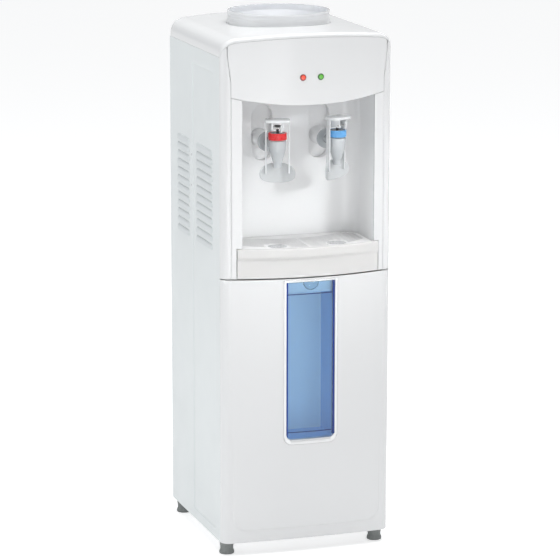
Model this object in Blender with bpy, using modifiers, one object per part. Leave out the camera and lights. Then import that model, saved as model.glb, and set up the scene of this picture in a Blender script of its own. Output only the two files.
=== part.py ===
"""Free-standing water cooler for an inverted bottle, with a hot tap and a cold tap.

Metres, +Z up. The front faces -Y, and the origin is on the floor at the middle of the
cabinet. Each sub-part is one object, named for what a person would call it.
"""
import math

import bmesh
import bpy
from mathutils import Matrix, Vector

# Clearances and sheet thicknesses
GAP = 0.0003
SHEET = 0.0010
SHELL = 0.0025
OVERRUN = 0.0200
MERGE = 0.00001
FACET_CLEARANCE = 0.0003

# Cabinet envelope
CABINET_WIDTH = 0.3200
CABINET_DEPTH = 0.3300
CABINET_TOP = 0.9470
FOOT_HEIGHT = 0.0250
HALF_WIDTH = CABINET_WIDTH / 2
FRONT_PLANE = -CABINET_DEPTH / 2
BACK_PLANE = CABINET_DEPTH / 2

# Front plastics: a bowed face between two creases, and a corner that turns onto the side
CORNER_WIDTH = 0.0170
CREASE_HALF = HALF_WIDTH - CORNER_WIDTH
CORNER_DEPTH = 0.0170
FACE_BOW = 0.0220
FOOT_BOW = 0.0040
BOW_EASE_HEIGHT = 0.2050
BOW_EASE_SHARE = 0.6
SEAM_HEIGHT = 0.5160
SEAM_GAP = 0.0008
CORNER_STEPS = 4
FACE_STEPS = 10
WRAP_EDGE = FRONT_PLANE + CORNER_DEPTH

# Side panels
FLANGE = 0.0120
FIELD_DEPTH = 0.0015
FIELD_FRONT_INSET = 0.0430
FIELD_BACK_INSET = 0.1440
FIELD_TOP_INSET = 0.0620
FIELD_FRONT = FRONT_PLANE + FIELD_FRONT_INSET
FIELD_BACK = BACK_PLANE - FIELD_BACK_INSET
FIELD_TOP = CABINET_TOP - FIELD_TOP_INSET
FIELD_BOTTOM = 0.0420
FIELD_SLOPE = 0.0030
FIELD_EASE = 0.0240
LOUVRE_COUNT = 12
LOUVRE_PITCH = 0.0155
LOUVRE_HEIGHT = 0.0040
LOUVRE_LOWEST = 0.5600
LOUVRE_SPANS = ((-0.1010, 0.0000), (0.0380, 0.1160))

# Top cover
COVER_EDGE_RADIUS = 0.0060
COVER_SIDE_RADIUS = 0.0260
COVER_SKIRT = 0.0015
COVER_CROWN = 0.0080
COVER_BACK_CORNER = 0.0060
EDGE_ROUND_SHARE = 0.3
SIDE_ROUND_SHARE = 0.55

# Bottle collar, funnel and spike
COLLAR_RADIUS = 0.0940
COLLAR_RISE = 0.0280
COLLAR_TOP = CABINET_TOP + COLLAR_RISE
COLLAR_WALL = 0.0025
COLLAR_SETBACK = 0.1700
COLLAR_CENTRE_Y = FRONT_PLANE + COLLAR_SETBACK
COLLAR_SEAT = 0.0080
BOWL_RIM_DROP = 0.0130
BOWL_RIM_HEIGHT = COLLAR_TOP - BOWL_RIM_DROP
BOWL_RADIUS = 0.0475
BOWL_DEPTH = 0.0340
BOWL_HEIGHT = BOWL_RIM_HEIGHT - BOWL_DEPTH
NECK_RADIUS = 0.0325
THROAT_DEPTH = 0.0235
NECK_HEIGHT = BOWL_HEIGHT - THROAT_DEPTH
NECK_LENGTH = 0.0145
SPIGOT_INSET = 0.0065
WELL_DEPTH = 0.0160
WELL_FLOOR = CABINET_TOP - WELL_DEPTH
WELL_REBATE = 0.0005
SPIKE_RADIUS = 0.0100
SPIKE_BORE = 0.0075
SPIKE_DROP = 0.0200
SPIKE_TOP = COLLAR_TOP - SPIKE_DROP
SPIKE_TAPER = 0.0100
SPIKE_BORE_TAPER = 0.0120
SPIKE_BORE_LIP = 0.0050
SPIKE_WINDOW_TOP = 0.0150
SPIKE_WINDOW_BOTTOM = 0.0300

# Alcove
ALCOVE_SIDE = 0.0357
ALCOVE_DROP = 0.0850
ALCOVE_DEPTH = 0.0990
ALCOVE_HALF = HALF_WIDTH - ALCOVE_SIDE
ALCOVE_TOP = CABINET_TOP - ALCOVE_DROP
ALCOVE_WALL_Y = FRONT_PLANE + ALCOVE_DEPTH
ALCOVE_CORNER = 0.0280
LINER_WALL = 0.0020
LINER_OVERLAP_SHARE = 0.6
FRAME_WALL = 0.0058
NICHE_SPACING = 0.1080
NICHE_HALF = 0.0195
NICHE_BELOW = 0.0410
NICHE_ABOVE = 0.0610
NICHE_DEPTH = 0.0120
BOSS_RADIUS = 0.0165
BOSS_LENGTH = 0.0347
BOSS_FRONT_Y = ALCOVE_WALL_Y - BOSS_LENGTH

# Fascia and lamps
FASCIA_WALL = 0.0025
FASCIA_GAP = 0.0006
FASCIA_TOP_INSET = 0.0115
FASCIA_FLARE_DROP = 0.0770
FASCIA_DROP = 0.1195
FASCIA_TOP_HALF = HALF_WIDTH - FASCIA_TOP_INSET
FASCIA_FLARE_HEIGHT = CABINET_TOP - FASCIA_FLARE_DROP
FASCIA_MIDDLE = CABINET_TOP - FASCIA_DROP
FASCIA_RISE = 0.0155
LAMP_SPACING = 0.0330
LAMP_DROP = 0.0700
LAMP_HEIGHT = CABINET_TOP - LAMP_DROP
LAMP_RADIUS = 0.0055
LAMP_DOME = 0.0022
LAMP_FLANGE = 0.0015
DOME_STEPS = 4
BOARD_WIDTH = 0.0660
BOARD_HEIGHT = 0.0240
BOARD_THICKNESS = 0.0016

# Drip tray and grille
TRAY_SIDE = 0.0260
TRAY_RISE = 0.0555
TRAY_NOTCH_GAP = 0.0007
TRAY_HALF = HALF_WIDTH - TRAY_SIDE
TRAY_TOP = SEAM_HEIGHT + TRAY_RISE
TRAY_NOTCH_TOP = TRAY_TOP + TRAY_NOTCH_GAP
TRAY_LIP_HEIGHT = 0.0150
TRAY_CREASE_HEIGHT = 0.0220
TRAY_LIP_BOW = 0.0265
TRAY_LIP_PROUD = 0.0020
TRAY_THROAT_BOW = 0.0225
TRAY_WALL = 0.0020
TRAY_SIDE_CLEARANCE = 0.0008
TRAY_RIM = 0.0080
GRILLE_THICKNESS = 0.0030
GRILLE_LEDGE = 0.0020
SLOT_WIDTH = 0.0038
SLOT_PITCH = 0.0092
SLOT_COUNT = 9
SLOT_RADIUS = 0.1750
SLOT_RIB = 0.0050
DIP_RADIUS = 0.0175
DIP_DEPTH = 0.0018
DIP_DRAIN_RADIUS = 0.0030

# Taps, with their heights from the shank's axis
TAP_SPACING = 0.1120
TAP_SETBACK = 0.0030
TAP_Y = FRONT_PLANE + TAP_SETBACK
HOT_TAP_TURN = -17.0
COLD_TAP_TURN = 31.0
SHANK_DROP = 0.1100
SHANK_HEIGHT = ALCOVE_TOP - SHANK_DROP
SHANK_RADIUS = 0.0080
SHANK_BORE = 0.0045
TAP_FLANGE_RADIUS = 0.0180
TAP_FLANGE_THICKNESS = 0.0050
BODY_RADIUS = 0.0155
BODY_WAIST_RADIUS = 0.0145
BODY_SHOULDER = 0.0120
BODY_CONE_TOP = -0.0070
BODY_CONE_RADIUS = 0.0085
BODY_CONE_BOTTOM = -0.0270
NOZZLE_RADIUS = 0.0075
NOZZLE_TIP = -0.0380
CHAMBER_RADIUS = 0.0105
CHAMBER_FLOOR = -0.0020
NECK_WALL = 0.0025
RING_RADIUS = 0.0165
RING_HEIGHT = 0.0130
POST_THICKNESS = 0.0028
POST_SPACING = 0.0130
POST_DEPTH = 0.0060
POST_TOP = 0.0400
BONNET_THICKNESS = 0.0030
PIVOT_OFFSET = 0.0110
PIVOT_HEIGHT = 0.0342
PIN_RADIUS = 0.0012
PIN_CLEARANCE = 0.0003
PLATE_BOTTOM = 0.0440
PLATE_THICKNESS = 0.0050
PLATE_WIDTH = 0.0440
PLATE_FRONT = 0.0165
PLATE_BACK = 0.0140
ARM_THICKNESS = 0.0028
ARM_DEPTH = 0.0080
PADDLE_WIDTH = 0.0640
PADDLE_TOP = -0.0310
PADDLE_BOTTOM = -0.0670
PADDLE_BACK = 0.0130
PADDLE_DISH = 0.0130
PADDLE_WALL = 0.0024
PADDLE_SPAN = 78.0
PADDLE_OVAL = 2.4
LUG_THICKNESS = 0.0028
LUG_DROP = 0.0036
FORK_THICKNESS = 0.0018
FORK_HOLE = 0.0040
FORK_CUT = 0.0050
STEM_RADIUS = 0.0024
STEM_HEAD_RADIUS = 0.0056
STEM_HEAD_THICKNESS = 0.0020
STOPPER_RADIUS = 0.0085
STOPPER_THICKNESS = 0.0060
NUT_RADIUS = 0.0135
NUT_THICKNESS = 0.0060
NUT_SIDES = 6
SHANK_TAIL = 0.0120

# Cup compartment behind the lower front panel
WINDOW_HALF = 0.0505
WINDOW_BOTTOM = 0.2085
WINDOW_TOP_INSET = 0.0045
WINDOW_TOP = SEAM_HEIGHT - WINDOW_TOP_INSET
WINDOW_CORNER = 0.0150
BEZEL_SIDE = 0.0045
BEZEL_TOP = 0.0030
BEZEL_BOTTOM = 0.0087
BEZEL_PROUD = 0.0006
BEZEL_DEPTH = 0.0130
BEZEL_BACK_Y = FRONT_PLANE - FACE_BOW + BEZEL_DEPTH
DOOR_CLEARANCE = 0.0006
DOOR_FOOT_CLEARANCE = 0.0012
DOOR_RECESS = 0.0010
DOOR_WALL = 0.0022
DOOR_PIVOT_RISE = 0.0074
DOOR_PIVOT_INSET = 0.0040
DOOR_PIN_RADIUS = 0.0012
DOOR_PIN_INSET = 0.0015
NOTCH_RADIUS = 0.0140
CUP_WALL = 0.0015
CUP_DEPTH = 0.0740
CUP_CEILING_DROP = 0.0255

# Structure inside
LOUVRE_CUT = 0.0050
BASE_THICKNESS = 0.0015
BASE_RIM = 0.0150
SHELF_DROP = 0.0022
TANK_SHELF_RECESS = 0.0440
SHELF_FLANGE = 0.0150

# Cold tank and its cooling
TANK_RADIUS = 0.0560
TANK_WALL = 0.0015
TANK_SETBACK = 0.0880
TANK_HEIGHT = 0.1695
TANK_CENTRE_Y = ALCOVE_WALL_Y + TANK_SETBACK
TANK_TOP = NECK_HEIGHT - NECK_LENGTH
TANK_SHELF_HEIGHT = TANK_TOP - TANK_HEIGHT
TANK_SHELF_FRONT = ALCOVE_WALL_Y + TANK_SHELF_RECESS
TANK_FLOOR_RISE = 0.0140
FOAM_RADIUS = 0.0660
LID_THICKNESS = 0.0020
STUB_RADIUS = 0.0050
STUB_BORE = 0.0030
STUB_REACH = 0.0120
COLD_STUB = (0.0300, -0.0050)
FEED_STUB = (-0.0250, 0.0300)
COLD_BLOCK_WIDTH = 0.0440
COLD_BLOCK_HEIGHT = 0.0480
COLD_BLOCK_SETBACK = 0.0695
COOLING_DROP = 0.1000
COLD_BLOCK_BACK = TANK_CENTRE_Y + COLD_BLOCK_SETBACK
COOLING_HEIGHT = TANK_TOP - COOLING_DROP
MODULE_SIZE = 0.0400
MODULE_THICKNESS = 0.0038
SINK_SIZE = 0.0840
SINK_BASE = 0.0060
SINK_DEPTH = 0.0280
SINK_FINS = 9
SINK_FIN_SHARE = 0.28
FAN_DEPTH = 0.0150
FAN_WALL = 0.0030
FAN_TIP_CLEARANCE = 0.0020
FAN_HUB_RADIUS = 0.0150
FAN_BLADES = 7
FAN_BLADE_PITCH = 28.0
FAN_BLADE_THICKNESS = 0.0014
FAN_STRUT = 0.0050
FAN_STRUT_DEPTH = 0.0030
FAN_BLADE_SHARE = 0.9

# Hot tank
HOT_RADIUS = 0.0430
HOT_X = -0.0850
HOT_Y = 0.0350
HOT_RISE = 0.0360
HOT_DROP = 0.0325
HOT_BOTTOM = SEAM_HEIGHT + HOT_RISE
HOT_TOP = TANK_SHELF_HEIGHT - HOT_DROP
HOT_DOME = 0.0060
HOT_FOOT_WALL = 0.0020
HOT_FOOT_INSET = 0.0060
OUTLET_DROP = 0.0180
FEED_RISE = 0.0230
HOT_OUTLET_HEIGHT = HOT_TOP - OUTLET_DROP
FEED_HEIGHT = HOT_BOTTOM + FEED_RISE
BAND_THICKNESS = 0.0025
BAND_HEIGHT = 0.0300
BAND_RISE = 0.0380
THERMOSTAT_RADIUS = 0.0080
THERMOSTAT_HEIGHT = 0.0070
THERMOSTAT_DROP = 0.0180
THERMOSTAT_ANGLE = -50.0
DRAIN_RADIUS = 0.0060
DRAIN_BORE = 0.0040
DRAIN_RISE = 0.0130
DRAIN_HEIGHT = HOT_BOTTOM + DRAIN_RISE
DRAIN_REACH = 0.0240
DRAIN_CAP_RADIUS = 0.0110
DRAIN_CAP_LENGTH = 0.0180
DRAIN_CAP_GRIPS = 8
GRIP_RADIUS = 0.0012
GRIP_OFFSET = 0.0006

# Hoses: radius, and the points each runs through
HOSE_RADIUS = 0.0044
HOSE_LEAD = 0.0048
HOT_HOSE_ROUTE = ((-0.0565, -0.0265, 0.7380), (-0.0640, -0.0300, 0.7150), (-0.0760, -0.0400, 0.6900),
                  (-0.0830, -0.0420, 0.6760))
COLD_HOSE_ROUTE = ((0.0550, -0.0262, 0.7380), (0.0540, -0.0290, 0.7150), (0.0500, -0.0300, 0.6950),
                   (0.0400, -0.0180, 0.6820))
FEED_HOSE_ROUTE = ((-0.0240, 0.0310, 0.6880), (-0.0200, 0.0330, 0.6500), (-0.0100, 0.0350, 0.6100),
                   (-0.0080, 0.0350, 0.5900))

# Electrics at the back
SUPPLY_SIZE = (0.0900, 0.0560, 0.0460)
SUPPLY_SIDE = 0.0700
SUPPLY_X = HALF_WIDTH - SUPPLY_SIDE
SUPPLY_BACK_GAP = 0.0220
SWITCH_X = 0.0950
SWITCH_HEIGHT = 0.6900
SWITCH_PITCH = 0.0260
SWITCH_SIZE = (0.0130, 0.0200)
SWITCH_FRAME = 0.0040
SWITCH_FRAME_THICKNESS = 0.0020
SWITCH_BODY_DEPTH = 0.0120
SWITCH_CLEARANCE = 0.0006
ROCKER_TILT = 8.0
ROCKER_BACK_RADIUS = 0.0065
ROCKER_FACE_SHARE = 0.9
INLET_X = 0.0950
INLET_HEIGHT = 0.6200
INLET_SIZE = (0.0270, 0.0200)
INLET_FLANGE = 0.0060
INLET_FLANGE_THICKNESS = 0.0025
INLET_DEPTH = 0.0180
INLET_WALL = 0.0020
BLADE_SIZE = (0.0020, 0.0040)
BLADE_SPREAD = 0.0070
VENT_SLOTS = 8
VENT_PITCH = 0.0100
VENT_SLOT = 0.0045
VENT_WIDTH = 0.0840

# Feet
FOOT_RADIUS = 0.0135
FOOT_WAIST_RADIUS = 0.0120
FOOT_SIDE = 0.0170
FOOT_FRONT_INSET = 0.0330
FOOT_BACK_INSET = 0.0190
FOOT_X = HALF_WIDTH - FOOT_SIDE
FOOT_FRONT_Y = FRONT_PLANE + FOOT_FRONT_INSET
FOOT_BACK_Y = BACK_PLANE - FOOT_BACK_INSET
FOOT_PAD_HEIGHT = 0.0050
FOOT_BOSS_RADIUS = 0.0045
FOOT_BOSS_HEIGHT = 0.0080

# Facets of round pieces
FINE = 36
ROUND = 20
COARSE = 16
SMALL = 10

# Heights and faces that follow from the sizes above
FACE_FLOOR = FOOT_HEIGHT + GAP
SEAM_LOWER = SEAM_HEIGHT - SEAM_GAP / 2
SEAM_UPPER = SEAM_HEIGHT + SEAM_GAP / 2
SIDE_FRONT_Y = WRAP_EDGE + GAP
REAR_INNER_Y = BACK_PLANE - SHEET
SIDE_BACK_Y = REAR_INNER_Y - GAP
INNER_HALF = HALF_WIDTH - SHEET - FIELD_DEPTH - GAP
SHELF_TOP = SEAM_HEIGHT + SHELF_DROP + SHEET
NICHE_BOTTOM = SHANK_HEIGHT - NICHE_BELOW
NICHE_TOP = SHANK_HEIGHT + NICHE_ABOVE
SIDE_TOP = CABINET_TOP - COVER_SIDE_RADIUS - COVER_EDGE_RADIUS - COVER_SKIRT
LINER_FLOOR = SHELF_TOP + GAP + LINER_WALL
TRAY_FLOOR = LINER_FLOOR + GAP
COOLING_Y = COLD_BLOCK_BACK + GAP

# Finishes: base colour, roughness, metallic
WHITE_ABS = ((0.83, 0.84, 0.85), 0.30, 0.0)
LINER_WHITE = ((0.80, 0.81, 0.82), 0.40, 0.0)
TRAY_WHITE = ((0.80, 0.80, 0.79), 0.35, 0.0)
COATED_STEEL = ((0.70, 0.74, 0.76), 0.45, 0.0)
BARE_STEEL = ((0.55, 0.56, 0.57), 0.35, 1.0)
STAINLESS = ((0.62, 0.62, 0.61), 0.25, 1.0)
ALUMINIUM = ((0.70, 0.71, 0.72), 0.40, 1.0)
BLUE_ACRYLIC = ((0.25, 0.42, 0.70), 0.10, 0.0)
MILKY_PLASTIC = ((0.86, 0.88, 0.90), 0.20, 0.0)
SMOKED_PLASTIC = ((0.55, 0.58, 0.58), 0.20, 0.0)
RED_PLASTIC = ((0.72, 0.03, 0.03), 0.30, 0.0)
BLUE_PLASTIC = ((0.07, 0.27, 0.68), 0.30, 0.0)
RED_LENS = ((0.80, 0.07, 0.03), 0.15, 0.0)
GREEN_LENS = ((0.10, 0.45, 0.03), 0.15, 0.0)
BLACK_PLASTIC = ((0.02, 0.02, 0.02), 0.45, 0.0)
GREY_RUBBER = ((0.10, 0.11, 0.11), 0.70, 0.0)
FOAM_WHITE = ((0.82, 0.82, 0.80), 0.80, 0.0)
SILICONE = ((0.80, 0.80, 0.78), 0.45, 0.0)
MICA = ((0.45, 0.40, 0.33), 0.50, 0.0)
CERAMIC = ((0.85, 0.84, 0.80), 0.60, 0.0)
BOARD_GREEN = ((0.03, 0.20, 0.08), 0.50, 0.0)


# Scene, collections and materials

def clear_scene():
    for old in list(bpy.data.objects):
        bpy.data.objects.remove(old, do_unlink=True)


def make_collection(name):
    found = bpy.data.collections.get(name) or bpy.data.collections.new(name)
    if name not in bpy.context.scene.collection.children:
        bpy.context.scene.collection.children.link(found)
    return found


clear_scene()
PARTS = make_collection("water_cooler")
CUTTERS = make_collection("cutters")


def dress(obj, finish):
    colour, roughness, metallic = finish
    material = bpy.data.materials.new(obj.name)
    material.use_nodes = True
    shader = material.node_tree.nodes["Principled BSDF"]
    shader.inputs["Base Color"].default_value = (*colour, 1.0)
    shader.inputs["Roughness"].default_value = roughness
    shader.inputs["Metallic"].default_value = metallic
    material.diffuse_color = (*colour, 1.0)
    obj.data.materials.clear()
    obj.data.materials.append(material)
    return obj


def smooth(mesh):
    mesh.shade_smooth()
    mesh.set_sharp_from_angle(angle=math.radians(35))


def add_object(name, mesh, location=(0, 0, 0)):
    obj = bpy.data.objects.new(name, mesh)
    obj.location = location
    PARTS.objects.link(obj)
    return obj


def finish_bmesh(name, bm, location=(0, 0, 0)):
    bmesh.ops.remove_doubles(bm, verts=bm.verts, dist=MERGE)
    bmesh.ops.recalc_face_normals(bm, faces=bm.faces)
    mesh = bpy.data.meshes.new(name)
    bm.to_mesh(mesh)
    bm.free()
    smooth(mesh)
    return add_object(name, mesh, location)


def evaluated_mesh(obj):
    bpy.context.view_layer.update()
    graph = bpy.context.evaluated_depsgraph_get()
    return bpy.data.meshes.new_from_object(obj.evaluated_get(graph))


def as_tool(obj):
    for home in list(obj.users_collection):
        home.objects.unlink(obj)
    CUTTERS.objects.link(obj)
    obj.hide_render = True
    obj.display_type = "WIRE"
    return obj


def combine(target, operation, tools):
    for tool in tools:
        step = target.modifiers.new(operation.title(), "BOOLEAN")
        step.operation = operation
        step.solver = "EXACT"
        step.object = as_tool(tool)
    return target


def cut(target, *tools):
    return combine(target, "DIFFERENCE", tools)


def unite(target, *tools):
    return combine(target, "UNION", tools)


# Shapes

def box(name, low, high):
    low, high = Vector(low), Vector(high)
    bm = bmesh.new()
    bmesh.ops.create_cube(bm, size=1)
    bmesh.ops.scale(bm, vec=high - low, verts=bm.verts)
    return finish_bmesh(name, bm, (low + high) / 2)


def boxes(name, corners):
    bm = bmesh.new()
    for low, high in corners:
        low, high = Vector(low), Vector(high)
        made = bmesh.ops.create_cube(bm, size=1)["verts"]
        bmesh.ops.scale(bm, vec=high - low, verts=made)
        bmesh.ops.translate(bm, vec=(low + high) / 2, verts=made)
    return finish_bmesh(name, bm)


def rods(name, spans, radius, segments=SMALL):
    """Straight round rods, each from one point to another, as one object."""
    bm = bmesh.new()
    for start, end in spans:
        start, end = Vector(start), Vector(end)
        made = bmesh.ops.create_cone(bm, cap_ends=True, segments=segments, radius1=radius,
                                     radius2=radius, depth=(end - start).length)["verts"]
        turn = (end - start).to_track_quat("Z", "Y").to_matrix().to_4x4()
        bmesh.ops.transform(bm, matrix=Matrix.Translation((start + end) / 2) @ turn, verts=made)
    return finish_bmesh(name, bm)


def rod(name, start, end, radius, segments=COARSE):
    return rods(name, [(start, end)], radius, segments)


def turned(name, profile, location, segments=ROUND):
    """A profile of (radius, height) points, closed and turned about its own Z axis."""
    mesh = bpy.data.meshes.new(name)
    count = len(profile)
    open_ended = profile[0][0] == 0 and profile[-1][0] == 0
    edges = [(i, (i + 1) % count) for i in range(count - 1 if open_ended else count)]
    mesh.from_pydata([(radius, 0, height) for radius, height in profile], edges, [])
    obj = add_object(name, mesh, location)
    screw = obj.modifiers.new("Turn", "SCREW")
    screw.steps = segments
    screw.render_steps = segments
    screw.use_merge_vertices = True
    screw.merge_threshold = MERGE
    screw.use_smooth_shade = True
    solid = evaluated_mesh(obj)
    obj.modifiers.clear()
    obj.data = solid
    bpy.data.meshes.remove(mesh)
    smooth(solid)
    return obj


def prism(name, loops, low, high, along="Z"):
    """Flat outlines, the first outside and the rest holes, pulled along Z, or along Y from XZ."""
    curve = bpy.data.curves.new(name, "CURVE")
    curve.dimensions = "2D"
    curve.fill_mode = "BOTH"
    curve.extrude = (high - low) / 2
    for loop in loops:
        spline = curve.splines.new("POLY")
        spline.points.add(len(loop) - 1)
        for point, (across, up) in zip(spline.points, loop):
            point.co = (across, up, 0, 1)
        spline.use_cyclic_u = True
    shape = bpy.data.objects.new(name, curve)
    PARTS.objects.link(shape)
    if along == "Z":
        shape.location = (0, 0, (low + high) / 2)
    else:
        shape.location = (0, (low + high) / 2, 0)
        shape.rotation_euler = (math.radians(90), 0, 0)
    mesh = evaluated_mesh(shape)
    placed = shape.matrix_world.copy()
    bpy.data.objects.remove(shape)
    bm = bmesh.new()
    bm.from_mesh(mesh)
    bmesh.ops.remove_doubles(bm, verts=bm.verts, dist=MERGE)
    bmesh.ops.recalc_face_normals(bm, faces=bm.faces)
    bm.to_mesh(mesh)
    bm.free()
    smooth(mesh)
    obj = add_object(name, mesh)
    obj.matrix_world = placed
    return obj


def slab(name, columns, rows, outer, inner, closed=False):
    """A wall between two skins, each a grid of points given by its function of (column, row).

    A closed wall's last column lies on its first, so the walls between the two are left out.
    """
    bm = bmesh.new()
    bmesh.ops.create_grid(bm, x_segments=columns, y_segments=rows, size=1)
    made = bmesh.ops.extrude_face_region(bm, geom=bm.faces[:])["geom"]
    lifted = {item for item in made if isinstance(item, bmesh.types.BMVert)}
    places = []
    for vert in bm.verts:
        column = round((vert.co.x + 1) / 2 * columns)
        row = round((vert.co.y + 1) / 2 * rows)
        places.append((vert, column, (outer if vert in lifted else inner)(column, row)))
    if closed:
        column_of = {vert: column for vert, column, _ in places}
        seam = [face for face in bm.faces
                if {column_of[vert] for vert in face.verts} in ({0}, {columns})]
        bmesh.ops.delete(bm, geom=seam, context="FACES_ONLY")
    for vert, _, place in places:
        vert.co = place
    return finish_bmesh(name, bm)


def arc(centre, radius, start, end, steps):
    """Points on a circle, by angles in degrees."""
    points = []
    for step in range(steps + 1):
        angle = math.radians(start + (end - start) * step / steps)
        points.append((centre[0] + radius * math.cos(angle), centre[1] + radius * math.sin(angle)))
    return points


def blend(low, high, share):
    return low + (high - low) * share


def spaced(low, high, count):
    return [blend(low, high, i / (count - 1)) for i in range(count)]


def smooth_route(points, per_span=5):
    """A Catmull-Rom curve through a hose's route."""
    route = [Vector(point) for point in points]
    ends = [2 * route[0] - route[1]] + route + [2 * route[-1] - route[-2]]
    curve = []
    for i in range(1, len(ends) - 2):
        before, start, end, after = ends[i - 1:i + 3]
        for step in range(per_span):
            t = step / per_span
            curve.append(0.5 * ((2 * start) + (end - before) * t
                                + (2 * before - 5 * start + 4 * end - after) * t * t
                                + (3 * start - before - 3 * end + after) * t * t * t))
    curve.append(route[-1])
    return curve


def hose(name, points, radius):
    curve = bpy.data.curves.new(name, "CURVE")
    curve.dimensions = "3D"
    curve.bevel_depth = radius
    curve.bevel_resolution = 2
    curve.use_fill_caps = True
    route = smooth_route(points)
    spline = curve.splines.new("POLY")
    spline.points.add(len(route) - 1)
    for point, place in zip(spline.points, route):
        point.co = (*place, 1)
    shape = bpy.data.objects.new(name, curve)
    PARTS.objects.link(shape)
    mesh = evaluated_mesh(shape)
    bpy.data.objects.remove(shape)
    bm = bmesh.new()
    bm.from_mesh(mesh)
    return finish_bmesh(name, bm)


# The front's outline in plan

def front_y(x, bow=FACE_BOW):
    """How far forward the face lies at x: bowed between the creases, then round the corner."""
    reach = abs(x)
    if reach <= CREASE_HALF:
        return FRONT_PLANE - bow * (1 - (reach / CREASE_HALF) ** 2)
    share = min(1, (reach - CREASE_HALF) / (HALF_WIDTH - CREASE_HALF))
    return FRONT_PLANE + CORNER_DEPTH * (1 - math.sqrt(1 - share * share))


def bow_at(height):
    """The lower panel's bow eases away towards the floor."""
    share = max(0, min(1, (height - FOOT_HEIGHT) / BOW_EASE_HEIGHT))
    return blend(FOOT_BOW, FACE_BOW, share ** BOW_EASE_SHARE)


def cover_height(x):
    """The top surface over x: crowned, and round at the cabinet's sides."""
    crown = COVER_CROWN * (1 - min(1, abs(x) / CREASE_HALF) ** 2)
    past = max(0, abs(x) - (HALF_WIDTH - COVER_SIDE_RADIUS))
    drop = COVER_SIDE_RADIUS - math.sqrt(max(0, COVER_SIDE_RADIUS ** 2 - past ** 2))
    return CABINET_TOP + crown - drop


def cover_lip(x):
    """The lower edge of the cover's rim, which the pieces below meet."""
    return cover_height(x) - COVER_EDGE_RADIUS - COVER_SKIRT


FRONT_COLUMNS = 2 * CORNER_STEPS + FACE_STEPS


def lip_line(drop=0):
    """The joint under the cover's front rim in x and z, or a little inside it."""
    points = []
    for i in range(FRONT_COLUMNS + 1):
        x = front_column(i)[0]
        points.append((x * (1 - drop / HALF_WIDTH), cover_lip(x) - drop))
    return points


def above_lip(name):
    """All that the cover takes up above the front pieces, less a gap."""
    line = lip_line(GAP)
    reach, roof = HALF_WIDTH + OVERRUN, CABINET_TOP + OVERRUN
    outline = [(-reach, line[0][1])] + line + [(reach, line[-1][1]), (reach, roof), (-reach, roof)]
    return prism(name, [outline], FRONT_PLANE - FACE_BOW - OVERRUN * 2, FRONT_PLANE + OVERRUN * 2, "Y")


def front_column(column):
    """x, the share of the corner turned, and the side, for a column of a front panel."""
    if column < CORNER_STEPS:
        angle = math.radians(90) * (CORNER_STEPS - column) / CORNER_STEPS
        return -CREASE_HALF - (HALF_WIDTH - CREASE_HALF) * math.sin(angle), angle, -1
    if column > CORNER_STEPS + FACE_STEPS:
        angle = math.radians(90) * (column - CORNER_STEPS - FACE_STEPS) / CORNER_STEPS
        return CREASE_HALF + (HALF_WIDTH - CREASE_HALF) * math.sin(angle), angle, 1
    share = (column - CORNER_STEPS) / FACE_STEPS
    return blend(-CREASE_HALF, CREASE_HALF, share), 0, 0


def front_skin(heights, wall, bow, offset=0):
    """Outer and inner skins of a panel that wraps the cabinet's front."""
    def outer(column, row):
        x, angle, side = front_column(column)
        height = heights(x)[row]
        return x, front_y(x, bow(height)) + offset, height

    def inner(column, row):
        x, angle, side = front_column(column)
        height = heights(x)[row]
        inset = SHELL * math.sin(angle)
        return x - side * inset, front_y(x, bow(height)) + offset + wall * math.cos(angle), height

    return outer, inner


def ahead_of_front(name, low, high, offset, bow=bow_at):
    """A block that fills all that is more than offset in front of the face."""
    def outer(column, row):
        x = blend(-CREASE_HALF, CREASE_HALF, column / FACE_STEPS)
        return x, FRONT_PLANE - FACE_BOW - OVERRUN * 2, spaced(low, high, 5)[row]

    def inner(column, row):
        x = blend(-CREASE_HALF, CREASE_HALF, column / FACE_STEPS)
        height = spaced(low, high, 5)[row]
        return x, front_y(x, bow(height)) + offset, height

    return slab(name, FACE_STEPS, 4, outer, inner)


# Cabinet

def side_panel(name, side):
    top = cover_lip(HALF_WIDTH) - GAP
    heights = (FACE_FLOOR, FIELD_BOTTOM, FIELD_BOTTOM + FIELD_SLOPE, FIELD_TOP - FIELD_SLOPE, FIELD_TOP, top)
    inner_x = HALF_WIDTH - FLANGE
    stations = ((inner_x, SIDE_FRONT_Y, 0), (HALF_WIDTH, SIDE_FRONT_Y, 0), (HALF_WIDTH, FIELD_FRONT, 0),
                (HALF_WIDTH, FIELD_FRONT + FIELD_SLOPE, 1), (HALF_WIDTH, FIELD_BACK - FIELD_SLOPE, 1),
                (HALF_WIDTH, FIELD_BACK, 0), (HALF_WIDTH, SIDE_BACK_Y, 0), (inner_x, SIDE_BACK_Y, 0))
    last = len(stations) - 1

    def sunk(column, row):
        return FIELD_DEPTH * stations[column][2] * (row in (2, 3))

    def outer(column, row):
        x, y, _ = stations[column]
        return side * (x - sunk(column, row)), y, heights[row]

    def inner(column, row):
        x, y, _ = stations[column]
        x -= sunk(column, row) + (SHEET if 0 < column < last else 0)
        y += SHEET if column < 2 else 0
        y -= SHEET if column > last - 2 else 0
        return side * x, y, heights[row]

    panel = slab(name, last, len(heights) - 1, outer, inner)
    slots = []
    for low_y, high_y in LOUVRE_SPANS:
        for i in range(LOUVRE_COUNT):
            height = LOUVRE_LOWEST + i * LOUVRE_PITCH
            slots.append(((side * HALF_WIDTH - LOUVRE_CUT, low_y, height),
                          (side * HALF_WIDTH + LOUVRE_CUT, high_y, height + LOUVRE_HEIGHT)))
    cut(panel, boxes(name + "_louvres", slots))
    return dress(panel, COATED_STEEL)


def rectangle(low, high):
    return [(low[0], low[1]), (high[0], low[1]), (high[0], high[1]), (low[0], high[1])]


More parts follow.
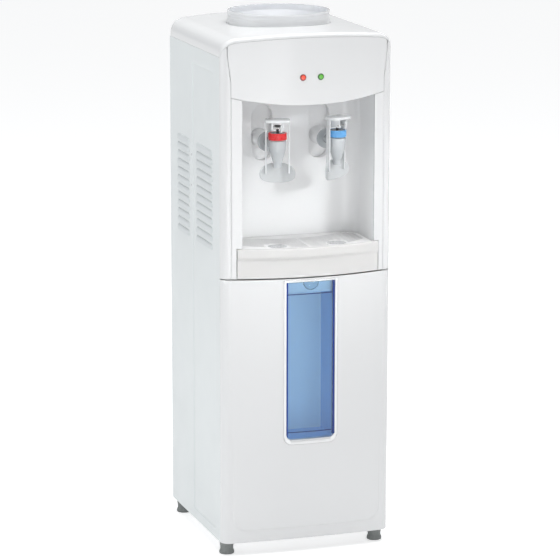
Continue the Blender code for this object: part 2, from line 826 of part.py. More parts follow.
def switch_opening(index):
    """Low and high corners, in x and z, of the opening for one rocker."""
    x = SWITCH_X + (index - 0.5) * SWITCH_PITCH
    half_width, half_height = SWITCH_SIZE[0] / 2, SWITCH_SIZE[1] / 2
    return (x - half_width, SWITCH_HEIGHT - half_height), (x + half_width, SWITCH_HEIGHT + half_height)


def switch_body(margin=0):
    """Low and high corners of the switch housing behind its frame."""
    low = switch_opening(0)[0]
    high = switch_opening(1)[1]
    edge = SHELL + margin
    return (low[0] - edge, low[1] - edge), (high[0] + edge, high[1] + edge)


def inlet_body(margin=0):
    half_width, half_height = INLET_SIZE[0] / 2, INLET_SIZE[1] / 2
    edge = INLET_WALL + margin
    return ((INLET_X - half_width - edge, INLET_HEIGHT - half_height - edge),
            (INLET_X + half_width + edge, INLET_HEIGHT + half_height + edge))


def rear_panel():
    half = HALF_WIDTH - GAP
    top = cover_lip(HALF_WIDTH) - GAP
    loops = [rectangle((-half, FACE_FLOOR), (half, top))]
    first = COOLING_HEIGHT - VENT_PITCH * (VENT_SLOTS - 1) / 2
    for i in range(VENT_SLOTS):
        height = first + i * VENT_PITCH
        low = (-VENT_WIDTH / 2, height - VENT_SLOT / 2)
        loops.append(rectangle(low, (VENT_WIDTH / 2, height + VENT_SLOT / 2)))
    loops.append(rectangle(*switch_body(GAP)))
    loops.append(rectangle(*inlet_body(GAP)))
    loops.append(arc((HOT_X, DRAIN_HEIGHT), DRAIN_RADIUS + GAP, 0, 360 - 360 / COARSE, COARSE - 1))
    return dress(prism("rear_panel", loops, REAR_INNER_Y, BACK_PLANE, "Y"), COATED_STEEL)


def foot_places():
    return [(side * FOOT_X, y) for side in (-1, 1) for y in (FOOT_FRONT_Y, FOOT_BACK_Y)]


def base_pan():
    low = (-INNER_HALF, SIDE_FRONT_Y + SHEET + GAP, FACE_FLOOR)
    high = (INNER_HALF, SIDE_BACK_Y - SHEET - GAP, FACE_FLOOR + BASE_RIM)
    pan = box("base_pan", low, high)
    well = box("base_pan_well", (low[0] + SHEET, low[1] + SHEET, low[2] + BASE_THICKNESS),
               (high[0] - SHEET, high[1] - SHEET, high[2] + OVERRUN))
    spans = [((x, y, 0), (x, y, FOOT_HEIGHT + OVERRUN)) for x, y in foot_places()]
    holes = rods("base_pan_foot_holes", spans, FOOT_BOSS_RADIUS + GAP, COARSE)
    return dress(cut(pan, well, holes), BARE_STEEL)


def foot(name, x, y):
    """A turned rubber foot whose boss is pressed up through the base pan."""
    profile = [(0, FOOT_HEIGHT + FOOT_BOSS_HEIGHT), (FOOT_BOSS_RADIUS, FOOT_HEIGHT + FOOT_BOSS_HEIGHT),
               (FOOT_BOSS_RADIUS, FOOT_HEIGHT), (FOOT_RADIUS, FOOT_HEIGHT),
               (FOOT_WAIST_RADIUS, FOOT_PAD_HEIGHT * 2), (FOOT_RADIUS, FOOT_PAD_HEIGHT), (FOOT_RADIUS, 0),
               (0, 0)]
    return dress(turned(name, profile, (x, y, 0), COARSE), GREY_RUBBER)


def component_shelf():
    """The folded plate that parts the cup space below from the works above."""
    low_y = SIDE_FRONT_Y + SHEET + GAP
    high_y = SIDE_BACK_Y - SHEET - GAP
    inner = INNER_HALF - SHEET
    shelf = box("component_shelf", (-INNER_HALF, low_y, SHELF_TOP - SHELF_FLANGE),
                (INNER_HALF, high_y, SHELF_TOP))
    hollow = box("component_shelf_hollow", (-inner, low_y - OVERRUN, SHELF_TOP - SHELF_FLANGE - OVERRUN),
                 (inner, high_y + OVERRUN, SHELF_TOP - SHEET))
    return dress(cut(shelf, hollow), BARE_STEEL)


def tank_shelf():
    low_y, high_y = TANK_SHELF_FRONT, SIDE_BACK_Y - SHEET - GAP
    shelf = box("tank_shelf", (-INNER_HALF, low_y, TANK_SHELF_HEIGHT - SHELF_FLANGE),
                (INNER_HALF, high_y, TANK_SHELF_HEIGHT))
    inner = INNER_HALF - SHEET
    hollow = box("tank_shelf_hollow", (-inner, low_y - OVERRUN, TANK_SHELF_HEIGHT - SHELF_FLANGE - OVERRUN),
                 (inner, high_y + OVERRUN, TANK_SHELF_HEIGHT - SHEET))
    stubs = rods("tank_shelf_stub_holes",
                 [((x, y, TANK_SHELF_HEIGHT - OVERRUN), (x, y, TANK_SHELF_HEIGHT + OVERRUN))
                  for x, y in (COLD_STUB, FEED_STUB)], STUB_RADIUS + SHELL, COARSE)
    return dress(cut(shelf, hollow, stubs), BARE_STEEL)


# Top

def cover_outline():
    """Plan points round the cabinet's top, from the front left corner anticlockwise."""
    points = [(front_column(i)[0], front_y(front_column(i)[0])) for i in range(FRONT_COLUMNS + 1)]
    corner = COVER_BACK_CORNER
    right, back = HALF_WIDTH, BACK_PLANE
    side_steps = spaced(WRAP_EDGE, back - corner, 5)[1:-1]
    points += [(right, y) for y in side_steps]
    points += arc((right - corner, back - corner), corner, 0, 90, 2)
    points += [(x, back) for x in spaced(right - corner, -right + corner, 6)[1:-1]]
    points += arc((-right + corner, back - corner), corner, 90, 180, 2)
    points += [(-right, y) for y in reversed(side_steps)]
    return points


def top_cover():
    """The crowned top: a round-edged shell with a well that seats the bottle's collar."""
    outline = cover_outline()
    count = len(outline)
    radius = COVER_EDGE_RADIUS
    insets = (0, 0, radius * EDGE_ROUND_SHARE, radius, COVER_SIDE_RADIUS * SIDE_ROUND_SHARE,
              COVER_SIDE_RADIUS)
    last = len(insets)
    hole = COLLAR_RADIUS - SHELL

    def place(column, row, depth):
        x, y = outline[column % count]
        outward = Vector((x, y - COLLAR_CENTRE_Y))
        if row == last:
            ring = outward.normalized() * hole
            return ring.x, ring.y + COLLAR_CENTRE_Y, cover_height(ring.x) - depth
        inset = insets[row] + (depth if row < 3 else 0)
        shrunk = (x * (1 - inset / HALF_WIDTH), y * (1 - inset / abs(FRONT_PLANE)))
        if row == 0:
            return (*shrunk, SIDE_TOP)
        near = min(radius, insets[row])
        drop = radius - math.sqrt(radius ** 2 - (radius - near) ** 2)
        sink = depth if row > 1 else 0
        over = x * (1 - insets[row] / HALF_WIDTH)
        return (*shrunk, cover_height(over) - drop - sink)

    cover = slab("top_cover", count, last, lambda c, r: place(c, r, 0), lambda c, r: place(c, r, SHELL),
                 closed=True)
    line = lip_line()
    reach, deep = HALF_WIDTH + OVERRUN, SIDE_TOP - OVERRUN
    outline_below = [(-reach, SIDE_TOP)] + line + [(reach, SIDE_TOP), (reach, deep), (-reach, deep)]
    below = prism("top_cover_front_trim", [outline_below], FRONT_PLANE - FACE_BOW - OVERRUN, WRAP_EDGE, "Y")
    mouth = rod("top_cover_mouth", (0, COLLAR_CENTRE_Y, WELL_FLOOR),
                (0, COLLAR_CENTRE_Y, COLLAR_TOP + OVERRUN), COLLAR_RADIUS + GAP + SHELL / 2, FINE)
    cut(cover, below, mouth)
    return dress(unite(cover, cover_well()), WHITE_ABS)


def cover_well():
    """The round wall and ledge that hang from the cover's mouth."""
    inner = COLLAR_RADIUS + GAP
    ledge = COLLAR_RADIUS - COLLAR_SEAT

    def place(column, row, depth):
        angle = 2 * math.pi * (column % FINE) / FINE
        radius = (inner + depth, inner + depth, ledge)[row]
        x = radius * math.cos(angle)
        y = COLLAR_CENTRE_Y + radius * math.sin(angle)
        height = cover_height(x) - WELL_REBATE if row == 0 else WELL_FLOOR - depth
        return x, y, height

    return slab("top_cover_well", FINE, 2, lambda c, r: place(c, r, 0), lambda c, r: place(c, r, SHELL),
                closed=True)


def collar_foot():
    """Height of the collar's spigot end, which rests on the tank's lid."""
    return TANK_TOP + GAP + LID_THICKNESS + GAP


def bottle_collar():
    """The collar that steadies the bottle, in one piece with the funnel down to the tank."""
    wall = COLLAR_WALL
    foot = collar_foot()
    seat = WELL_FLOOR + GAP
    profile = [(COLLAR_RADIUS - wall * 2, COLLAR_TOP), (COLLAR_RADIUS, COLLAR_TOP), (COLLAR_RADIUS, seat),
               (COLLAR_RADIUS - wall, seat), (COLLAR_RADIUS - wall, BOWL_RIM_HEIGHT), (BOWL_RADIUS, BOWL_HEIGHT),
               (NECK_RADIUS, NECK_HEIGHT), (NECK_RADIUS, foot), (NECK_RADIUS - SPIGOT_INSET, foot),
               (NECK_RADIUS - SPIGOT_INSET, foot + wall), (NECK_RADIUS - wall, foot + wall),
               (NECK_RADIUS - wall, NECK_HEIGHT + wall / 2), (BOWL_RADIUS - wall, BOWL_HEIGHT + wall),
               (COLLAR_RADIUS - COLLAR_SEAT, BOWL_RIM_HEIGHT + wall)]
    collar = turned("bottle_collar", profile, (0, COLLAR_CENTRE_Y, 0), FINE)
    return dress(collar, MILKY_PLASTIC)


def feed_spike():
    """The probe that opens the bottle's cap: a bored tube on a plate that rests in the funnel's neck."""
    seat = collar_foot() + COLLAR_WALL + GAP
    plate = seat + COLLAR_WALL
    rim = NECK_RADIUS - COLLAR_WALL - GAP
    nose = SPIKE_RADIUS / 2
    profile = [(SPIKE_BORE / 2, SPIKE_TOP), (nose, SPIKE_TOP), (SPIKE_RADIUS, SPIKE_TOP - SPIKE_TAPER),
               (SPIKE_RADIUS, plate), (rim, plate), (rim, seat), (SPIKE_BORE, seat),
               (SPIKE_BORE, SPIKE_TOP - SPIKE_BORE_TAPER), (SPIKE_BORE / 2, SPIKE_TOP - SPIKE_BORE_LIP)]
    spike = turned("feed_spike", profile, (0, COLLAR_CENTRE_Y, 0), ROUND)
    windows = boxes("feed_spike_windows", [
        ((-SPIKE_RADIUS * 2, COLLAR_CENTRE_Y - SPIKE_BORE / 3, SPIKE_TOP - SPIKE_WINDOW_BOTTOM),
         (SPIKE_RADIUS * 2, COLLAR_CENTRE_Y + SPIKE_BORE / 3, SPIKE_TOP - SPIKE_WINDOW_TOP))])
    return dress(cut(spike, windows), MILKY_PLASTIC)


# Upper front

def front_frame():
    def heights(x):
        return SEAM_UPPER, ALCOVE_TOP, cover_lip(x) + SHELL

    outer, inner = front_skin(heights, FRAME_WALL, lambda height: FACE_BOW)
    frame = slab("front_frame", FRONT_COLUMNS, 2, outer, inner)
    deep_y = (FRONT_PLANE - FACE_BOW - OVERRUN, FRONT_PLANE + OVERRUN)
    alcove = box("front_frame_alcove", (-ALCOVE_HALF, deep_y[0], SEAM_UPPER - OVERRUN),
                 (ALCOVE_HALF, deep_y[1], ALCOVE_TOP))
    notch = box("front_frame_tray_notch", (-TRAY_HALF, deep_y[0], SEAM_UPPER - OVERRUN),
                (TRAY_HALF, deep_y[1], TRAY_NOTCH_TOP))
    recess = fascia_slab("front_frame_fascia_recess", FASCIA_GAP, -OVERRUN, FASCIA_WALL + GAP)
    lamps = rods("front_frame_lamp_holes", [((x, deep_y[0], LAMP_HEIGHT), (x, deep_y[1], LAMP_HEIGHT))
                                            for x in lamp_places()], LAMP_RADIUS + LAMP_FLANGE + GAP, COARSE)
    return dress(cut(frame, above_lip("front_frame_top_trim"), alcove, notch, recess, lamps), WHITE_ABS)


def lamp_places():
    return -LAMP_SPACING / 2, LAMP_SPACING / 2


def fascia_slab(name, margin, front, back):
    """The fascia's own shape, or its recess when grown by a margin."""
    rows = 3

    def point(column, row, depth):
        share = 2 * column / FACE_STEPS - 1
        flare = margin + FASCIA_TOP_HALF
        straight = margin + CREASE_HALF
        height_share = row / rows
        half = blend(straight, flare, max(0, height_share * 2 - 1) if row < rows else 1)
        x = half * share
        low = FASCIA_MIDDLE - margin + FASCIA_RISE * share ** 2
        high = cover_lip(x) + SHELL
        height = (low, FASCIA_FLARE_HEIGHT, blend(FASCIA_FLARE_HEIGHT, high, 0.5), high)[row]
        return x, front_y(x) + depth, height

    return slab(name, FACE_STEPS, rows, lambda c, r: point(c, r, front), lambda c, r: point(c, r, back))


def fascia():
    panel = fascia_slab("fascia", 0, 0, FASCIA_WALL)
    deep_y = (FRONT_PLANE - FACE_BOW - OVERRUN, FRONT_PLANE + OVERRUN)
    lamps = rods("fascia_lamp_holes", [((x, deep_y[0], LAMP_HEIGHT), (x, deep_y[1], LAMP_HEIGHT))
                                       for x in lamp_places()], LAMP_RADIUS + GAP, COARSE)
    return dress(cut(panel, above_lip("fascia_top_trim"), lamps), WHITE_ABS)


def lamp_faces():
    """y of the lens tip, of the fascia's back, and of the board's face."""
    face = front_y(LAMP_SPACING / 2)
    board = front_y(BOARD_WIDTH / 2) + FRAME_WALL + GAP + FACET_CLEARANCE
    return face - LAMP_DOME, face + FASCIA_WALL + GAP * 2, board


def lamp(name, x, finish):
    tip, shoulder, board = lamp_faces()
    radius = LAMP_RADIUS
    dome = [(0, -tip)]
    for step in range(1, DOME_STEPS):
        angle = math.radians(90) * step / DOME_STEPS
        dome.append((radius * math.sin(angle), -tip - LAMP_DOME * (1 - math.cos(angle))))
    profile = dome + [(radius, -tip - LAMP_DOME), (radius, -shoulder), (radius + LAMP_FLANGE, -shoulder),
                      (radius + LAMP_FLANGE, -board + GAP), (0, -board + GAP)]
    lens = turned(name, profile, (x, 0, LAMP_HEIGHT), COARSE)
    lens.rotation_euler = (math.radians(90), 0, 0)
    return dress(lens, finish)


def lamp_board():
    board = lamp_faces()[2]
    low = (-BOARD_WIDTH / 2, board, LAMP_HEIGHT - BOARD_HEIGHT / 2)
    high = (BOARD_WIDTH / 2, board + BOARD_THICKNESS, LAMP_HEIGHT + BOARD_HEIGHT / 2)
    return dress(box("lamp_board", low, high), BOARD_GREEN)


# Alcove

def liner_front(x):
    return front_y(x) + FRAME_WALL + GAP + FACET_CLEARANCE


def alcove_path(grow):
    """Plan points round the alcove's wall from its left front edge to its right one."""
    half = ALCOVE_HALF + GAP + grow
    back = ALCOVE_WALL_Y + grow
    radius = ALCOVE_CORNER + grow
    front = liner_front(ALCOVE_HALF + GAP + LINER_WALL)
    left = [(-half, front)] + arc((-half + radius, back - radius), radius, 180, 90, 4)
    return left + [(-x, y) for x, y in reversed(left)]


def alcove_plate(name, low, high):
    """A floor or ceiling that reaches from the front frame into the alcove's wall."""
    path = alcove_path(LINER_WALL * LINER_OVERLAP_SHARE)
    edge = spaced(path[-1][0], path[0][0], FACE_STEPS + 1)[1:-1]
    return prism(name, [path + [(x, liner_front(x)) for x in edge]], low, high)


def stadium(centre, half, low, high, steps=6):
    """An upright slot outline in x and z with round ends."""
    top = arc((centre, high - half), half, 0, 180, steps)
    return top + arc((centre, low + half), half, 180, 360, steps)


def alcove_liner():
    heights = (LINER_FLOOR - LINER_WALL / 2, ALCOVE_TOP + LINER_WALL / 2)
    skin, core = alcove_path(LINER_WALL), alcove_path(0)
    liner = slab("alcove_liner", len(core) - 1, 1,
                 lambda c, r: (*skin[c], heights[r]), lambda c, r: (*core[c], heights[r]))
    unite(liner, alcove_plate("alcove_liner_floor", LINER_FLOOR - LINER_WALL, LINER_FLOOR),
          alcove_plate("alcove_liner_ceiling", ALCOVE_TOP, ALCOVE_TOP + LINER_WALL))
    floor_y = ALCOVE_WALL_Y + NICHE_DEPTH
    for side, label in ((-1, "left"), (1, "right")):
        niche_x = side * NICHE_SPACING / 2
        tap_x = side * TAP_SPACING / 2
        rim = stadium(niche_x, NICHE_HALF + LINER_WALL, NICHE_BOTTOM - LINER_WALL, NICHE_TOP + LINER_WALL)
        pocket = prism("alcove_liner_pocket_" + label, [rim], ALCOVE_WALL_Y + LINER_WALL / 2,
                       floor_y + LINER_WALL, "Y")
        niche = prism("alcove_liner_niche_" + label, [stadium(niche_x, NICHE_HALF, NICHE_BOTTOM, NICHE_TOP)],
                      ALCOVE_WALL_Y - OVERRUN, floor_y, "Y")
        boss = rod("alcove_liner_boss_" + label, (tap_x, BOSS_FRONT_Y, SHANK_HEIGHT),
                   (tap_x, floor_y + LINER_WALL / 2, SHANK_HEIGHT), BOSS_RADIUS, ROUND)
        bore = rod("alcove_liner_bore_" + label, (tap_x, BOSS_FRONT_Y - OVERRUN, SHANK_HEIGHT),
                   (tap_x, floor_y + OVERRUN, SHANK_HEIGHT), SHANK_RADIUS + GAP)
        unite(liner, pocket)
        cut(liner, niche)
        unite(liner, boss)
        cut(liner, bore)
    return dress(liner, LINER_WHITE)


# Drip tray

def tray_edge(x, bow, proud=0):
    """y of the tray's front at x, level with the cabinet's face at its ends."""
    ends = front_y(TRAY_HALF)
    return ends - (bow - (FRONT_PLANE - ends)) * (1 - (x / TRAY_HALF) ** 2) - proud


def lip_edge(x):
    return tray_edge(x, TRAY_LIP_BOW, TRAY_LIP_PROUD)


def tray_plan(shrink, front):
    """A plan outline inside the alcove with the given front edge."""
    path = alcove_path(-shrink)[1:-1]
    half = path[-1][0]
    return path + [(x, front(x)) for x in spaced(half, -half, FACE_STEPS + 1)]


def drip_tray():
    """A basin behind a bowed face whose rim rolls forward over a crease."""
    half = TRAY_HALF - GAP * 2
    rim_edge = TRAY_WALL / 2
    rows = ((SEAM_UPPER + GAP, FACE_BOW, 0), (TRAY_TOP - TRAY_CREASE_HEIGHT, TRAY_THROAT_BOW, 0),
            (TRAY_TOP - TRAY_LIP_HEIGHT, TRAY_LIP_BOW, TRAY_LIP_PROUD),
            (TRAY_TOP - rim_edge, TRAY_LIP_BOW, TRAY_LIP_PROUD),
            (TRAY_TOP, TRAY_LIP_BOW, TRAY_LIP_PROUD - rim_edge))

    def outer(column, row):
        x = blend(-half, half, column / FACE_STEPS)
        return x, tray_edge(x, rows[row][1], rows[row][2]), rows[row][0]

    def inner(column, row):
        x = blend(-half, half, column / FACE_STEPS)
        return x, front_y(x) + SHELL, rows[row][0]

    shrink = TRAY_SIDE_CLEARANCE
    tray = slab("drip_tray", FACE_STEPS, len(rows) - 1, outer, inner)
    basin = prism("drip_tray_basin", [tray_plan(shrink, lambda x: front_y(x) + TRAY_WALL / 2)],
                  TRAY_FLOOR, TRAY_TOP)
    ledge = TRAY_TOP - GRILLE_THICKNESS - GAP
    inside = prism("drip_tray_inside",
                   [tray_plan(shrink + TRAY_WALL + GRILLE_LEDGE, lambda x: front_y(x) + SHELL + TRAY_WALL)],
                   TRAY_FLOOR + TRAY_WALL, ledge + GRILLE_THICKNESS / 2)
    seat = prism("drip_tray_seat", [tray_plan(shrink + TRAY_WALL, lambda x: lip_edge(x) + TRAY_RIM)],
                 ledge, TRAY_TOP + OVERRUN)
    unite(tray, basin)
    cut(tray, inside, seat)
    return dress(tray, TRAY_WHITE)


def slot_front(index):
    """y of the foremost point of a slot's middle line."""
    return lip_edge(0) + TRAY_RIM + SLOT_RIB + SLOT_WIDTH / 2 + index * SLOT_PITCH


def slot_arc_y(x, index, offset=0):
    radius = SLOT_RADIUS + offset
    return slot_front(index) + SLOT_RADIUS - math.sqrt(radius ** 2 - x ** 2)


def slot_spans(index, limits):
    """The x spans of one slot: clear of the dips, the middle rib and the grille's edge."""
    taken = [(-SLOT_RIB / 2, SLOT_RIB / 2)]
    reach = DIP_RADIUS + SLOT_RIB / 2 + SLOT_WIDTH / 2
    for side in (-1, 1):
        x = side * TAP_SPACING / 2
        away = abs(slot_arc_y(x, index) - TAP_Y)
        if away < reach:
            half = math.sqrt(reach ** 2 - away ** 2)
            taken.append((x - half, x + half))
    edges = sorted(taken)
    starts = [-limits] + [high for _, high in edges]
    ends = [low for low, _ in edges] + [limits]
    return [(start, end) for start, end in zip(starts, ends) if end - start > SLOT_PITCH]


def slot_limit(index):
    """How far out a slot may run before it meets the grille's back edge or its side."""
    half = ALCOVE_HALF - TRAY_SIDE_CLEARANCE - TRAY_WALL - SLOT_RIB
    back = ALCOVE_WALL_Y - TRAY_SIDE_CLEARANCE - TRAY_WALL - SLOT_RIB
    corner = ALCOVE_CORNER - TRAY_SIDE_CLEARANCE - TRAY_WALL
    limit = half
    while limit > 0:
        y = slot_arc_y(limit, index) + SLOT_WIDTH / 2
        over_x = max(0, limit - (half - corner))
        over_y = max(0, y - (back - corner))
        front = lip_edge(limit) + TRAY_RIM + SLOT_RIB
        if math.hypot(over_x, over_y) < corner and y < back and y - SLOT_WIDTH > front:
            return limit
        limit -= SLOT_RIB / 4
    return 0


def drip_grille():
    edge = TRAY_SIDE_CLEARANCE + TRAY_WALL + GAP * 2
    outline = tray_plan(edge, lambda x: lip_edge(x) + TRAY_RIM + GAP * 2)
    loops = [outline]
    for index in range(SLOT_COUNT):
        for start, end in slot_spans(index, slot_limit(index)):
            steps = max(2, round((end - start) / (SLOT_PITCH * 2)))
            line = spaced(start, end, steps + 1)
            near = [(x, slot_arc_y(x, index, SLOT_WIDTH / 2)) for x in line]
            far = [(x, slot_arc_y(x, index, -SLOT_WIDTH / 2)) for x in reversed(line)]
            loops.append(near + far)
    low = TRAY_TOP - GRILLE_THICKNESS
    grille = prism("drip_grille", loops, low, TRAY_TOP)
    for side, label in ((-1, "left"), (1, "right")):
        x = side * TAP_SPACING / 2
        dip = rod("drip_grille_dip_" + label, (x, TAP_Y, TRAY_TOP - DIP_DEPTH),
                  (x, TAP_Y, TRAY_TOP + OVERRUN), DIP_RADIUS, ROUND)
        drain = rod("drip_grille_drain_" + label, (x, TAP_Y, low - OVERRUN), (x, TAP_Y, TRAY_TOP + OVERRUN),
                    DIP_DRAIN_RADIUS, SMALL)
        cut(grille, dip, drain)
    return dress(grille, TRAY_WHITE)


# Taps: each is modelled about its own upright axis, which an empty carries

def head_turn(side):
    """Angle by which a tap's head is turned outward."""
    return math.radians(HOT_TAP_TURN if side < 0 else COLD_TAP_TURN)


def tap_stand(label, side):
    stand = bpy.data.objects.new(label + "_tap_axis", None)
    stand.location = (side * TAP_SPACING / 2, TAP_Y, SHANK_HEIGHT)
    PARTS.objects.link(stand)
    return stand


def lever_stand(label, side, stand):
    """The lever's hinge axis: level, in front of the stem, and turned outward with the head."""
    pivot = bpy.data.objects.new(label + "_lever_axis", None)
    turn = head_turn(side)
    pivot.location = (PIVOT_OFFSET * math.sin(turn), -PIVOT_OFFSET * math.cos(turn), PIVOT_HEIGHT)
    pivot.rotation_euler = (0, 0, turn)
    pivot.parent = stand
    PARTS.objects.link(pivot)
    return pivot


def hang(obj, holder):
    obj.parent = holder
    return obj


def tap_body(label, stand):
    tip, cone_low, cone_high = NOZZLE_TIP, BODY_CONE_BOTTOM, BODY_CONE_TOP
    neck = CHAMBER_RADIUS + NECK_WALL
    top = BODY_SHOULDER + RING_HEIGHT
    profile = [(CHAMBER_RADIUS, top), (neck, top), (neck, BODY_SHOULDER),
               (BODY_RADIUS, BODY_SHOULDER - NECK_WALL / 2), (BODY_WAIST_RADIUS, cone_high),
               (BODY_CONE_RADIUS, cone_low), (NOZZLE_RADIUS, cone_low - NECK_WALL), (NOZZLE_RADIUS, tip),
               (SHANK_BORE, tip),
               (SHANK_BORE, CHAMBER_FLOOR - SHANK_BORE * 2), (SHANK_BORE, CHAMBER_FLOOR),
               (CHAMBER_RADIUS, CHAMBER_FLOOR)]
    body = turned(label + "_tap_body", profile, (0, 0, 0), ROUND)
    flange_front = BOSS_FRONT_Y - GAP - TAP_FLANGE_THICKNESS - TAP_Y
    tail = ALCOVE_WALL_Y + NICHE_DEPTH + LINER_WALL + SHANK_TAIL - TAP_Y
    start = CHAMBER_RADIUS + NECK_WALL / 2
    shank = rod(label + "_tap_shank", (0, start, 0), (0, tail, 0), SHANK_RADIUS)
    flange = rod(label + "_tap_flange", (0, flange_front, 0), (0, flange_front + TAP_FLANGE_THICKNESS, 0),
                 TAP_FLANGE_RADIUS, ROUND)
    bore = rod(label + "_tap_bore", (0, 0, SHANK_BORE), (0, tail + OVERRUN, SHANK_BORE / 4), SHANK_BORE, SMALL)
    for tool in (shank, flange, bore):
        hang(tool, stand)
    unite(body, shank, flange)
    cut(body, bore)
    return dress(hang(body, stand), SMOKED_PLASTIC)


def tap_ring(label, stand, finish):
    inner = CHAMBER_RADIUS + NECK_WALL + GAP
    low, high = BODY_SHOULDER + GAP, BODY_SHOULDER + RING_HEIGHT
    edge = NECK_WALL / 4
    profile = [(inner, high), (RING_RADIUS - edge, high), (RING_RADIUS, high - edge), (RING_RADIUS, low),
               (inner, low)]
    return dress(hang(turned(label + "_tap_ring", profile, (0, 0, 0), ROUND), stand), finish)


def tap_bonnet(label, stand, side):
    """The white cap under the coloured ring's top, with the two posts that carry the pin."""
    low = BODY_SHOULDER + RING_HEIGHT + GAP
    high = low + BONNET_THICKNESS
    radius = CHAMBER_RADIUS + NECK_WALL
    hole = STEM_RADIUS + GAP * 2
    bonnet = turned(label + "_tap_bonnet", [(hole, high), (radius, high), (radius, low), (hole, low)],
                    (0, 0, 0), ROUND)
    near, far = -PIVOT_OFFSET - POST_DEPTH / 2, -PIVOT_OFFSET + POST_DEPTH / 2
    posts = []
    for x in (-POST_SPACING / 2, POST_SPACING / 2):
        posts.append(((x - POST_THICKNESS / 2, near, high - BONNET_THICKNESS / 2),
                      (x + POST_THICKNESS / 2, far, POST_TOP)))
    towers = boxes(label + "_tap_posts", posts)
    reach = PLATE_WIDTH / 2
    bore = rod(label + "_tap_post_bore", (-reach, -PIVOT_OFFSET, PIVOT_HEIGHT),
               (reach, -PIVOT_OFFSET, PIVOT_HEIGHT), PIN_RADIUS + PIN_CLEARANCE, SMALL)
    turn = Matrix.Rotation(head_turn(side), 4, "Z")
    for tool in (towers, bore):
        tool.matrix_local = turn @ tool.matrix_local
        hang(tool, stand)
    unite(bonnet, towers)
    cut(bonnet, bore)
    return dress(hang(bonnet, stand), MILKY_PLASTIC)


def lug_spans():
    """Inner and outer x of the lever's two lugs, just outside the posts."""
    inner = POST_SPACING / 2 + POST_THICKNESS / 2 + GAP
    return inner, inner + LUG_THICKNESS


def tap_pin(label, pivot):
    reach = lug_spans()[1] + GAP
    pin = rod(label + "_tap_pin", (-reach, 0, 0), (reach, 0, 0), PIN_RADIUS, SMALL)
    return dress(hang(pin, pivot), STAINLESS)


def paddle_slab(name):
    """The dished oval that a cup pushes, about the lever's hinge."""
    columns, rows = 8, 6
    half_height = (PADDLE_TOP - PADDLE_BOTTOM) / 2
    middle = (PADDLE_TOP + PADDLE_BOTTOM) / 2 - PIVOT_HEIGHT

    def point(column, row, depth):
        up = math.sin(math.radians(blend(-PADDLE_SPAN, PADDLE_SPAN, row / rows)))
        width = PADDLE_WIDTH / 2 * math.sqrt(1 - abs(up) ** PADDLE_OVAL)
        x = width * (2 * column / columns - 1)
        share = (2 * x / PADDLE_WIDTH) ** 2
        y = PIVOT_OFFSET + PADDLE_BACK - PADDLE_DISH * share + depth
        return x, y, middle + half_height * up

    return slab(name, columns, rows, lambda c, r: point(c, r, 0), lambda c, r: point(c, r, -PADDLE_WALL))


def tap_lever(label, pivot):
    base = PLATE_BOTTOM - PIVOT_HEIGHT
    half = PLATE_WIDTH / 2
    plate = box(label + "_tap_lever", (-half, PIVOT_OFFSET - PLATE_FRONT, base),
                (half, PIVOT_OFFSET + PLATE_BACK, base + PLATE_THICKNESS))
    arm_low = (PADDLE_TOP + PADDLE_BOTTOM) / 2 - PIVOT_HEIGHT
    arm_x = half - ARM_THICKNESS
    share = (arm_x * 2 / PADDLE_WIDTH) ** 2
    arm_y = PIVOT_OFFSET + PADDLE_BACK - PADDLE_DISH * share - PADDLE_WALL / 2
    inner, outer = lug_spans()
    arms, lugs = [], []
    for side in (-1, 1):
        low_x, high_x = sorted((side * arm_x, side * half))
        arms.append(((low_x, arm_y - ARM_DEPTH, arm_low), (high_x, arm_y, base + PLATE_THICKNESS / 2)))
        low_x, high_x = sorted((side * inner, side * outer))
        lugs.append(((low_x, -POST_DEPTH / 2, -LUG_DROP), (high_x, PIVOT_OFFSET + POST_DEPTH, base + SHELL)))
    fork = box(label + "_tap_fork", (-outer + GAP, POST_DEPTH / 2 + SHELL, 0),
               (outer - GAP, PIVOT_OFFSET + POST_DEPTH - GAP, FORK_THICKNESS))
    slot = rod(label + "_tap_fork_hole", (0, PIVOT_OFFSET, -FORK_CUT),
               (0, PIVOT_OFFSET, FORK_THICKNESS + GAP * 2), FORK_HOLE, COARSE)
    bore = rod(label + "_tap_lug_bore", (-half, 0, 0), (half, 0, 0), PIN_RADIUS + PIN_CLEARANCE, SMALL)
    pieces = [boxes(label + "_tap_arms", arms), boxes(label + "_tap_lugs", lugs), fork,
              paddle_slab(label + "_tap_paddle")]
    for tool in pieces + [slot, bore]:
        hang(tool, pivot)
    unite(plate, *pieces)
    cut(plate, slot, bore)
    return dress(hang(plate, pivot), MILKY_PLASTIC)


def tap_stem(label, stand):
    seat = CHAMBER_FLOOR + GAP
    head = PIVOT_HEIGHT + FORK_THICKNESS + GAP
    profile = [(0, head + STEM_HEAD_THICKNESS), (STEM_HEAD_RADIUS, head + STEM_HEAD_THICKNESS),
               (STEM_HEAD_RADIUS, head), (STEM_RADIUS, head), (STEM_RADIUS, seat + STOPPER_THICKNESS),
               (STOPPER_RADIUS, seat + STOPPER_THICKNESS), (STOPPER_RADIUS, seat), (0, seat)]
    return dress(hang(turned(label + "_tap_stem", profile, (0, 0, 0), COARSE), stand), SILICONE)


def tap_nut(label, stand):
    """The hexagon that clamps the shank behind the alcove's wall."""
    front = ALCOVE_WALL_Y + NICHE_DEPTH + LINER_WALL + GAP - TAP_Y
    nut = rod(label + "_tap_nut", (0, front, 0), (0, front + NUT_THICKNESS, 0), NUT_RADIUS, NUT_SIDES)
    bore = rod(label + "_tap_nut_bore", (0, front - OVERRUN, 0), (0, front + OVERRUN, 0), SHANK_RADIUS + GAP)
    hang(bore, stand)
    return dress(cut(hang(nut, stand), bore), SMOKED_PLASTIC)


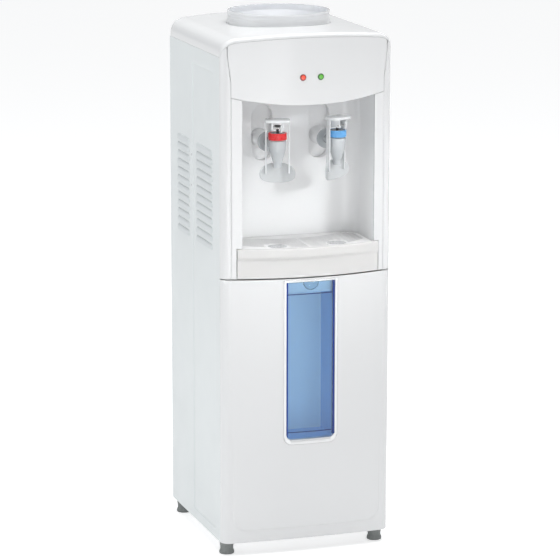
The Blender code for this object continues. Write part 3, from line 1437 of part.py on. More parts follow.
def tap(label, side, finish):
    stand = tap_stand(label, side)
    pivot = lever_stand(label, side, stand)
    tap_body(label, stand)
    tap_ring(label, stand, finish)
    tap_bonnet(label, stand, side)
    tap_pin(label, pivot)
    tap_lever(label, pivot)
    tap_stem(label, stand)
    tap_nut(label, stand)


# Lower front and the cup compartment

def window_outline(margin, corner_trim=0):
    """The window's outline in x and z: square at the top and round at the bottom."""
    half = WINDOW_HALF + margin
    low, high = WINDOW_BOTTOM - margin, WINDOW_TOP + margin
    radius = WINDOW_CORNER - corner_trim + margin
    left = arc((-half + radius, low + radius), radius, 180, 270, 4)
    return [(-half, high)] + left + [(-x, z) for x, z in reversed(left)] + [(half, high)]


def opening_outline(margin=0, foot=0):
    """The bezel's inner edge in x and z, or the door's when shrunk."""
    half = WINDOW_HALF - BEZEL_SIDE - margin
    low, high = WINDOW_BOTTOM + BEZEL_BOTTOM + foot, WINDOW_TOP - BEZEL_TOP - margin
    radius = WINDOW_CORNER - BEZEL_SIDE - margin
    left = arc((-half + radius, low + radius), radius, 180, 270, 3)
    return [(-half, high)] + left + [(-x, z) for x, z in reversed(left)] + [(half, high)]


def lower_front_panel():
    def heights(x):
        return (FACE_FLOOR, FIELD_BOTTOM, FIELD_BOTTOM + FIELD_EASE, WINDOW_BOTTOM / 2, WINDOW_BOTTOM,
                SEAM_LOWER)

    outer, inner = front_skin(heights, SHELL, bow_at)
    panel = slab("lower_front_panel", FRONT_COLUMNS, 5, outer, inner)
    deep_y = (FRONT_PLANE - FACE_BOW - OVERRUN, FRONT_PLANE + OVERRUN)
    window = prism("lower_front_panel_window", [window_outline(GAP)], *deep_y, "Y")
    return dress(cut(panel, window), WHITE_ABS)


def door_pivot():
    """y and z of the door's hinge axis."""
    height = WINDOW_BOTTOM + BEZEL_BOTTOM + DOOR_PIVOT_RISE
    return front_y(0) + DOOR_PIVOT_INSET, height


def window_bezel():
    bezel = prism("window_bezel", [window_outline(0)], FRONT_PLANE - FACE_BOW - OVERRUN, BEZEL_BACK_Y, "Y")
    opening = prism("window_bezel_opening", [opening_outline()], FRONT_PLANE - FACE_BOW - OVERRUN * 2,
                    BEZEL_BACK_Y + OVERRUN, "Y")
    trim = ahead_of_front("window_bezel_trim", WINDOW_BOTTOM - OVERRUN, WINDOW_TOP + OVERRUN, -BEZEL_PROUD)
    y, z = door_pivot()
    reach = WINDOW_HALF - DOOR_PIN_INSET
    pins = rod("window_bezel_pin_holes", (-reach, y, z), (reach, y, z), DOOR_PIN_RADIUS + PIN_CLEARANCE, SMALL)
    return dress(cut(bezel, opening, trim, pins), WHITE_ABS)


def cup_door():
    """The tinted door: a curved plate with side returns, hinged at the bottom."""
    margin = DOOR_CLEARANCE
    outline = opening_outline(margin, DOOR_FOOT_CLEARANCE)
    door = prism("cup_door", [outline], FRONT_PLANE - FACE_BOW - OVERRUN, BEZEL_BACK_Y - GAP, "Y")
    trim = ahead_of_front("cup_door_trim", WINDOW_BOTTOM - OVERRUN, WINDOW_TOP + OVERRUN, DOOR_RECESS)
    half = WINDOW_HALF - BEZEL_SIDE - margin - DOOR_WALL
    low, high = WINDOW_BOTTOM - OVERRUN, WINDOW_TOP + OVERRUN

    def back(column, row):
        x = blend(-half, half, column / 4)
        return x, BEZEL_BACK_Y + OVERRUN, (low, high)[row]

    def front(column, row):
        x = blend(-half, half, column / 4)
        return x, front_y(x) + DOOR_RECESS + DOOR_WALL, (low, high)[row]

    hollow = slab("cup_door_hollow", 4, 1, front, back)
    top = WINDOW_TOP - BEZEL_TOP - margin
    notch = rod("cup_door_notch", (0, FRONT_PLANE - FACE_BOW - OVERRUN, top), (0, BEZEL_BACK_Y + OVERRUN, top),
                NOTCH_RADIUS, ROUND)
    y, z = door_pivot()
    outer = WINDOW_HALF - DOOR_PIN_INSET - GAP
    inner = WINDOW_HALF - BEZEL_SIDE - margin - DOOR_WALL / 2
    spans = [((side * inner, y, z), (side * outer, y, z)) for side in (-1, 1)]
    cut(door, trim, hollow, notch)
    unite(door, rods("cup_door_pins", spans, DOOR_PIN_RADIUS))
    return dress(door, BLUE_ACRYLIC)


def cup_compartment():
    """The open-fronted box that holds the cups, with an upright flange over its mouth."""
    front = BEZEL_BACK_Y + GAP
    half = WINDOW_HALF - BEZEL_SIDE / 2 + CUP_WALL
    low = WINDOW_BOTTOM + BEZEL_BOTTOM / 2
    ceiling = WINDOW_TOP - CUP_CEILING_DROP
    shell = box("cup_compartment", (-half, front, low), (half, front + CUP_DEPTH, ceiling + CUP_WALL))
    inside = box("cup_compartment_inside", (-half + CUP_WALL, front - OVERRUN, low + CUP_WALL),
                 (half - CUP_WALL, front + CUP_DEPTH - CUP_WALL, ceiling))
    flange = box("cup_compartment_flange", (-half, front, ceiling + CUP_WALL / 2),
                 (half, front + CUP_WALL, WINDOW_TOP))
    cut(shell, inside)
    unite(shell, flange)
    return dress(shell, LINER_WHITE)


# Cold tank and cooling

def cold_tank():
    floor = TANK_SHELF_HEIGHT + GAP + TANK_FLOOR_RISE
    wall = TANK_WALL
    profile = [(0, floor + wall), (TANK_RADIUS - wall, floor + wall), (TANK_RADIUS - wall, TANK_TOP),
               (TANK_RADIUS, TANK_TOP), (TANK_RADIUS, floor), (0, floor)]
    tank = turned("cold_tank", profile, (0, TANK_CENTRE_Y, 0), FINE)
    low = TANK_SHELF_HEIGHT - STUB_REACH
    stubs = rods("cold_tank_stubs", [((x, y, low), (x, y, floor + wall / 2)) for x, y in (COLD_STUB, FEED_STUB)],
                 STUB_RADIUS)
    bores = rods("cold_tank_bores", [((x, y, low - OVERRUN), (x, y, floor + OVERRUN))
                                     for x, y in (COLD_STUB, FEED_STUB)], STUB_BORE)
    unite(tank, stubs)
    cut(tank, bores)
    return dress(tank, STAINLESS)


def tank_insulation():
    inner, outer = TANK_RADIUS + GAP, FOAM_RADIUS
    low = TANK_SHELF_HEIGHT + GAP
    floor = low + TANK_FLOOR_RISE - GAP
    profile = [(0, floor), (inner, floor), (inner, TANK_TOP), (outer, TANK_TOP), (outer, low), (0, low)]
    foam = turned("tank_insulation", profile, (0, TANK_CENTRE_Y, 0), FINE)
    stubs = rods("tank_insulation_stub_holes", [((x, y, low - OVERRUN), (x, y, floor + OVERRUN))
                                                for x, y in (COLD_STUB, FEED_STUB)], STUB_RADIUS + GAP)
    half_width, half_height = COLD_BLOCK_WIDTH / 2 + GAP, COLD_BLOCK_HEIGHT / 2 + GAP
    window = box("tank_insulation_window",
                 (-half_width, TANK_CENTRE_Y + TANK_RADIUS / 2, COOLING_HEIGHT - half_height),
                 (half_width, TANK_CENTRE_Y + outer + OVERRUN, COOLING_HEIGHT + half_height))
    return dress(cut(foam, stubs, window), FOAM_WHITE)


def tank_lid():
    """A disc on the tank and its foam, with the hole that the funnel empties into."""
    low = TANK_TOP + GAP
    lid = rod("tank_lid", (0, TANK_CENTRE_Y, low), (0, TANK_CENTRE_Y, low + LID_THICKNESS), FOAM_RADIUS, FINE)
    hole = rod("tank_lid_hole", (0, COLLAR_CENTRE_Y, low - OVERRUN), (0, COLLAR_CENTRE_Y, low + OVERRUN),
               NECK_RADIUS - SPIGOT_INSET, ROUND)
    return dress(cut(lid, hole), MILKY_PLASTIC)


def cold_block():
    half_width, half_height = COLD_BLOCK_WIDTH / 2, COLD_BLOCK_HEIGHT / 2
    block = box("cold_block", (-half_width, TANK_CENTRE_Y + TANK_RADIUS / 2, COOLING_HEIGHT - half_height),
                (half_width, COLD_BLOCK_BACK, COOLING_HEIGHT + half_height))
    tank = rod("cold_block_tank", (0, TANK_CENTRE_Y, COOLING_HEIGHT - COLD_BLOCK_HEIGHT),
               (0, TANK_CENTRE_Y, COOLING_HEIGHT + COLD_BLOCK_HEIGHT), TANK_RADIUS + GAP, FINE)
    return dress(cut(block, tank), ALUMINIUM)


def thermoelectric_module():
    half = MODULE_SIZE / 2
    low = (-half, COOLING_Y, COOLING_HEIGHT - half)
    high = (half, COOLING_Y + MODULE_THICKNESS, COOLING_HEIGHT + half)
    return dress(box("thermoelectric_module", low, high), CERAMIC)


def sink_front():
    return COOLING_Y + MODULE_THICKNESS + GAP


def heat_sink():
    """A finned extrusion whose fins stand upright and point to the back."""
    half = SINK_SIZE / 2
    near = sink_front()
    root, tip = near + SINK_BASE, near + SINK_DEPTH
    pitch = SINK_SIZE / SINK_FINS
    fin = pitch * SINK_FIN_SHARE
    comb = [(-half, near), (half, near)]
    for i in reversed(range(SINK_FINS)):
        middle = -half + pitch * (i + 0.5)
        edges = [half if i == SINK_FINS - 1 else middle + fin / 2, -half if i == 0 else middle - fin / 2]
        comb += [(edges[0], root)] * (i < SINK_FINS - 1)
        comb += [(edges[0], tip), (edges[1], tip)]
        comb += [(edges[1], root)] * (i > 0)
    return dress(prism("heat_sink", [comb], COOLING_HEIGHT - half, COOLING_HEIGHT + half), ALUMINIUM)


def fan_front():
    return sink_front() + SINK_DEPTH + GAP


def fan_frame():
    near = fan_front()
    half = SINK_SIZE / 2
    bore = half - FAN_WALL
    square = rectangle((-half, COOLING_HEIGHT - half), (half, COOLING_HEIGHT + half))
    circle = arc((0, COOLING_HEIGHT), bore, 0, 360 - 360 / ROUND, ROUND - 1)
    frame = prism("fan_frame", [square, circle], near, near + FAN_DEPTH, "Y")
    back = near + FAN_DEPTH
    strut = FAN_STRUT / 2
    low_y = back - FAN_STRUT_DEPTH
    reach = bore + FAN_WALL / 2
    cross = box("fan_frame_strut_level", (-reach, low_y, COOLING_HEIGHT - strut),
                (reach, back, COOLING_HEIGHT + strut))
    upright = box("fan_frame_strut_upright", (-strut, low_y, COOLING_HEIGHT - reach),
                  (strut, back, COOLING_HEIGHT + reach))
    hub = rod("fan_frame_hub", (0, low_y, COOLING_HEIGHT), (0, back, COOLING_HEIGHT), FAN_HUB_RADIUS)
    return dress(unite(frame, cross, upright, hub), BLACK_PLASTIC)


def fan_rotor():
    near = fan_front() + FAN_STRUT_DEPTH / 2
    far = fan_front() + FAN_DEPTH - FAN_STRUT_DEPTH - GAP
    depth = far - near
    tip = SINK_SIZE / 2 - FAN_WALL - FAN_TIP_CLEARANCE
    profile = [(0, depth / 2), (FAN_HUB_RADIUS, depth / 2), (FAN_HUB_RADIUS, -depth / 2), (0, -depth / 2)]
    rotor = turned("fan_rotor", profile, (0, (near + far) / 2, COOLING_HEIGHT), COARSE)
    rotor.rotation_euler = (math.radians(90), 0, 0)
    slant = math.radians(FAN_BLADE_PITCH)
    reach = depth / 2 * FAN_BLADE_SHARE / math.cos(slant)
    bm = bmesh.new()
    for i in range(FAN_BLADES):
        made = bmesh.ops.create_cube(bm, size=1)["verts"]
        size = (tip - FAN_HUB_RADIUS / 2, FAN_BLADE_THICKNESS, reach * 2 - FAN_BLADE_THICKNESS)
        bmesh.ops.scale(bm, vec=size, verts=made)
        middle = Matrix.Translation(((tip + FAN_HUB_RADIUS / 2) / 2, 0, 0))
        turn = Matrix.Rotation(math.radians(360 * i / FAN_BLADES), 4, "Z")
        bmesh.ops.transform(bm, matrix=turn @ middle @ Matrix.Rotation(slant, 4, "X"), verts=made)
    blades = finish_bmesh("fan_rotor_blades", bm)
    blades.location = rotor.location
    blades.rotation_euler = rotor.rotation_euler
    return dress(unite(rotor, blades), BLACK_PLASTIC)


# Hot tank

def hot_tank():
    """A closed drum on a welded foot ring, with an outlet high in front and its feed low at the side."""
    wall = TANK_WALL
    high, low = HOT_TOP - HOT_DOME, HOT_BOTTOM
    foot = SHELF_TOP + GAP
    foot_radius = HOT_RADIUS - HOT_FOOT_INSET
    profile = [(0, HOT_TOP), (HOT_RADIUS, high), (HOT_RADIUS, low), (foot_radius, low), (foot_radius, foot),
               (foot_radius - HOT_FOOT_WALL, foot), (foot_radius - HOT_FOOT_WALL, low), (0, low)]
    tank = turned("hot_tank", profile, (HOT_X, HOT_Y, 0), ROUND)
    inside = [(0, HOT_TOP - wall), (HOT_RADIUS - wall, high - wall), (HOT_RADIUS - wall, low + wall),
              (0, low + wall)]
    hollow = turned("hot_tank_hollow", inside, (HOT_X, HOT_Y, 0), ROUND)
    outlet = (HOT_X, HOT_Y, HOT_OUTLET_HEIGHT)
    feed = (HOT_X, HOT_Y, FEED_HEIGHT)
    drain = (HOT_X, HOT_Y, DRAIN_HEIGHT)
    outlet_tip = (HOT_X, HOT_Y - HOT_RADIUS - STUB_REACH, HOT_OUTLET_HEIGHT)
    feed_tip = (HOT_X + HOT_RADIUS + STUB_REACH, HOT_Y, FEED_HEIGHT)
    drain_tip = (HOT_X, HOT_Y + HOT_RADIUS + STUB_REACH, DRAIN_HEIGHT)
    stubs = [rod("hot_tank_outlet", outlet, outlet_tip, STUB_RADIUS, SMALL),
             rod("hot_tank_feed", feed, feed_tip, STUB_RADIUS, SMALL)]
    bores = [rod("hot_tank_outlet_bore", outlet, Vector(outlet_tip) - Vector((0, OVERRUN, 0)), STUB_BORE, SMALL),
             rod("hot_tank_feed_bore", feed, Vector(feed_tip) + Vector((OVERRUN, 0, 0)), STUB_BORE, SMALL),
             rod("hot_tank_drain_bore", drain, drain_tip, DRAIN_BORE, SMALL)]
    unite(tank, *stubs)
    cut(tank, hollow, *bores)
    return dress(tank, STAINLESS)


def heater_band():
    inner = HOT_RADIUS + GAP
    low = HOT_BOTTOM + BAND_RISE
    profile = [(inner, low + BAND_HEIGHT), (inner + BAND_THICKNESS, low + BAND_HEIGHT),
               (inner + BAND_THICKNESS, low), (inner, low)]
    return dress(turned("heater_band", profile, (HOT_X, HOT_Y, 0), ROUND), MICA)


def tank_thermostat():
    """The disc thermostat clipped to the hot tank's upper side."""
    angle = math.radians(THERMOSTAT_ANGLE)
    out = Vector((math.cos(angle), math.sin(angle), 0))
    centre = Vector((HOT_X, HOT_Y, HOT_TOP - THERMOSTAT_DROP))
    disc = rod("tank_thermostat", centre + out * (HOT_RADIUS + GAP),
               centre + out * (HOT_RADIUS + THERMOSTAT_HEIGHT), THERMOSTAT_RADIUS)
    return dress(disc, BLACK_PLASTIC)


def drain_pipe():
    near = HOT_Y + HOT_RADIUS + GAP
    far = BACK_PLANE + DRAIN_REACH
    pipe = rod("drain_pipe", (HOT_X, near, DRAIN_HEIGHT), (HOT_X, far, DRAIN_HEIGHT), DRAIN_RADIUS)
    bore = rod("drain_pipe_bore", (HOT_X, near - OVERRUN, DRAIN_HEIGHT), (HOT_X, far + OVERRUN, DRAIN_HEIGHT),
               DRAIN_BORE, SMALL)
    return dress(cut(pipe, bore), STAINLESS)


def drain_cap():
    """A gripped cap, whose end stands as far behind the middle as the tray's lip stands in front."""
    far = -lip_edge(0)
    near = far - DRAIN_CAP_LENGTH
    cap = rod("drain_cap", (HOT_X, near, DRAIN_HEIGHT), (HOT_X, far, DRAIN_HEIGHT), DRAIN_CAP_RADIUS)
    well = rod("drain_cap_well", (HOT_X, near - OVERRUN, DRAIN_HEIGHT),
               (HOT_X, BACK_PLANE + DRAIN_REACH + GAP, DRAIN_HEIGHT), DRAIN_RADIUS + GAP)
    spans = []
    for i in range(DRAIN_CAP_GRIPS):
        angle = 2 * math.pi * i / DRAIN_CAP_GRIPS
        x = HOT_X + (DRAIN_CAP_RADIUS + GRIP_OFFSET) * math.cos(angle)
        z = DRAIN_HEIGHT + (DRAIN_CAP_RADIUS + GRIP_OFFSET) * math.sin(angle)
        spans.append(((x, near - OVERRUN, z), (x, far + OVERRUN, z)))
    grips = rods("drain_cap_grips", spans, GRIP_RADIUS, SMALL)
    return dress(cut(cap, well, grips), BLACK_PLASTIC)


# Hoses: each leaves its stub straight, then bends

def route(start, start_way, middle, end, end_way):
    """A hose's points: a straight lead at both ends, and its named points between."""
    start, end = Vector(start), Vector(end)
    start_way, end_way = Vector(start_way), Vector(end_way)
    first = [start, start + start_way * HOSE_LEAD, start + start_way * HOSE_LEAD * 2]
    final = [end + end_way * HOSE_LEAD * 2, end + end_way * HOSE_LEAD, end]
    return first + [Vector(point) for point in middle] + final


def shank_end(side):
    """Where a tap's shank ends behind the alcove."""
    y = ALCOVE_WALL_Y + NICHE_DEPTH + LINER_WALL + SHANK_TAIL
    return side * TAP_SPACING / 2, y + GAP, SHANK_HEIGHT


def tank_stub(place):
    return place[0], place[1], TANK_SHELF_HEIGHT - STUB_REACH - GAP


BACKWARD, FORWARD, RIGHTWARD, DOWNWARD = (0, 1, 0), (0, -1, 0), (1, 0, 0), (0, 0, -1)


def cold_hose():
    points = route(shank_end(1), BACKWARD, COLD_HOSE_ROUTE, tank_stub(COLD_STUB), DOWNWARD)
    return dress(hose("cold_hose", points, HOSE_RADIUS), SILICONE)


def hot_hose():
    end = (HOT_X, HOT_Y - HOT_RADIUS - STUB_REACH - GAP, HOT_OUTLET_HEIGHT)
    points = route(shank_end(-1), BACKWARD, HOT_HOSE_ROUTE, end, FORWARD)
    return dress(hose("hot_hose", points, HOSE_RADIUS), SILICONE)


def feed_hose():
    end = (HOT_X + HOT_RADIUS + STUB_REACH + GAP, HOT_Y, FEED_HEIGHT)
    points = route(tank_stub(FEED_STUB), DOWNWARD, FEED_HOSE_ROUTE, end, RIGHTWARD)
    return dress(hose("feed_hose", points, HOSE_RADIUS), SILICONE)


# Electrics

def power_supply():
    width, depth, height = SUPPLY_SIZE
    back = REAR_INNER_Y - SUPPLY_BACK_GAP
    low = (SUPPLY_X - width / 2, back - depth, SHELF_TOP + GAP)
    return dress(box("power_supply", low, (low[0] + width, back, low[2] + height)), BARE_STEEL)


def switch_frame():
    """The housing of both rockers, with a rim over the rear panel."""
    low, high = switch_body()
    rim = SWITCH_FRAME
    face = BACK_PLANE + GAP
    frame = box("switch_frame", (low[0] - rim, face, low[1] - rim),
                (high[0] + rim, face + SWITCH_FRAME_THICKNESS, high[1] + rim))
    body = box("switch_frame_body", (low[0], BACK_PLANE - SWITCH_BODY_DEPTH, low[1]),
               (high[0], face + GAP, high[1]))
    wells = []
    for index in (0, 1):
        open_low, open_high = switch_opening(index)
        wells.append(((open_low[0], BACK_PLANE - SWITCH_BODY_DEPTH + SHELL, open_low[1]),
                      (open_high[0], BACK_PLANE + OVERRUN, open_high[1])))
    return dress(cut(unite(frame, body), boxes("switch_frame_wells", wells)), BLACK_PLASTIC)


def rocker(name, index, finish):
    """A rocker whose back is round about its pivot and whose face is a shallow V."""
    low, high = switch_opening(index)
    half_width = SWITCH_SIZE[0] / 2 - SWITCH_CLEARANCE
    half_height = SWITCH_SIZE[1] / 2 - SWITCH_CLEARANCE
    rise = half_height * math.tan(math.radians(ROCKER_TILT))
    crown = SWITCH_FRAME_THICKNESS
    tip = half_height * ROCKER_FACE_SHARE
    profile = [(-tip, crown + rise), (0, crown), (tip, crown + rise)]
    profile += arc((0, 0), ROCKER_BACK_RADIUS, 20, -200, 8)
    loop = [(y, z) for z, y in profile]
    key = prism(name, [loop], -half_width, half_width)
    place = Matrix.Translation(((low[0] + high[0]) / 2, BACK_PLANE, SWITCH_HEIGHT))
    tilt = Matrix.Rotation(math.radians(-ROCKER_TILT), 4, "X")
    upright = Matrix.Rotation(math.radians(90), 4, "Z") @ Matrix.Rotation(math.radians(90), 4, "X")
    key.matrix_world = place @ tilt @ upright
    return dress(key, finish)


def power_inlet():
    """A three-blade mains inlet socket."""
    low, high = inlet_body()
    rim = INLET_FLANGE
    face = BACK_PLANE + GAP
    socket = box("power_inlet", (low[0] - rim, face, low[1]),
                 (high[0] + rim, face + INLET_FLANGE_THICKNESS, high[1]))
    body = box("power_inlet_body", (low[0], BACK_PLANE - INLET_DEPTH, low[1]), (high[0], face + GAP, high[1]))
    floor = BACK_PLANE - INLET_DEPTH + INLET_WALL
    well = box("power_inlet_well", (low[0] + INLET_WALL, floor, low[1] + INLET_WALL),
               (high[0] - INLET_WALL, BACK_PLANE + OVERRUN, high[1] - INLET_WALL))
    blades = []
    for x, rise in ((-BLADE_SPREAD, 0), (0, BLADE_SPREAD / 2), (BLADE_SPREAD, 0)):
        centre_x, centre_z = INLET_X + x, INLET_HEIGHT + rise - BLADE_SPREAD / 4
        half_x, half_z = BLADE_SIZE[0] / 2, BLADE_SIZE[1] / 2
        blades.append(((centre_x - half_x, floor - INLET_WALL / 2, centre_z - half_z),
                       (centre_x + half_x, BACK_PLANE - INLET_WALL, centre_z + half_z)))
    unite(socket, body)
    cut(socket, well)
    unite(socket, boxes("power_inlet_blades", blades))
    return dress(socket, BLACK_PLASTIC)


def build():
    side_panel("left_side_panel", -1)
    side_panel("right_side_panel", 1)
    rear_panel()
    base_pan()
    for (x, y), label in zip(foot_places(), ("front_left", "rear_left", "front_right", "rear_right")):
        foot(label + "_foot", x, y)
    component_shelf()
    tank_shelf()
    top_cover()
    bottle_collar()
    feed_spike()
    front_frame()
    fascia()
    lamp("red_lamp", lamp_places()[0], RED_LENS)
    lamp("green_lamp", lamp_places()[1], GREEN_LENS)
    lamp_board()
    alcove_liner()
    drip_tray()
    drip_grille()
    tap("hot", -1, RED_PLASTIC)
    tap("cold", 1, BLUE_PLASTIC)
    lower_front_panel()
    window_bezel()
    cup_door()
    cup_compartment()
    cold_tank()
    tank_insulation()
    tank_lid()
    cold_block()
    thermoelectric_module()
    heat_sink()
    fan_frame()
    fan_rotor()
    hot_tank()
    heater_band()
    tank_thermostat()
    drain_pipe()
    drain_cap()
    cold_hose()
    hot_hose()
    feed_hose()
    power_supply()
    switch_frame()
    rocker("hot_switch", 0, RED_PLASTIC)
    rocker("cold_switch", 1, BLUE_PLASTIC)
    power_inlet()


build()
bpy.context.view_layer.update()
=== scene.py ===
"""Looks of a free-standing water cooler with a hot tap and a cold tap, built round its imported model.

Metres, +Z up, with the front facing -Y. Every piece is made in the place where it works.
"""
from __future__ import annotations

import logging
import math
from collections.abc import Callable, Iterator, Sequence
from contextlib import contextmanager
from dataclasses import dataclass, field, replace
from typing import ClassVar

import bmesh
import bpy
from mathutils import Matrix, Vector

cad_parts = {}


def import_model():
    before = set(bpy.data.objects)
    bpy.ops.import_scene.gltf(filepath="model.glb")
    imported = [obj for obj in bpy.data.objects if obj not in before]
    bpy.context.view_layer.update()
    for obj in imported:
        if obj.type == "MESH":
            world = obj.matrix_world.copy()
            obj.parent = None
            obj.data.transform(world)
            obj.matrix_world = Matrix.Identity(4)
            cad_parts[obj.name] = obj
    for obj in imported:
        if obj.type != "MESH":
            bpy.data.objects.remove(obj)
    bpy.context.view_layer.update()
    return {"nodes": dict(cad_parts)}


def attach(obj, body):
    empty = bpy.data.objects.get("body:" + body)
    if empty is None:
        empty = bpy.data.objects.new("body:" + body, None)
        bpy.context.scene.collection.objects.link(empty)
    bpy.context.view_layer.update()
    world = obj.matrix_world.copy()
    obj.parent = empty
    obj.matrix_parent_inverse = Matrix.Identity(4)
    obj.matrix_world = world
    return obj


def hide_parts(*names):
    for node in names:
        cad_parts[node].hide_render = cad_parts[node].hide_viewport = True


LOG = logging.getLogger("water_cooler")

Flat = tuple[float, float]
Spot = tuple[float, float, float]
Skin = Callable[[int, int], Spot]

ON_AXIS = 1e-7
CORNER_SHARE = 0.45


# Numbers and outlines

def mix(low: float, high: float, share: float) -> float:
    """Value between two others by a share of the way."""
    return low + (high - low) * share


def ease(share: float) -> float:
    """Smooth step from 0 to 1, level at both ends."""
    share = max(0.0, min(1.0, share))
    return share * share * (3 - 2 * share)


def spread(low: float, high: float, count: int) -> list[float]:
    """Evenly spaced values, both ends included."""
    return [mix(low, high, i / (count - 1)) for i in range(count)]


def arc(centre: Flat, radius: float, start: float, end: float, steps: int) -> list[Flat]:
    """Points on a circle.

    Args:
        centre: Middle of the circle.
        radius: Radius in metres.
        start: First angle in degrees.
        end: Last angle in degrees.
        steps: Number of straight pieces.

    Returns:
        The points, both ends included.
    """
    found = []
    for angle in spread(math.radians(start), math.radians(end), steps + 1):
        found.append((centre[0] + radius * math.cos(angle), centre[1] + radius * math.sin(angle)))
    return found


def soften(points: Sequence[Flat], radius: float, steps: int = 3, closed: bool = True) -> list[Flat]:
    """Rounds the corners of an outline.

    Args:
        points: Corners in order.
        radius: How far from each corner the rounding starts, where its edges are long enough.
        steps: Straight pieces in each rounding.
        closed: Whether the last corner joins the first.

    Returns:
        The rounded outline. A corner on the turning axis of an open outline stays as it is.
    """
    count = len(points)
    made: list[Flat] = []
    for i, here in enumerate(points):
        if not closed and i in (0, count - 1):
            made.append(here)
            continue
        corner = Vector(here)
        before, after = Vector(points[i - 1]), Vector(points[(i + 1) % count])
        first = corner + (before - corner).normalized() * min(radius, (before - corner).length * CORNER_SHARE)
        last = corner + (after - corner).normalized() * min(radius, (after - corner).length * CORNER_SHARE)
        for t in spread(0, 1, steps + 1):
            spot = first * (1 - t) ** 2 + corner * 2 * t * (1 - t) + last * t ** 2
            made.append((spot.x, spot.y))
    return made


def rounded_rectangle(low: Flat, high: Flat, radius: float, steps: int = 6) -> list[Flat]:
    """Outline of a rectangle with round corners.

    Args:
        low: Lower left corner.
        high: Upper right corner.
        radius: Radius of the corners.
        steps: Straight pieces in each corner.

    Returns:
        The outline, anticlockwise from its lower left.
    """
    left, right, bottom, top = low[0] + radius, high[0] - radius, low[1] + radius, high[1] - radius
    points = []
    for centre, start in (((left, bottom), 180), ((right, bottom), 270), ((right, top), 0), ((left, top), 90)):
        points += arc(centre, radius, start, start + 90, steps)
    return points


def mirrored(left: Sequence[Flat]) -> list[Flat]:
    """Left half of an outline followed by its mirror image."""
    return list(left) + [(-x, y) for x, y in reversed(left)]


def stadium(centre: Flat, reach: float, half: float, upright: bool = True, steps: int = 16) -> list[Flat]:
    """Outline with two straight sides and two round ends.

    Args:
        centre: Middle of the shape.
        reach: Distance from the middle to either end.
        half: Half the width, which is the end's radius.
        upright: Whether the long way is the second axis.
        steps: Straight pieces in each end.

    Returns:
        The outline, anticlockwise.
    """
    x, z = centre
    away = reach - half
    if upright:
        return arc((x, z + away), half, 0, 180, steps) + arc((x, z - away), half, 180, 360, steps)
    return arc((x + away, z), half, -90, 90, steps) + arc((x - away, z), half, 90, 270, steps)


def inside_rounded(x: float, z: float, low: Flat, high: Flat, radius: float) -> float:
    """Signed distance into a rectangle with round corners.

    Args:
        x: First coordinate of the point.
        z: Second coordinate of the point.
        low: Lower left corner.
        high: Upper right corner.
        radius: Radius of the corners.

    Returns:
        The distance from the nearest edge, positive inside.
    """
    half = ((high[0] - low[0]) / 2, (high[1] - low[1]) / 2)
    over_x = abs(x - (low[0] + high[0]) / 2) - half[0] + radius
    over_z = abs(z - (low[1] + high[1]) / 2) - half[1] + radius
    outside = math.hypot(max(over_x, 0), max(over_z, 0))
    return radius - outside - min(max(over_x, over_z), 0)


# Finishes

@dataclass(frozen=True)
class Finish:
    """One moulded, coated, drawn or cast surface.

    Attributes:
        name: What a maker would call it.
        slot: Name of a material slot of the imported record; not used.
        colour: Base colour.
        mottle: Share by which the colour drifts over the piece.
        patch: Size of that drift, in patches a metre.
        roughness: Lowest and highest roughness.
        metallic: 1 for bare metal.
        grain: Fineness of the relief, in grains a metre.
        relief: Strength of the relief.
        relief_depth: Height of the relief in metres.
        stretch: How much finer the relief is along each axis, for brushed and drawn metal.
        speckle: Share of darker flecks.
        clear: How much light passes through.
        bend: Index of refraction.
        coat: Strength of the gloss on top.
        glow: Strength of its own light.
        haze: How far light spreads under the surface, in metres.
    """

    name: str
    slot: str
    colour: Spot
    mottle: float = 0.03
    patch: float = 7.0
    roughness: Flat = (0.25, 0.33)
    metallic: float = 0.0
    grain: float = 1400.0
    relief: float = 0.05
    relief_depth: float = 0.00005
    stretch: Spot = (1.0, 1.0, 1.0)
    speckle: float = 0.0
    clear: float = 0.0
    bend: float = 1.46
    coat: float = 0.0
    glow: float = 0.0
    haze: float = 0.0

    def material(self) -> bpy.types.Material:
        """Material of this finish, made once."""
        found = bpy.data.materials.get(self.name)
        return found or FinishTree(self).made


class Tree:
    """Node tree that is put together node by node."""

    def __init__(self, tree: bpy.types.NodeTree) -> None:
        """Takes hold of a tree."""
        self.tree = tree

    def feed(self, node: bpy.types.Node, inputs: dict[int | str, object]) -> None:
        """Fills a node's inputs.

        Args:
            node: The node.
            inputs: The socket that feeds each input or its fixed value, by the input's name or number.
        """
        for key, value in inputs.items():
            if isinstance(value, bpy.types.NodeSocket):
                self.tree.links.new(value, node.inputs[key])
            else:
                node.inputs[key].default_value = value

    def add(self, kind: str, inputs: dict[int | str, object], output: int | str = 0,
            **settings: object) -> bpy.types.NodeSocket:
        """Adds a node.

        Args:
            kind: Its type.
            inputs: What feeds it, as in feed.
            output: Name or number of the output that is wanted.
            settings: Its own properties, which are set first.

        Returns:
            That output.
        """
        node = self.tree.nodes.new(kind)
        for name, value in settings.items():
            setattr(node, name, value)
        self.feed(node, inputs)
        return node.outputs[output]


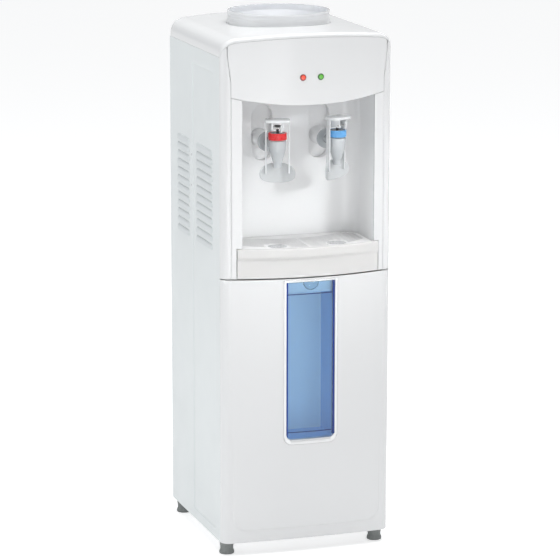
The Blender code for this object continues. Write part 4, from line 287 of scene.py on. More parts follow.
class FinishTree(Tree):
    """Material of one finish: drifting colour, uneven gloss, and relief on the piece's own coordinates."""

    noise_middle: ClassVar[Flat] = (0.3, 0.7)
    drift_detail: ClassVar[float] = 4.0
    wear_scale: ClassVar[float] = 5.0
    wear_detail: ClassVar[float] = 6.0
    grain_detail: ClassVar[float] = 3.0
    fleck_scale: ClassVar[float] = 0.4
    fleck_detail: ClassVar[float] = 2.0
    fleck_edge: ClassVar[Flat] = (0.62, 0.70)
    fleck_shade: ClassVar[float] = 0.45
    coat_roughness: ClassVar[float] = 0.06
    haze_weight: ClassVar[float] = 0.6

    def __init__(self, finish: Finish) -> None:
        """Builds the material.

        Args:
            finish: What the surface is like.
        """
        self.finish = finish
        self.made = bpy.data.materials.new(finish.name)
        self.made.use_nodes = True
        self.made.diffuse_color = (*finish.colour, 1)
        super().__init__(self.made.node_tree)
        self.place = self._mapping((1.0, 1.0, 1.0))
        inputs = {"Base Color": self._colour(), "Roughness": self._roughness(), "Normal": self._relief(),
                  "Metallic": finish.metallic, "IOR": finish.bend, "Transmission Weight": finish.clear,
                  "Coat Weight": finish.coat, "Coat Roughness": self.coat_roughness,
                  "Emission Color": (*finish.colour, 1), "Emission Strength": finish.glow}
        if finish.haze:
            inputs |= {"Subsurface Weight": self.haze_weight, "Subsurface Radius": (1.0, 1.0, 1.0),
                       "Subsurface Scale": finish.haze}
        self.feed(self.tree.nodes["Principled BSDF"], inputs)

    def _mapping(self, scale: Spot) -> bpy.types.NodeSocket:
        """Object coordinates, stretched by a scale."""
        place = self.add("ShaderNodeTexCoord", {}, "Object")
        return self.add("ShaderNodeMapping", {"Vector": place, "Scale": scale}, "Vector")

    def _noise(self, scale: float, detail: float, vector: bpy.types.NodeSocket) -> bpy.types.NodeSocket:
        """Noise of a given fineness."""
        return self.add("ShaderNodeTexNoise", {"Scale": scale, "Detail": detail, "Vector": vector}, "Fac")

    def _range(self, value: bpy.types.NodeSocket, low: float, high: float) -> bpy.types.NodeSocket:
        """Spreads the middle of a noise over a range."""
        inputs = dict(zip(("From Min", "From Max", "To Min", "To Max"), (*self.noise_middle, low, high)))
        return self.add("ShaderNodeMapRange", {"Value": value, **inputs}, "Result")

    def _colour(self) -> bpy.types.NodeSocket:
        """Drifts the colour between a darker and a lighter form, with flecks where the finish has them.

        Returns:
            The colour.
        """
        finish = self.finish
        darker = tuple(c * (1 - finish.mottle) for c in finish.colour)
        lighter = tuple(min(1.0, c * (1 + finish.mottle)) for c in finish.colour)
        drift = self._range(self._noise(finish.patch, self.drift_detail, self.place), 0, 1)
        colour = self.add("ShaderNodeMix", {"Factor": drift, "A": (*darker, 1), "B": (*lighter, 1)}, "Result",
                          data_type="RGBA")
        if not finish.speckle:
            return colour
        ramp = self.tree.nodes.new("ShaderNodeValToRGB")
        first, last = ramp.color_ramp.elements
        first.position, last.position = self.fleck_edge
        last.color = (finish.speckle,) * 3 + (1,)
        self.feed(ramp, {"Fac": self._noise(finish.grain * self.fleck_scale, self.fleck_detail, self.place)})
        fleck = tuple(c * self.fleck_shade for c in finish.colour)
        return self.add("ShaderNodeMix", {"Factor": ramp.outputs["Color"], "A": colour, "B": (*fleck, 1)}, "Result",
                        data_type="RGBA")

    def _roughness(self) -> bpy.types.NodeSocket:
        """Makes the gloss uneven, as handling and moulding leave it."""
        worn = self._noise(self.finish.patch * self.wear_scale, self.wear_detail, self.place)
        return self._range(worn, *self.finish.roughness)

    def _relief(self) -> bpy.types.NodeSocket:
        """Fine grain, stretched along the brushing of drawn metal."""
        grain = self._noise(self.finish.grain, self.grain_detail, self._mapping(self.finish.stretch))
        return self.add("ShaderNodeBump", {"Strength": self.finish.relief, "Distance": self.finish.relief_depth,
                                           "Height": grain}, "Normal")


WHITE_GLOSS = Finish("white_gloss_moulding", "white_abs", (0.785, 0.79, 0.795), mottle=0.005,
                     roughness=(0.23, 0.25), coat=0.25)
# Painted light: a whiter copy of the front's white plastic, standing in for the light in the alcove, which the lamps
# reach less; the bezel and the cup box share it.
LINER_WHITE = Finish("satin_liner_moulding", "liner_abs", (0.95, 0.955, 0.96), mottle=0.003,
                     roughness=(0.28, 0.30), coat=0.2)
TRAY_WHITE = Finish("warm_tray_moulding", "tray_abs", (0.71, 0.705, 0.695), mottle=0.004,
                    roughness=(0.30, 0.32), coat=0.15)
GRILLE_WHITE = replace(TRAY_WHITE, name="pale_grille_moulding", colour=(0.95, 0.95, 0.945))
# Painted shade: the walls of the grille's slots are painted grey where shade falls in them.
SLOT_GREY = Finish("shaded_slot_moulding", "tray_abs", (0.72, 0.72, 0.72), mottle=0.02,
                   roughness=(0.26, 0.34), relief=0.08)
# Painted shade: the dips under the taps are painted grey where shade falls in them.
DIP_SHADE = Finish("painted_dip_shade", "tray_abs", (0.56, 0.565, 0.575), patch=60.0, roughness=(0.22, 0.34),
                  relief=0.08)
COATED_PANEL = Finish("grey_coated_panel", "side_panels", (0.77, 0.805, 0.81), mottle=0.02, patch=5.0,
                      roughness=(0.34, 0.44), grain=900.0, relief=0.16, relief_depth=0.00008)
# Painted shade: a darker copy of the panel's coat for the louvre hoods, where shade falls.
LOUVRE_GREY = replace(COATED_PANEL, name="shaded_coated_panel", colour=(0.69, 0.725, 0.735))
ZINC = Finish("zinc_plated_sheet", "zinc_steel", (0.58, 0.59, 0.60), mottle=0.14, patch=45.0,
              roughness=(0.28, 0.48), metallic=1.0, grain=500.0, relief=0.12, stretch=(1.0, 4.0, 1.0))
STAINLESS = Finish("drawn_stainless", "stainless", (0.63, 0.63, 0.62), mottle=0.06, roughness=(0.20, 0.34),
                   metallic=1.0, grain=420.0, relief=0.15, stretch=(0.3, 0.3, 6.0))
ALUMINIUM = Finish("extruded_aluminium", "aluminium", (0.72, 0.73, 0.74), mottle=0.06, roughness=(0.32, 0.46),
                   metallic=1.0, grain=520.0, relief=0.15, stretch=(5.0, 5.0, 0.3))
BLUE_WINDOW = Finish("blue_clear_acrylic", "blue_window", (0.60, 0.79, 0.955), mottle=0.01,
                     roughness=(0.02, 0.05), relief=0.02, clear=1.0, bend=1.49)
BLUE_EDGE = Finish("blue_acrylic_edge", "blue_window", (0.0, 0.04, 0.32), mottle=0.05,
                   roughness=(0.35, 0.45), relief=0.02)
BLUE_LINER = Finish("blue_liner_moulding", "liner_abs", (0.40, 0.62, 0.92), mottle=0.02, roughness=(0.30, 0.40))
MILKY = Finish("milky_collar_plastic", "milky_plastic", (0.93, 0.945, 0.965), mottle=0.015,
               roughness=(0.12, 0.20), clear=0.36, relief=0.03, haze=0.004)
# Painted shade: a darker copy of the collar's plastic for the inside of the bowl.
BOWL_SHADE = replace(MILKY, name="milky_bowl_painted_shade", colour=(0.79, 0.805, 0.835), roughness=(0.20, 0.28))
TAP_CLEAR = Finish("grey_tap_plastic", "tap_body_plastic", (0.76, 0.79, 0.81), patch=30.0, roughness=(0.10, 0.18),
                   clear=0.35, relief=0.04, coat=0.4, haze=0.003)
TAP_WHITE = Finish("white_tap_moulding", "tap_white", (0.82, 0.835, 0.85), mottle=0.01, patch=25.0,
                   roughness=(0.20, 0.28), coat=0.2)
# Painted shade: a darker copy of the tap's white for the paddle, where shade falls on it.
PADDLE_SHADE = replace(TAP_WHITE, name="shaded_paddle_moulding", colour=(0.62, 0.64, 0.65), mottle=0.02,
                      patch=30.0)
RED = Finish("red_moulding", "red_plastic", (0.70, 0.025, 0.03), mottle=0.05, patch=30.0, roughness=(0.24, 0.34))
BLUE = replace(RED, name="blue_moulding", slot="blue_plastic", colour=(0.13, 0.38, 0.73))
RED_LENS = Finish("red_lamp_lens", "red_lens", (0.85, 0.07, 0.03), mottle=0.12, patch=260.0,
                  roughness=(0.06, 0.12), coat=1.0, glow=0.30)
GREEN_LENS = replace(RED_LENS, name="green_lamp_lens", slot="green_lens", colour=(0.10, 0.42, 0.035), glow=0.25)
RED_RIM = Finish("red_lens_rim", "red_lens", (0.34, 0.02, 0.012), mottle=0.10, patch=260.0,
                 roughness=(0.10, 0.18), coat=1.0)
GREEN_RIM = replace(RED_RIM, name="green_lens_rim", slot="green_lens", colour=(0.03, 0.17, 0.015))
BLACK = Finish("black_moulding", "black_plastic", (0.022, 0.023, 0.025), mottle=0.15, patch=20.0,
               roughness=(0.38, 0.52), relief=0.25, grain=1100.0)
RUBBER = Finish("grey_foot_rubber", "foot_rubber", (0.26, 0.275, 0.27), mottle=0.12, patch=40.0,
                roughness=(0.62, 0.78), relief=0.3, grain=1000.0, speckle=0.3)
FOAM = Finish("bead_foam", "foam", (0.82, 0.82, 0.80), mottle=0.05, patch=60.0, roughness=(0.75, 0.9),
              grain=380.0, relief=0.5, relief_depth=0.0006, speckle=0.12)
SILICONE = Finish("food_silicone", "silicone", (0.80, 0.80, 0.78), patch=30.0, roughness=(0.36, 0.48),
                  haze=0.003, relief=0.08)
STEM_GREY = Finish("dark_silicone", "silicone", (0.09, 0.09, 0.095), mottle=0.05, patch=30.0,
                   roughness=(0.36, 0.48), relief=0.08)
MICA = Finish("mica_band", "mica", (0.45, 0.40, 0.33), mottle=0.2, patch=90.0, roughness=(0.4, 0.6),
              metallic=0.2, relief=0.3, grain=350.0, speckle=0.5)
CERAMIC = Finish("white_ceramic", "ceramic", (0.85, 0.84, 0.80), patch=40.0, roughness=(0.5, 0.65), relief=0.12)
BOARD = Finish("green_board", "circuit_board", (0.03, 0.20, 0.08), mottle=0.2, patch=160.0,
               roughness=(0.3, 0.5), relief=0.2, grain=600.0)


# Mesh tools

@contextmanager
def editing(mesh: bpy.types.Mesh) -> Iterator[bmesh.types.BMesh]:
    """Opens a mesh for editing and writes it back.

    Args:
        mesh: The mesh.

    Yields:
        Its editable form.
    """
    bm = bmesh.new()
    bm.from_mesh(mesh)
    yield bm
    bm.to_mesh(mesh)
    bm.free()


class Bench:
    """Makes, cuts, rounds and finishes meshes."""

    @staticmethod
    def link(name: str, data: bpy.types.ID) -> bpy.types.Object:
        """Puts a mesh, curve, lamp or camera in the scene.

        Args:
            name: Name of the object.
            data: What it shows.

        Returns:
            The object.
        """
        made = bpy.data.objects.new(name, data)
        bpy.context.scene.collection.objects.link(made)
        return made

    @staticmethod
    def place(name: str, vertices: Sequence[Spot], faces: Sequence[Sequence[int]]) -> bpy.types.Object:
        """Makes an object with its doubles merged and its normals made to agree.

        Args:
            name: Name of the object.
            vertices: Its points.
            faces: The points of each face.

        Returns:
            The object.
        """
        mesh = bpy.data.meshes.new(name)
        mesh.from_pydata([tuple(v) for v in vertices], [], [tuple(f) for f in faces])
        return Bench.tidy(Bench.link(name, mesh))

    @staticmethod
    def tidy(made: bpy.types.Object, merge: float = 0.000005) -> bpy.types.Object:
        """Merges doubled points and turns all faces one way.

        Args:
            made: The piece.
            merge: Distance within which two points are one.

        Returns:
            The piece.
        """
        with editing(made.data) as bm:
            bmesh.ops.remove_doubles(bm, verts=bm.verts, dist=merge)
            bmesh.ops.dissolve_degenerate(bm, edges=bm.edges, dist=merge / 10)
            bmesh.ops.recalc_face_normals(bm, faces=bm.faces)
        return made

    @staticmethod
    def baked(made: bpy.types.Object) -> bpy.types.Mesh:
        """Works out an object's shape.

        Args:
            made: Object with its modifiers and its place.

        Returns:
            The mesh that comes of them.
        """
        bpy.context.view_layer.update()
        graph = bpy.context.evaluated_depsgraph_get()
        mesh = bpy.data.meshes.new_from_object(made.evaluated_get(graph))
        mesh.transform(made.matrix_world)
        return mesh

    @staticmethod
    def evaluated(made: bpy.types.Object) -> bpy.types.Object:
        """Applies an object's modifiers and its place to its mesh.

        Args:
            made: The piece.

        Returns:
            The piece.
        """
        mesh = Bench.baked(made)
        made.modifiers.clear()
        made.matrix_world = Matrix.Identity(4)
        made.data = mesh
        return made

    @staticmethod
    def boolean(made: bpy.types.Object, operation: str, *tools: bpy.types.Object) -> bpy.types.Object:
        """Cuts or joins an object with others, which are used up.

        Args:
            made: The piece.
            operation: DIFFERENCE, UNION or INTERSECT.
            tools: The other shapes, used in order.

        Returns:
            The piece.
        """
        for tool in tools:
            step = made.modifiers.new("Cut", "BOOLEAN")
            step.operation = operation
            step.solver = "EXACT"
            step.object = tool
            Bench.evaluated(made)
            bpy.data.objects.remove(tool)
        return made

    @staticmethod
    def cut(made: bpy.types.Object, *tools: bpy.types.Object) -> bpy.types.Object:
        """Cuts shapes out of a piece."""
        return Bench.boolean(made, "DIFFERENCE", *tools)

    @staticmethod
    def unite(made: bpy.types.Object, *tools: bpy.types.Object) -> bpy.types.Object:
        """Joins shapes to a piece as one body."""
        return Bench.boolean(made, "UNION", *tools)

    @staticmethod
    def bevel(made: bpy.types.Object, width: float, steps: int = 2, angle: float = 38) -> bpy.types.Object:
        """Rounds all edges sharper than an angle.

        Args:
            made: The piece.
            width: Width of the rounding in metres.
            steps: Faces across it.
            angle: Smallest angle that is rounded, in degrees.

        Returns:
            The piece, shaded smooth.
        """
        made.data.shade_smooth()
        step = made.modifiers.new("Round", "BEVEL")
        step.width = width
        step.segments = steps
        step.limit_method = "ANGLE"
        step.angle_limit = math.radians(angle)
        step.use_clamp_overlap = False
        step.harden_normals = True
        step.miter_outer = "MITER_ARC"
        return Bench.evaluated(made)

    @staticmethod
    def thicken(made: bpy.types.Object, wall: float, within: Spot) -> bpy.types.Object:
        """Gives an open sheet its wall.

        Args:
            made: The sheet.
            wall: Thickness of the wall.
            within: Point on the side to which the wall grows.

        Returns:
            The closed piece.
        """
        middle = Vector(within)
        mesh = made.data
        outward = sum((face.center - middle).dot(face.normal) * face.area for face in mesh.polygons)
        if outward < 0:
            mesh.flip_normals()
        step = made.modifiers.new("Wall", "SOLIDIFY")
        step.thickness = wall
        step.offset = -1
        step.use_even_offset = True
        step.use_quality_normals = True
        return Bench.evaluated(made)

    @staticmethod
    def smooth(made: bpy.types.Object, angle: float = 35) -> bpy.types.Object:
        """Shades smooth.

        Args:
            made: The piece.
            angle: Angle above which an edge stays sharp, in degrees.

        Returns:
            The piece.
        """
        made.data.shade_smooth()
        made.data.set_sharp_from_angle(angle=math.radians(angle))
        return made

    @staticmethod
    def sheet(name: str, columns: Sequence[float], rows: Sequence[float], spot: Callable[[float, float], Spot],
              keep: Callable[[float, float], bool] | None = None) -> bpy.types.Object:
        """Open grid over two runs of values.

        Args:
            name: Name of the object.
            columns: Values along the grid.
            rows: Values across it.
            spot: The point for a column's and a row's value.
            keep: Says whether the cell with a given middle stays.

        Returns:
            The sheet.
        """
        wide = len(columns)
        vertices = [spot(u, v) for v in rows for u in columns]
        faces = []
        for j in range(len(rows) - 1):
            for i in range(wide - 1):
                if keep and not keep((columns[i] + columns[i + 1]) / 2, (rows[j] + rows[j + 1]) / 2):
                    continue
                at = j * wide + i
                faces.append((at, at + 1, at + wide + 1, at + wide))
        made = Bench.place(name, vertices, faces)
        with editing(made.data) as bm:
            bmesh.ops.delete(bm, geom=[v for v in bm.verts if not v.link_faces], context="VERTS")
        return made

    @staticmethod
    def slab(name: str, columns: int, rows: int, outer: Skin, inner: Skin) -> bpy.types.Object:
        """Closed wall between two skins.

        Args:
            name: Name of the object.
            columns: Spaces across each skin.
            rows: Spaces up it.
            outer: Point of the first skin for a column and a row.
            inner: Point of the second skin.

        Returns:
            The wall.
        """
        wide = columns + 1
        vertices = [skin(c, r) for skin in (outer, inner) for r in range(rows + 1) for c in range(wide)]
        back = wide * (rows + 1)
        faces = []
        for r in range(rows):
            for c in range(columns):
                at = r * wide + c
                quad = (at, at + 1, at + wide + 1, at + wide)
                faces += [quad, tuple(back + i for i in reversed(quad))]
        rim = list(range(wide)) + [r * wide + columns for r in range(1, rows + 1)]
        rim += [rows * wide + c for c in reversed(range(columns))] + [r * wide for r in reversed(range(1, rows))]
        for here, there in zip(rim, rim[1:] + rim[:1]):
            faces.append((here, back + here, back + there, there))
        return Bench.place(name, vertices, faces)

    @staticmethod
    def box(name: str, low: Spot, high: Spot) -> bpy.types.Object:
        """Plain block, used to cut and to start rounded pieces.

        Args:
            name: Name of the object.
            low: Its lowest corner.
            high: Its highest corner.

        Returns:
            The block.
        """
        made = Bench.link(name, bpy.data.meshes.new(name))
        with editing(made.data) as bm:
            bmesh.ops.create_cube(bm, size=1)
            bmesh.ops.scale(bm, vec=Vector(high) - Vector(low), verts=bm.verts)
            bmesh.ops.translate(bm, vec=(Vector(low) + Vector(high)) / 2, verts=bm.verts)
        return made

    @staticmethod
    def rod(name: str, start: Spot, end: Spot, radius: float, sides: int = 48) -> bpy.types.Object:
        """Straight round rod.

        Args:
            name: Name of the object.
            start: Middle of one end.
            end: Middle of the other end.
            radius: Its radius.
            sides: Faces round it.

        Returns:
            The rod.
        """
        first, last = Vector(start), Vector(end)
        turn = (last - first).to_track_quat("Z", "Y").to_matrix().to_4x4()
        made = Bench.link(name, bpy.data.meshes.new(name))
        with editing(made.data) as bm:
            bmesh.ops.create_cone(bm, cap_ends=True, segments=sides, radius1=radius, radius2=radius,
                                  depth=(last - first).length)
            bmesh.ops.transform(bm, matrix=Matrix.Translation((first + last) / 2) @ turn, verts=bm.verts)
        return made

    @staticmethod
    def turned(name: str, profile: Sequence[Flat], centre: Flat = (0.0, 0.0), sides: int = 96) -> bpy.types.Object:
        """Profile of radius and height turned about an upright axis.

        Args:
            name: Name of the object.
            profile: Closed outline, or one whose two ends lie on the axis.
            centre: x and y of the axis.
            sides: Faces round the turn.

        Returns:
            The closed shape.
        """
        vertices: list[Spot] = []
        rings: list[list[int]] = []
        for radius, height in profile:
            if radius < ON_AXIS:
                rings.append([len(vertices)] * sides)
                vertices.append((centre[0], centre[1], height))
                continue
            rings.append(list(range(len(vertices), len(vertices) + sides)))
            for i in range(sides):
                angle = 2 * math.pi * i / sides
                vertices.append((centre[0] + radius * math.cos(angle), centre[1] + radius * math.sin(angle), height))
        on_axis = profile[0][0] < ON_AXIS and profile[-1][0] < ON_AXIS
        pairs = list(zip(rings, rings[1:])) + ([] if on_axis else [(rings[-1], rings[0])])
        faces = []
        for low, high in pairs:
            for i in range(sides):
                corners = [low[i], low[(i + 1) % sides], high[(i + 1) % sides], high[i]]
                face = [v for n, v in enumerate(corners) if v not in corners[:n]]
                if len(face) > 2:
                    faces.append(face)
        return Bench.smooth(Bench.place(name, vertices, faces))

    @staticmethod
    def prism(name: str, loops: Sequence[Sequence[Flat]], low: float, high: float,
              along: str = "Z") -> bpy.types.Object:
        """Pulls flat outlines into a solid.

        Args:
            name: Name of the object.
            loops: Outlines, the first outside and the rest holes.
            low: Lower end of the pull.
            high: Upper end of the pull.
            along: Z for outlines in x and y, or Y for outlines in x and z.

        Returns:
            The solid.
        """
        curve = bpy.data.curves.new(name, "CURVE")
        curve.dimensions = "2D"
        curve.fill_mode = "BOTH"
        curve.extrude = (high - low) / 2
        for loop in loops:
            spline = curve.splines.new("POLY")
            spline.points.add(len(loop) - 1)
            for point, (across, up) in zip(spline.points, loop):
                point.co = (across, up, 0, 1)
            spline.use_cyclic_u = True
        shape = Bench.link(name, curve)
        middle = (low + high) / 2
        shape.location = (0, 0, middle) if along == "Z" else (0, middle, 0)
        shape.rotation_euler = (0 if along == "Z" else math.radians(90), 0, 0)
        mesh = Bench.baked(shape)
        bpy.data.objects.remove(shape)
        return Bench.tidy(Bench.link(name, mesh))


def seat(made: bpy.types.Object, body: str, finish: Finish, *nodes: str) -> bpy.types.Object:
    """Dresses a piece, makes it ride on its body and stand for its solids.

    Args:
        made: The finished mesh.
        body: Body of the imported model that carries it.
        finish: Its surface.
        nodes: Solids that it stands for.

    Returns:
        The piece.
    """
    made.data.materials.clear()
    made.data.materials.append(finish.material())
    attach(made, body)
    if nodes:
        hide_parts(*nodes)
    LOG.info("%s: %d faces", made.name, len(made.data.polygons))
    return made


def repaint(made: bpy.types.Object, choose: Callable[[bpy.types.MeshPolygon], int], *others: Finish) -> None:
    """Gives some faces of a seated piece other finishes of the same slot.

    Args:
        made: The piece.
        choose: For a face, 0 for the piece's own finish or the number of one of the others.
        others: The other finishes, numbered from 1.
    """
    for finish in others:
        made.data.materials.append(finish.material())
    for face in made.data.polygons:
        face.material_index = int(choose(face))


@dataclass(frozen=True)
class Repeat:
    """Copies of one small shape in a row, in a grid or round an axis, made by Geometry Nodes.

    Attributes:
        name: Name of the piece that comes out.
        start: Place of the first copy.
        count: Copies in a row.
        step: Way from each copy to the next.
        rows: Number of rows.
        row_step: Way from each row to the next.
        turn: Angles by which each copy is turned more than the last.
        jitter: Angles within which each copy is turned at random.
        seed: Seed of that turn.
    """

    name: str
    start: Spot = (0.0, 0.0, 0.0)
    count: int = 1
    step: Spot = (0.0, 0.0, 0.0)
    rows: int = 1
    row_step: Spot = (0.0, 0.0, 0.0)
    turn: Spot = (0.0, 0.0, 0.0)
    jitter: Spot = (0.0, 0.0, 0.0)
    seed: int = 4

    def _tree(self) -> tuple[bpy.types.NodeTree, dict[str, str]]:
        """Builds the node tree that places the copies.

        Returns:
            The tree, and the identifier of each input by its name.
        """
        group = bpy.data.node_groups.new(self.name + "_copies", "GeometryNodeTree")
        kinds = {"Object": ("Shape",), "Material": ("Finish",), "Int": ("Count", "Rows", "Seed"),
                 "Vector": ("Start", "Step", "Row Step", "Turn", "Jitter")}
        known = {}
        for kind, labels in kinds.items():
            for label in labels:
                socket = group.interface.new_socket(name=label, in_out="INPUT", socket_type=f"NodeSocket{kind}")
                known[label] = socket.identifier
        group.interface.new_socket(name="Geometry", in_out="OUTPUT", socket_type="NodeSocketGeometry")
        tree = Tree(group)
        given = group.nodes.new("NodeGroupInput").outputs

        def number(operation: str, *values: bpy.types.NodeSocket) -> bpy.types.NodeSocket:
            """Result of a sum on numbers."""
            return tree.add("ShaderNodeMath", dict(enumerate(values)), operation=operation)

        def times(vector: bpy.types.NodeSocket, share: bpy.types.NodeSocket) -> bpy.types.NodeSocket:
            """Vector times a number."""
            return tree.add("ShaderNodeVectorMath", {0: vector, "Scale": share}, operation="SCALE")

        def plus(first: bpy.types.NodeSocket, second: bpy.types.NodeSocket) -> bpy.types.NodeSocket:
            """Sum of two vectors."""
            return tree.add("ShaderNodeVectorMath", {0: first, 1: second}, operation="ADD")

        line = tree.add("GeometryNodeMeshLine", {"Count": number("MULTIPLY", given["Count"], given["Rows"])})
        index = tree.add("GeometryNodeInputIndex", {})
        along = number("MODULO", index, given["Count"])
        row = number("FLOOR", number("DIVIDE", index, given["Count"]))
        spot = plus(given["Start"], plus(times(given["Step"], along), times(given["Row Step"], row)))
        points = tree.add("GeometryNodeSetPosition", {"Geometry": line, "Position": spot})
        chance = group.nodes.new("FunctionNodeRandomValue")
        chance.data_type = "FLOAT"
        low, high = [s for s in chance.inputs if s.type == "VALUE" and s.name in ("Min", "Max")][:2]
        low.default_value, high.default_value = -1.0, 1.0
        tree.feed(chance, {"Seed": given["Seed"]})
        drawn = next(s for s in chance.outputs if s.type == "VALUE")
        angles = plus(times(given["Turn"], index), times(given["Jitter"], drawn))
        shape = tree.add("GeometryNodeObjectInfo", {"Object": given["Shape"]}, "Geometry")
        copies = tree.add("GeometryNodeInstanceOnPoints", {"Points": points, "Instance": shape, "Rotation": angles})
        real = tree.add("GeometryNodeRealizeInstances", {0: copies})
        painted = tree.add("GeometryNodeSetMaterial", {"Geometry": real, "Material": given["Finish"]})
        tree.feed(group.nodes.new("NodeGroupOutput"), {0: painted})
        return group, known

    def of(self, shape: bpy.types.Object, finish: Finish) -> bpy.types.Object:
        """Copies a shape, which is used up.

        Args:
            shape: The master, made about the origin.
            finish: Surface of every copy.

        Returns:
            One plain mesh object of all the copies.
        """
        group, known = self._tree()
        host = Bench.link(self.name + "_host", bpy.data.meshes.new(self.name + "_host"))
        nodes = host.modifiers.new("Copies", "NODES")
        nodes.node_group = group
        values = {"Shape": shape, "Finish": finish.material(), "Count": self.count, "Rows": self.rows,
                  "Start": self.start, "Step": self.step, "Row Step": self.row_step, "Turn": self.turn,
                  "Jitter": self.jitter, "Seed": self.seed}
        for label, value in values.items():
            nodes[known[label]] = value
        mesh = Bench.baked(host)
        for used in (host, shape):
            bpy.data.objects.remove(used)
        return Bench.link(self.name, mesh)


# The form that the outer pieces share

@dataclass(frozen=True)
class Envelope:
    """Outer form of the cabinet: a bowed face between two creases, round corners and a crowned top."""

    width: float = 0.3200
    depth: float = 0.3300
    top: float = 0.9470
    foot: float = 0.0250
    crease: float = 0.1430
    corner: float = 0.0170
    bow: float = 0.0220
    foot_bow: float = 0.0040
    ease_height: float = 0.2050
    ease_share: float = 0.6
    seam: float = 0.5160
    seam_gap: float = 0.0019
    edge_radius: float = 0.0060
    side_radius: float = 0.0260
    crown: float = 0.0080
    skirt: float = 0.0015
    shell: float = 0.0025
    gap: float = 0.0003
    facet: float = 0.0003
    sheet: float = 0.0010
    overrun: float = 0.0200

    @property
    def half(self) -> float:
        """Half the cabinet's width."""
        return self.width / 2

    @property
    def front(self) -> float:
        """y of the front where its bow starts."""
        return -self.depth / 2

    @property
    def back(self) -> float:
        """y of the back."""
        return self.depth / 2

    @property
    def wrap(self) -> float:
        """y where the front plastics end on the sides."""
        return self.front + self.corner

    @property
    def floor(self) -> float:
        """Height of the lowest edge of the panels."""
        return self.foot + self.gap

    @property
    def far(self) -> float:
        """y in front of all that a tool has to cut."""
        return self.front - self.bow - self.overrun

    @property
    def near(self) -> float:
        """y behind all that a tool has to cut at the front."""
        return self.front + self.overrun

    def face_y(self, x: float, bow: float | None = None) -> float:
        """Finds how far forward the face lies.

        Args:
            x: Place across the front.
            bow: Bow of the face there, or None for the full bow.

        Returns:
            y of the face.
        """
        bow = self.bow if bow is None else bow
        reach = abs(x)
        if reach <= self.crease:
            return self.front - bow * (1 - (reach / self.crease) ** 2)
        share = min(1.0, (reach - self.crease) / (self.half - self.crease))
        return self.front + self.corner * (1 - math.sqrt(1 - share * share))

    def bow_at(self, height: float) -> float:
        """Bow of the lower panel, which eases away towards the floor."""
        return mix(self.foot_bow, self.bow, self.bow_share(height))

    def bow_share(self, height: float) -> float:
        """Share of the full bow at a height."""
        share = max(0.0, min(1.0, (height - self.foot) / self.ease_height))
        return share ** self.ease_share

    def cover_z(self, x: float) -> float:
        """Finds how high the top lies.

        Args:
            x: Place across the top.

        Returns:
            z of the cover's face.
        """
        crown = self.crown * (1 - min(1.0, abs(x) / self.crease) ** 2)
        past = max(0.0, abs(x) - (self.half - self.side_radius))
        return self.top + crown - self.side_radius + math.sqrt(max(0.0, self.side_radius ** 2 - past ** 2))

    def lip_z(self, x: float) -> float:
        """Lower edge of the cover's rim."""
        return self.cover_z(x) - self.edge_radius - self.skirt

    def stations(self, corner_steps: int, face_steps: int) -> list[tuple[float, float, int]]:
        """Columns of a panel that wraps the front.

        Args:
            corner_steps: Columns round each corner.
            face_steps: Spaces between the columns of the face.

        Returns:
            x, angle turned and side of each column.
        """
        turn = [math.radians(90) * i / corner_steps for i in range(corner_steps, 0, -1)]
        reach = self.half - self.crease
        left = [(-self.crease - reach * math.sin(a), a, -1) for a in turn]
        face = [(x, 0.0, 0) for x in spread(-self.crease, self.crease, face_steps + 1)]
        return left + face + [(-x, a, 1) for x, a, _ in reversed(left)]

    def ahead(self, name: str, low: float, high: float, offset: float, steps: int = 64) -> bpy.types.Object:
        """Block of all that lies further forward than the face plus an offset.

        Args:
            name: Name of the block.
            low: Its lower end.
            high: Its upper end.
            offset: How far behind the face it ends.
            steps: Spaces across it.

        Returns:
            The block.
        """
        levels = 24
        across, heights = spread(-self.crease, self.crease, steps + 1), spread(low, high, levels + 1)

        def back(column: int, row: int) -> Spot:
            """Point of the side that follows the face."""
            x, z = across[column], heights[row]
            return x, self.face_y(x, self.bow_at(z)) + offset, z

        return Bench.slab(name, steps, levels, lambda c, r: (across[c], self.far - self.overrun, heights[r]), back)

    def above_lip(self, name: str) -> bpy.types.Object:
        """Block of all that the cover takes up over the front pieces, less a gap.

        Args:
            name: Name of the block.

        Returns:
            The block.
        """
        line = [(x * (1 - self.gap / self.half), self.lip_z(x) - self.gap) for x, _, _ in self.stations(12, 64)]
        reach, roof = self.half + self.overrun, self.top + self.overrun
        outline = [(-reach, line[0][1])] + line + [(reach, line[-1][1]), (reach, roof), (-reach, roof)]
        return Bench.prism(name, [outline], self.far - self.overrun, self.near + self.overrun, "Y")


FORM = Envelope()


# Cabinet

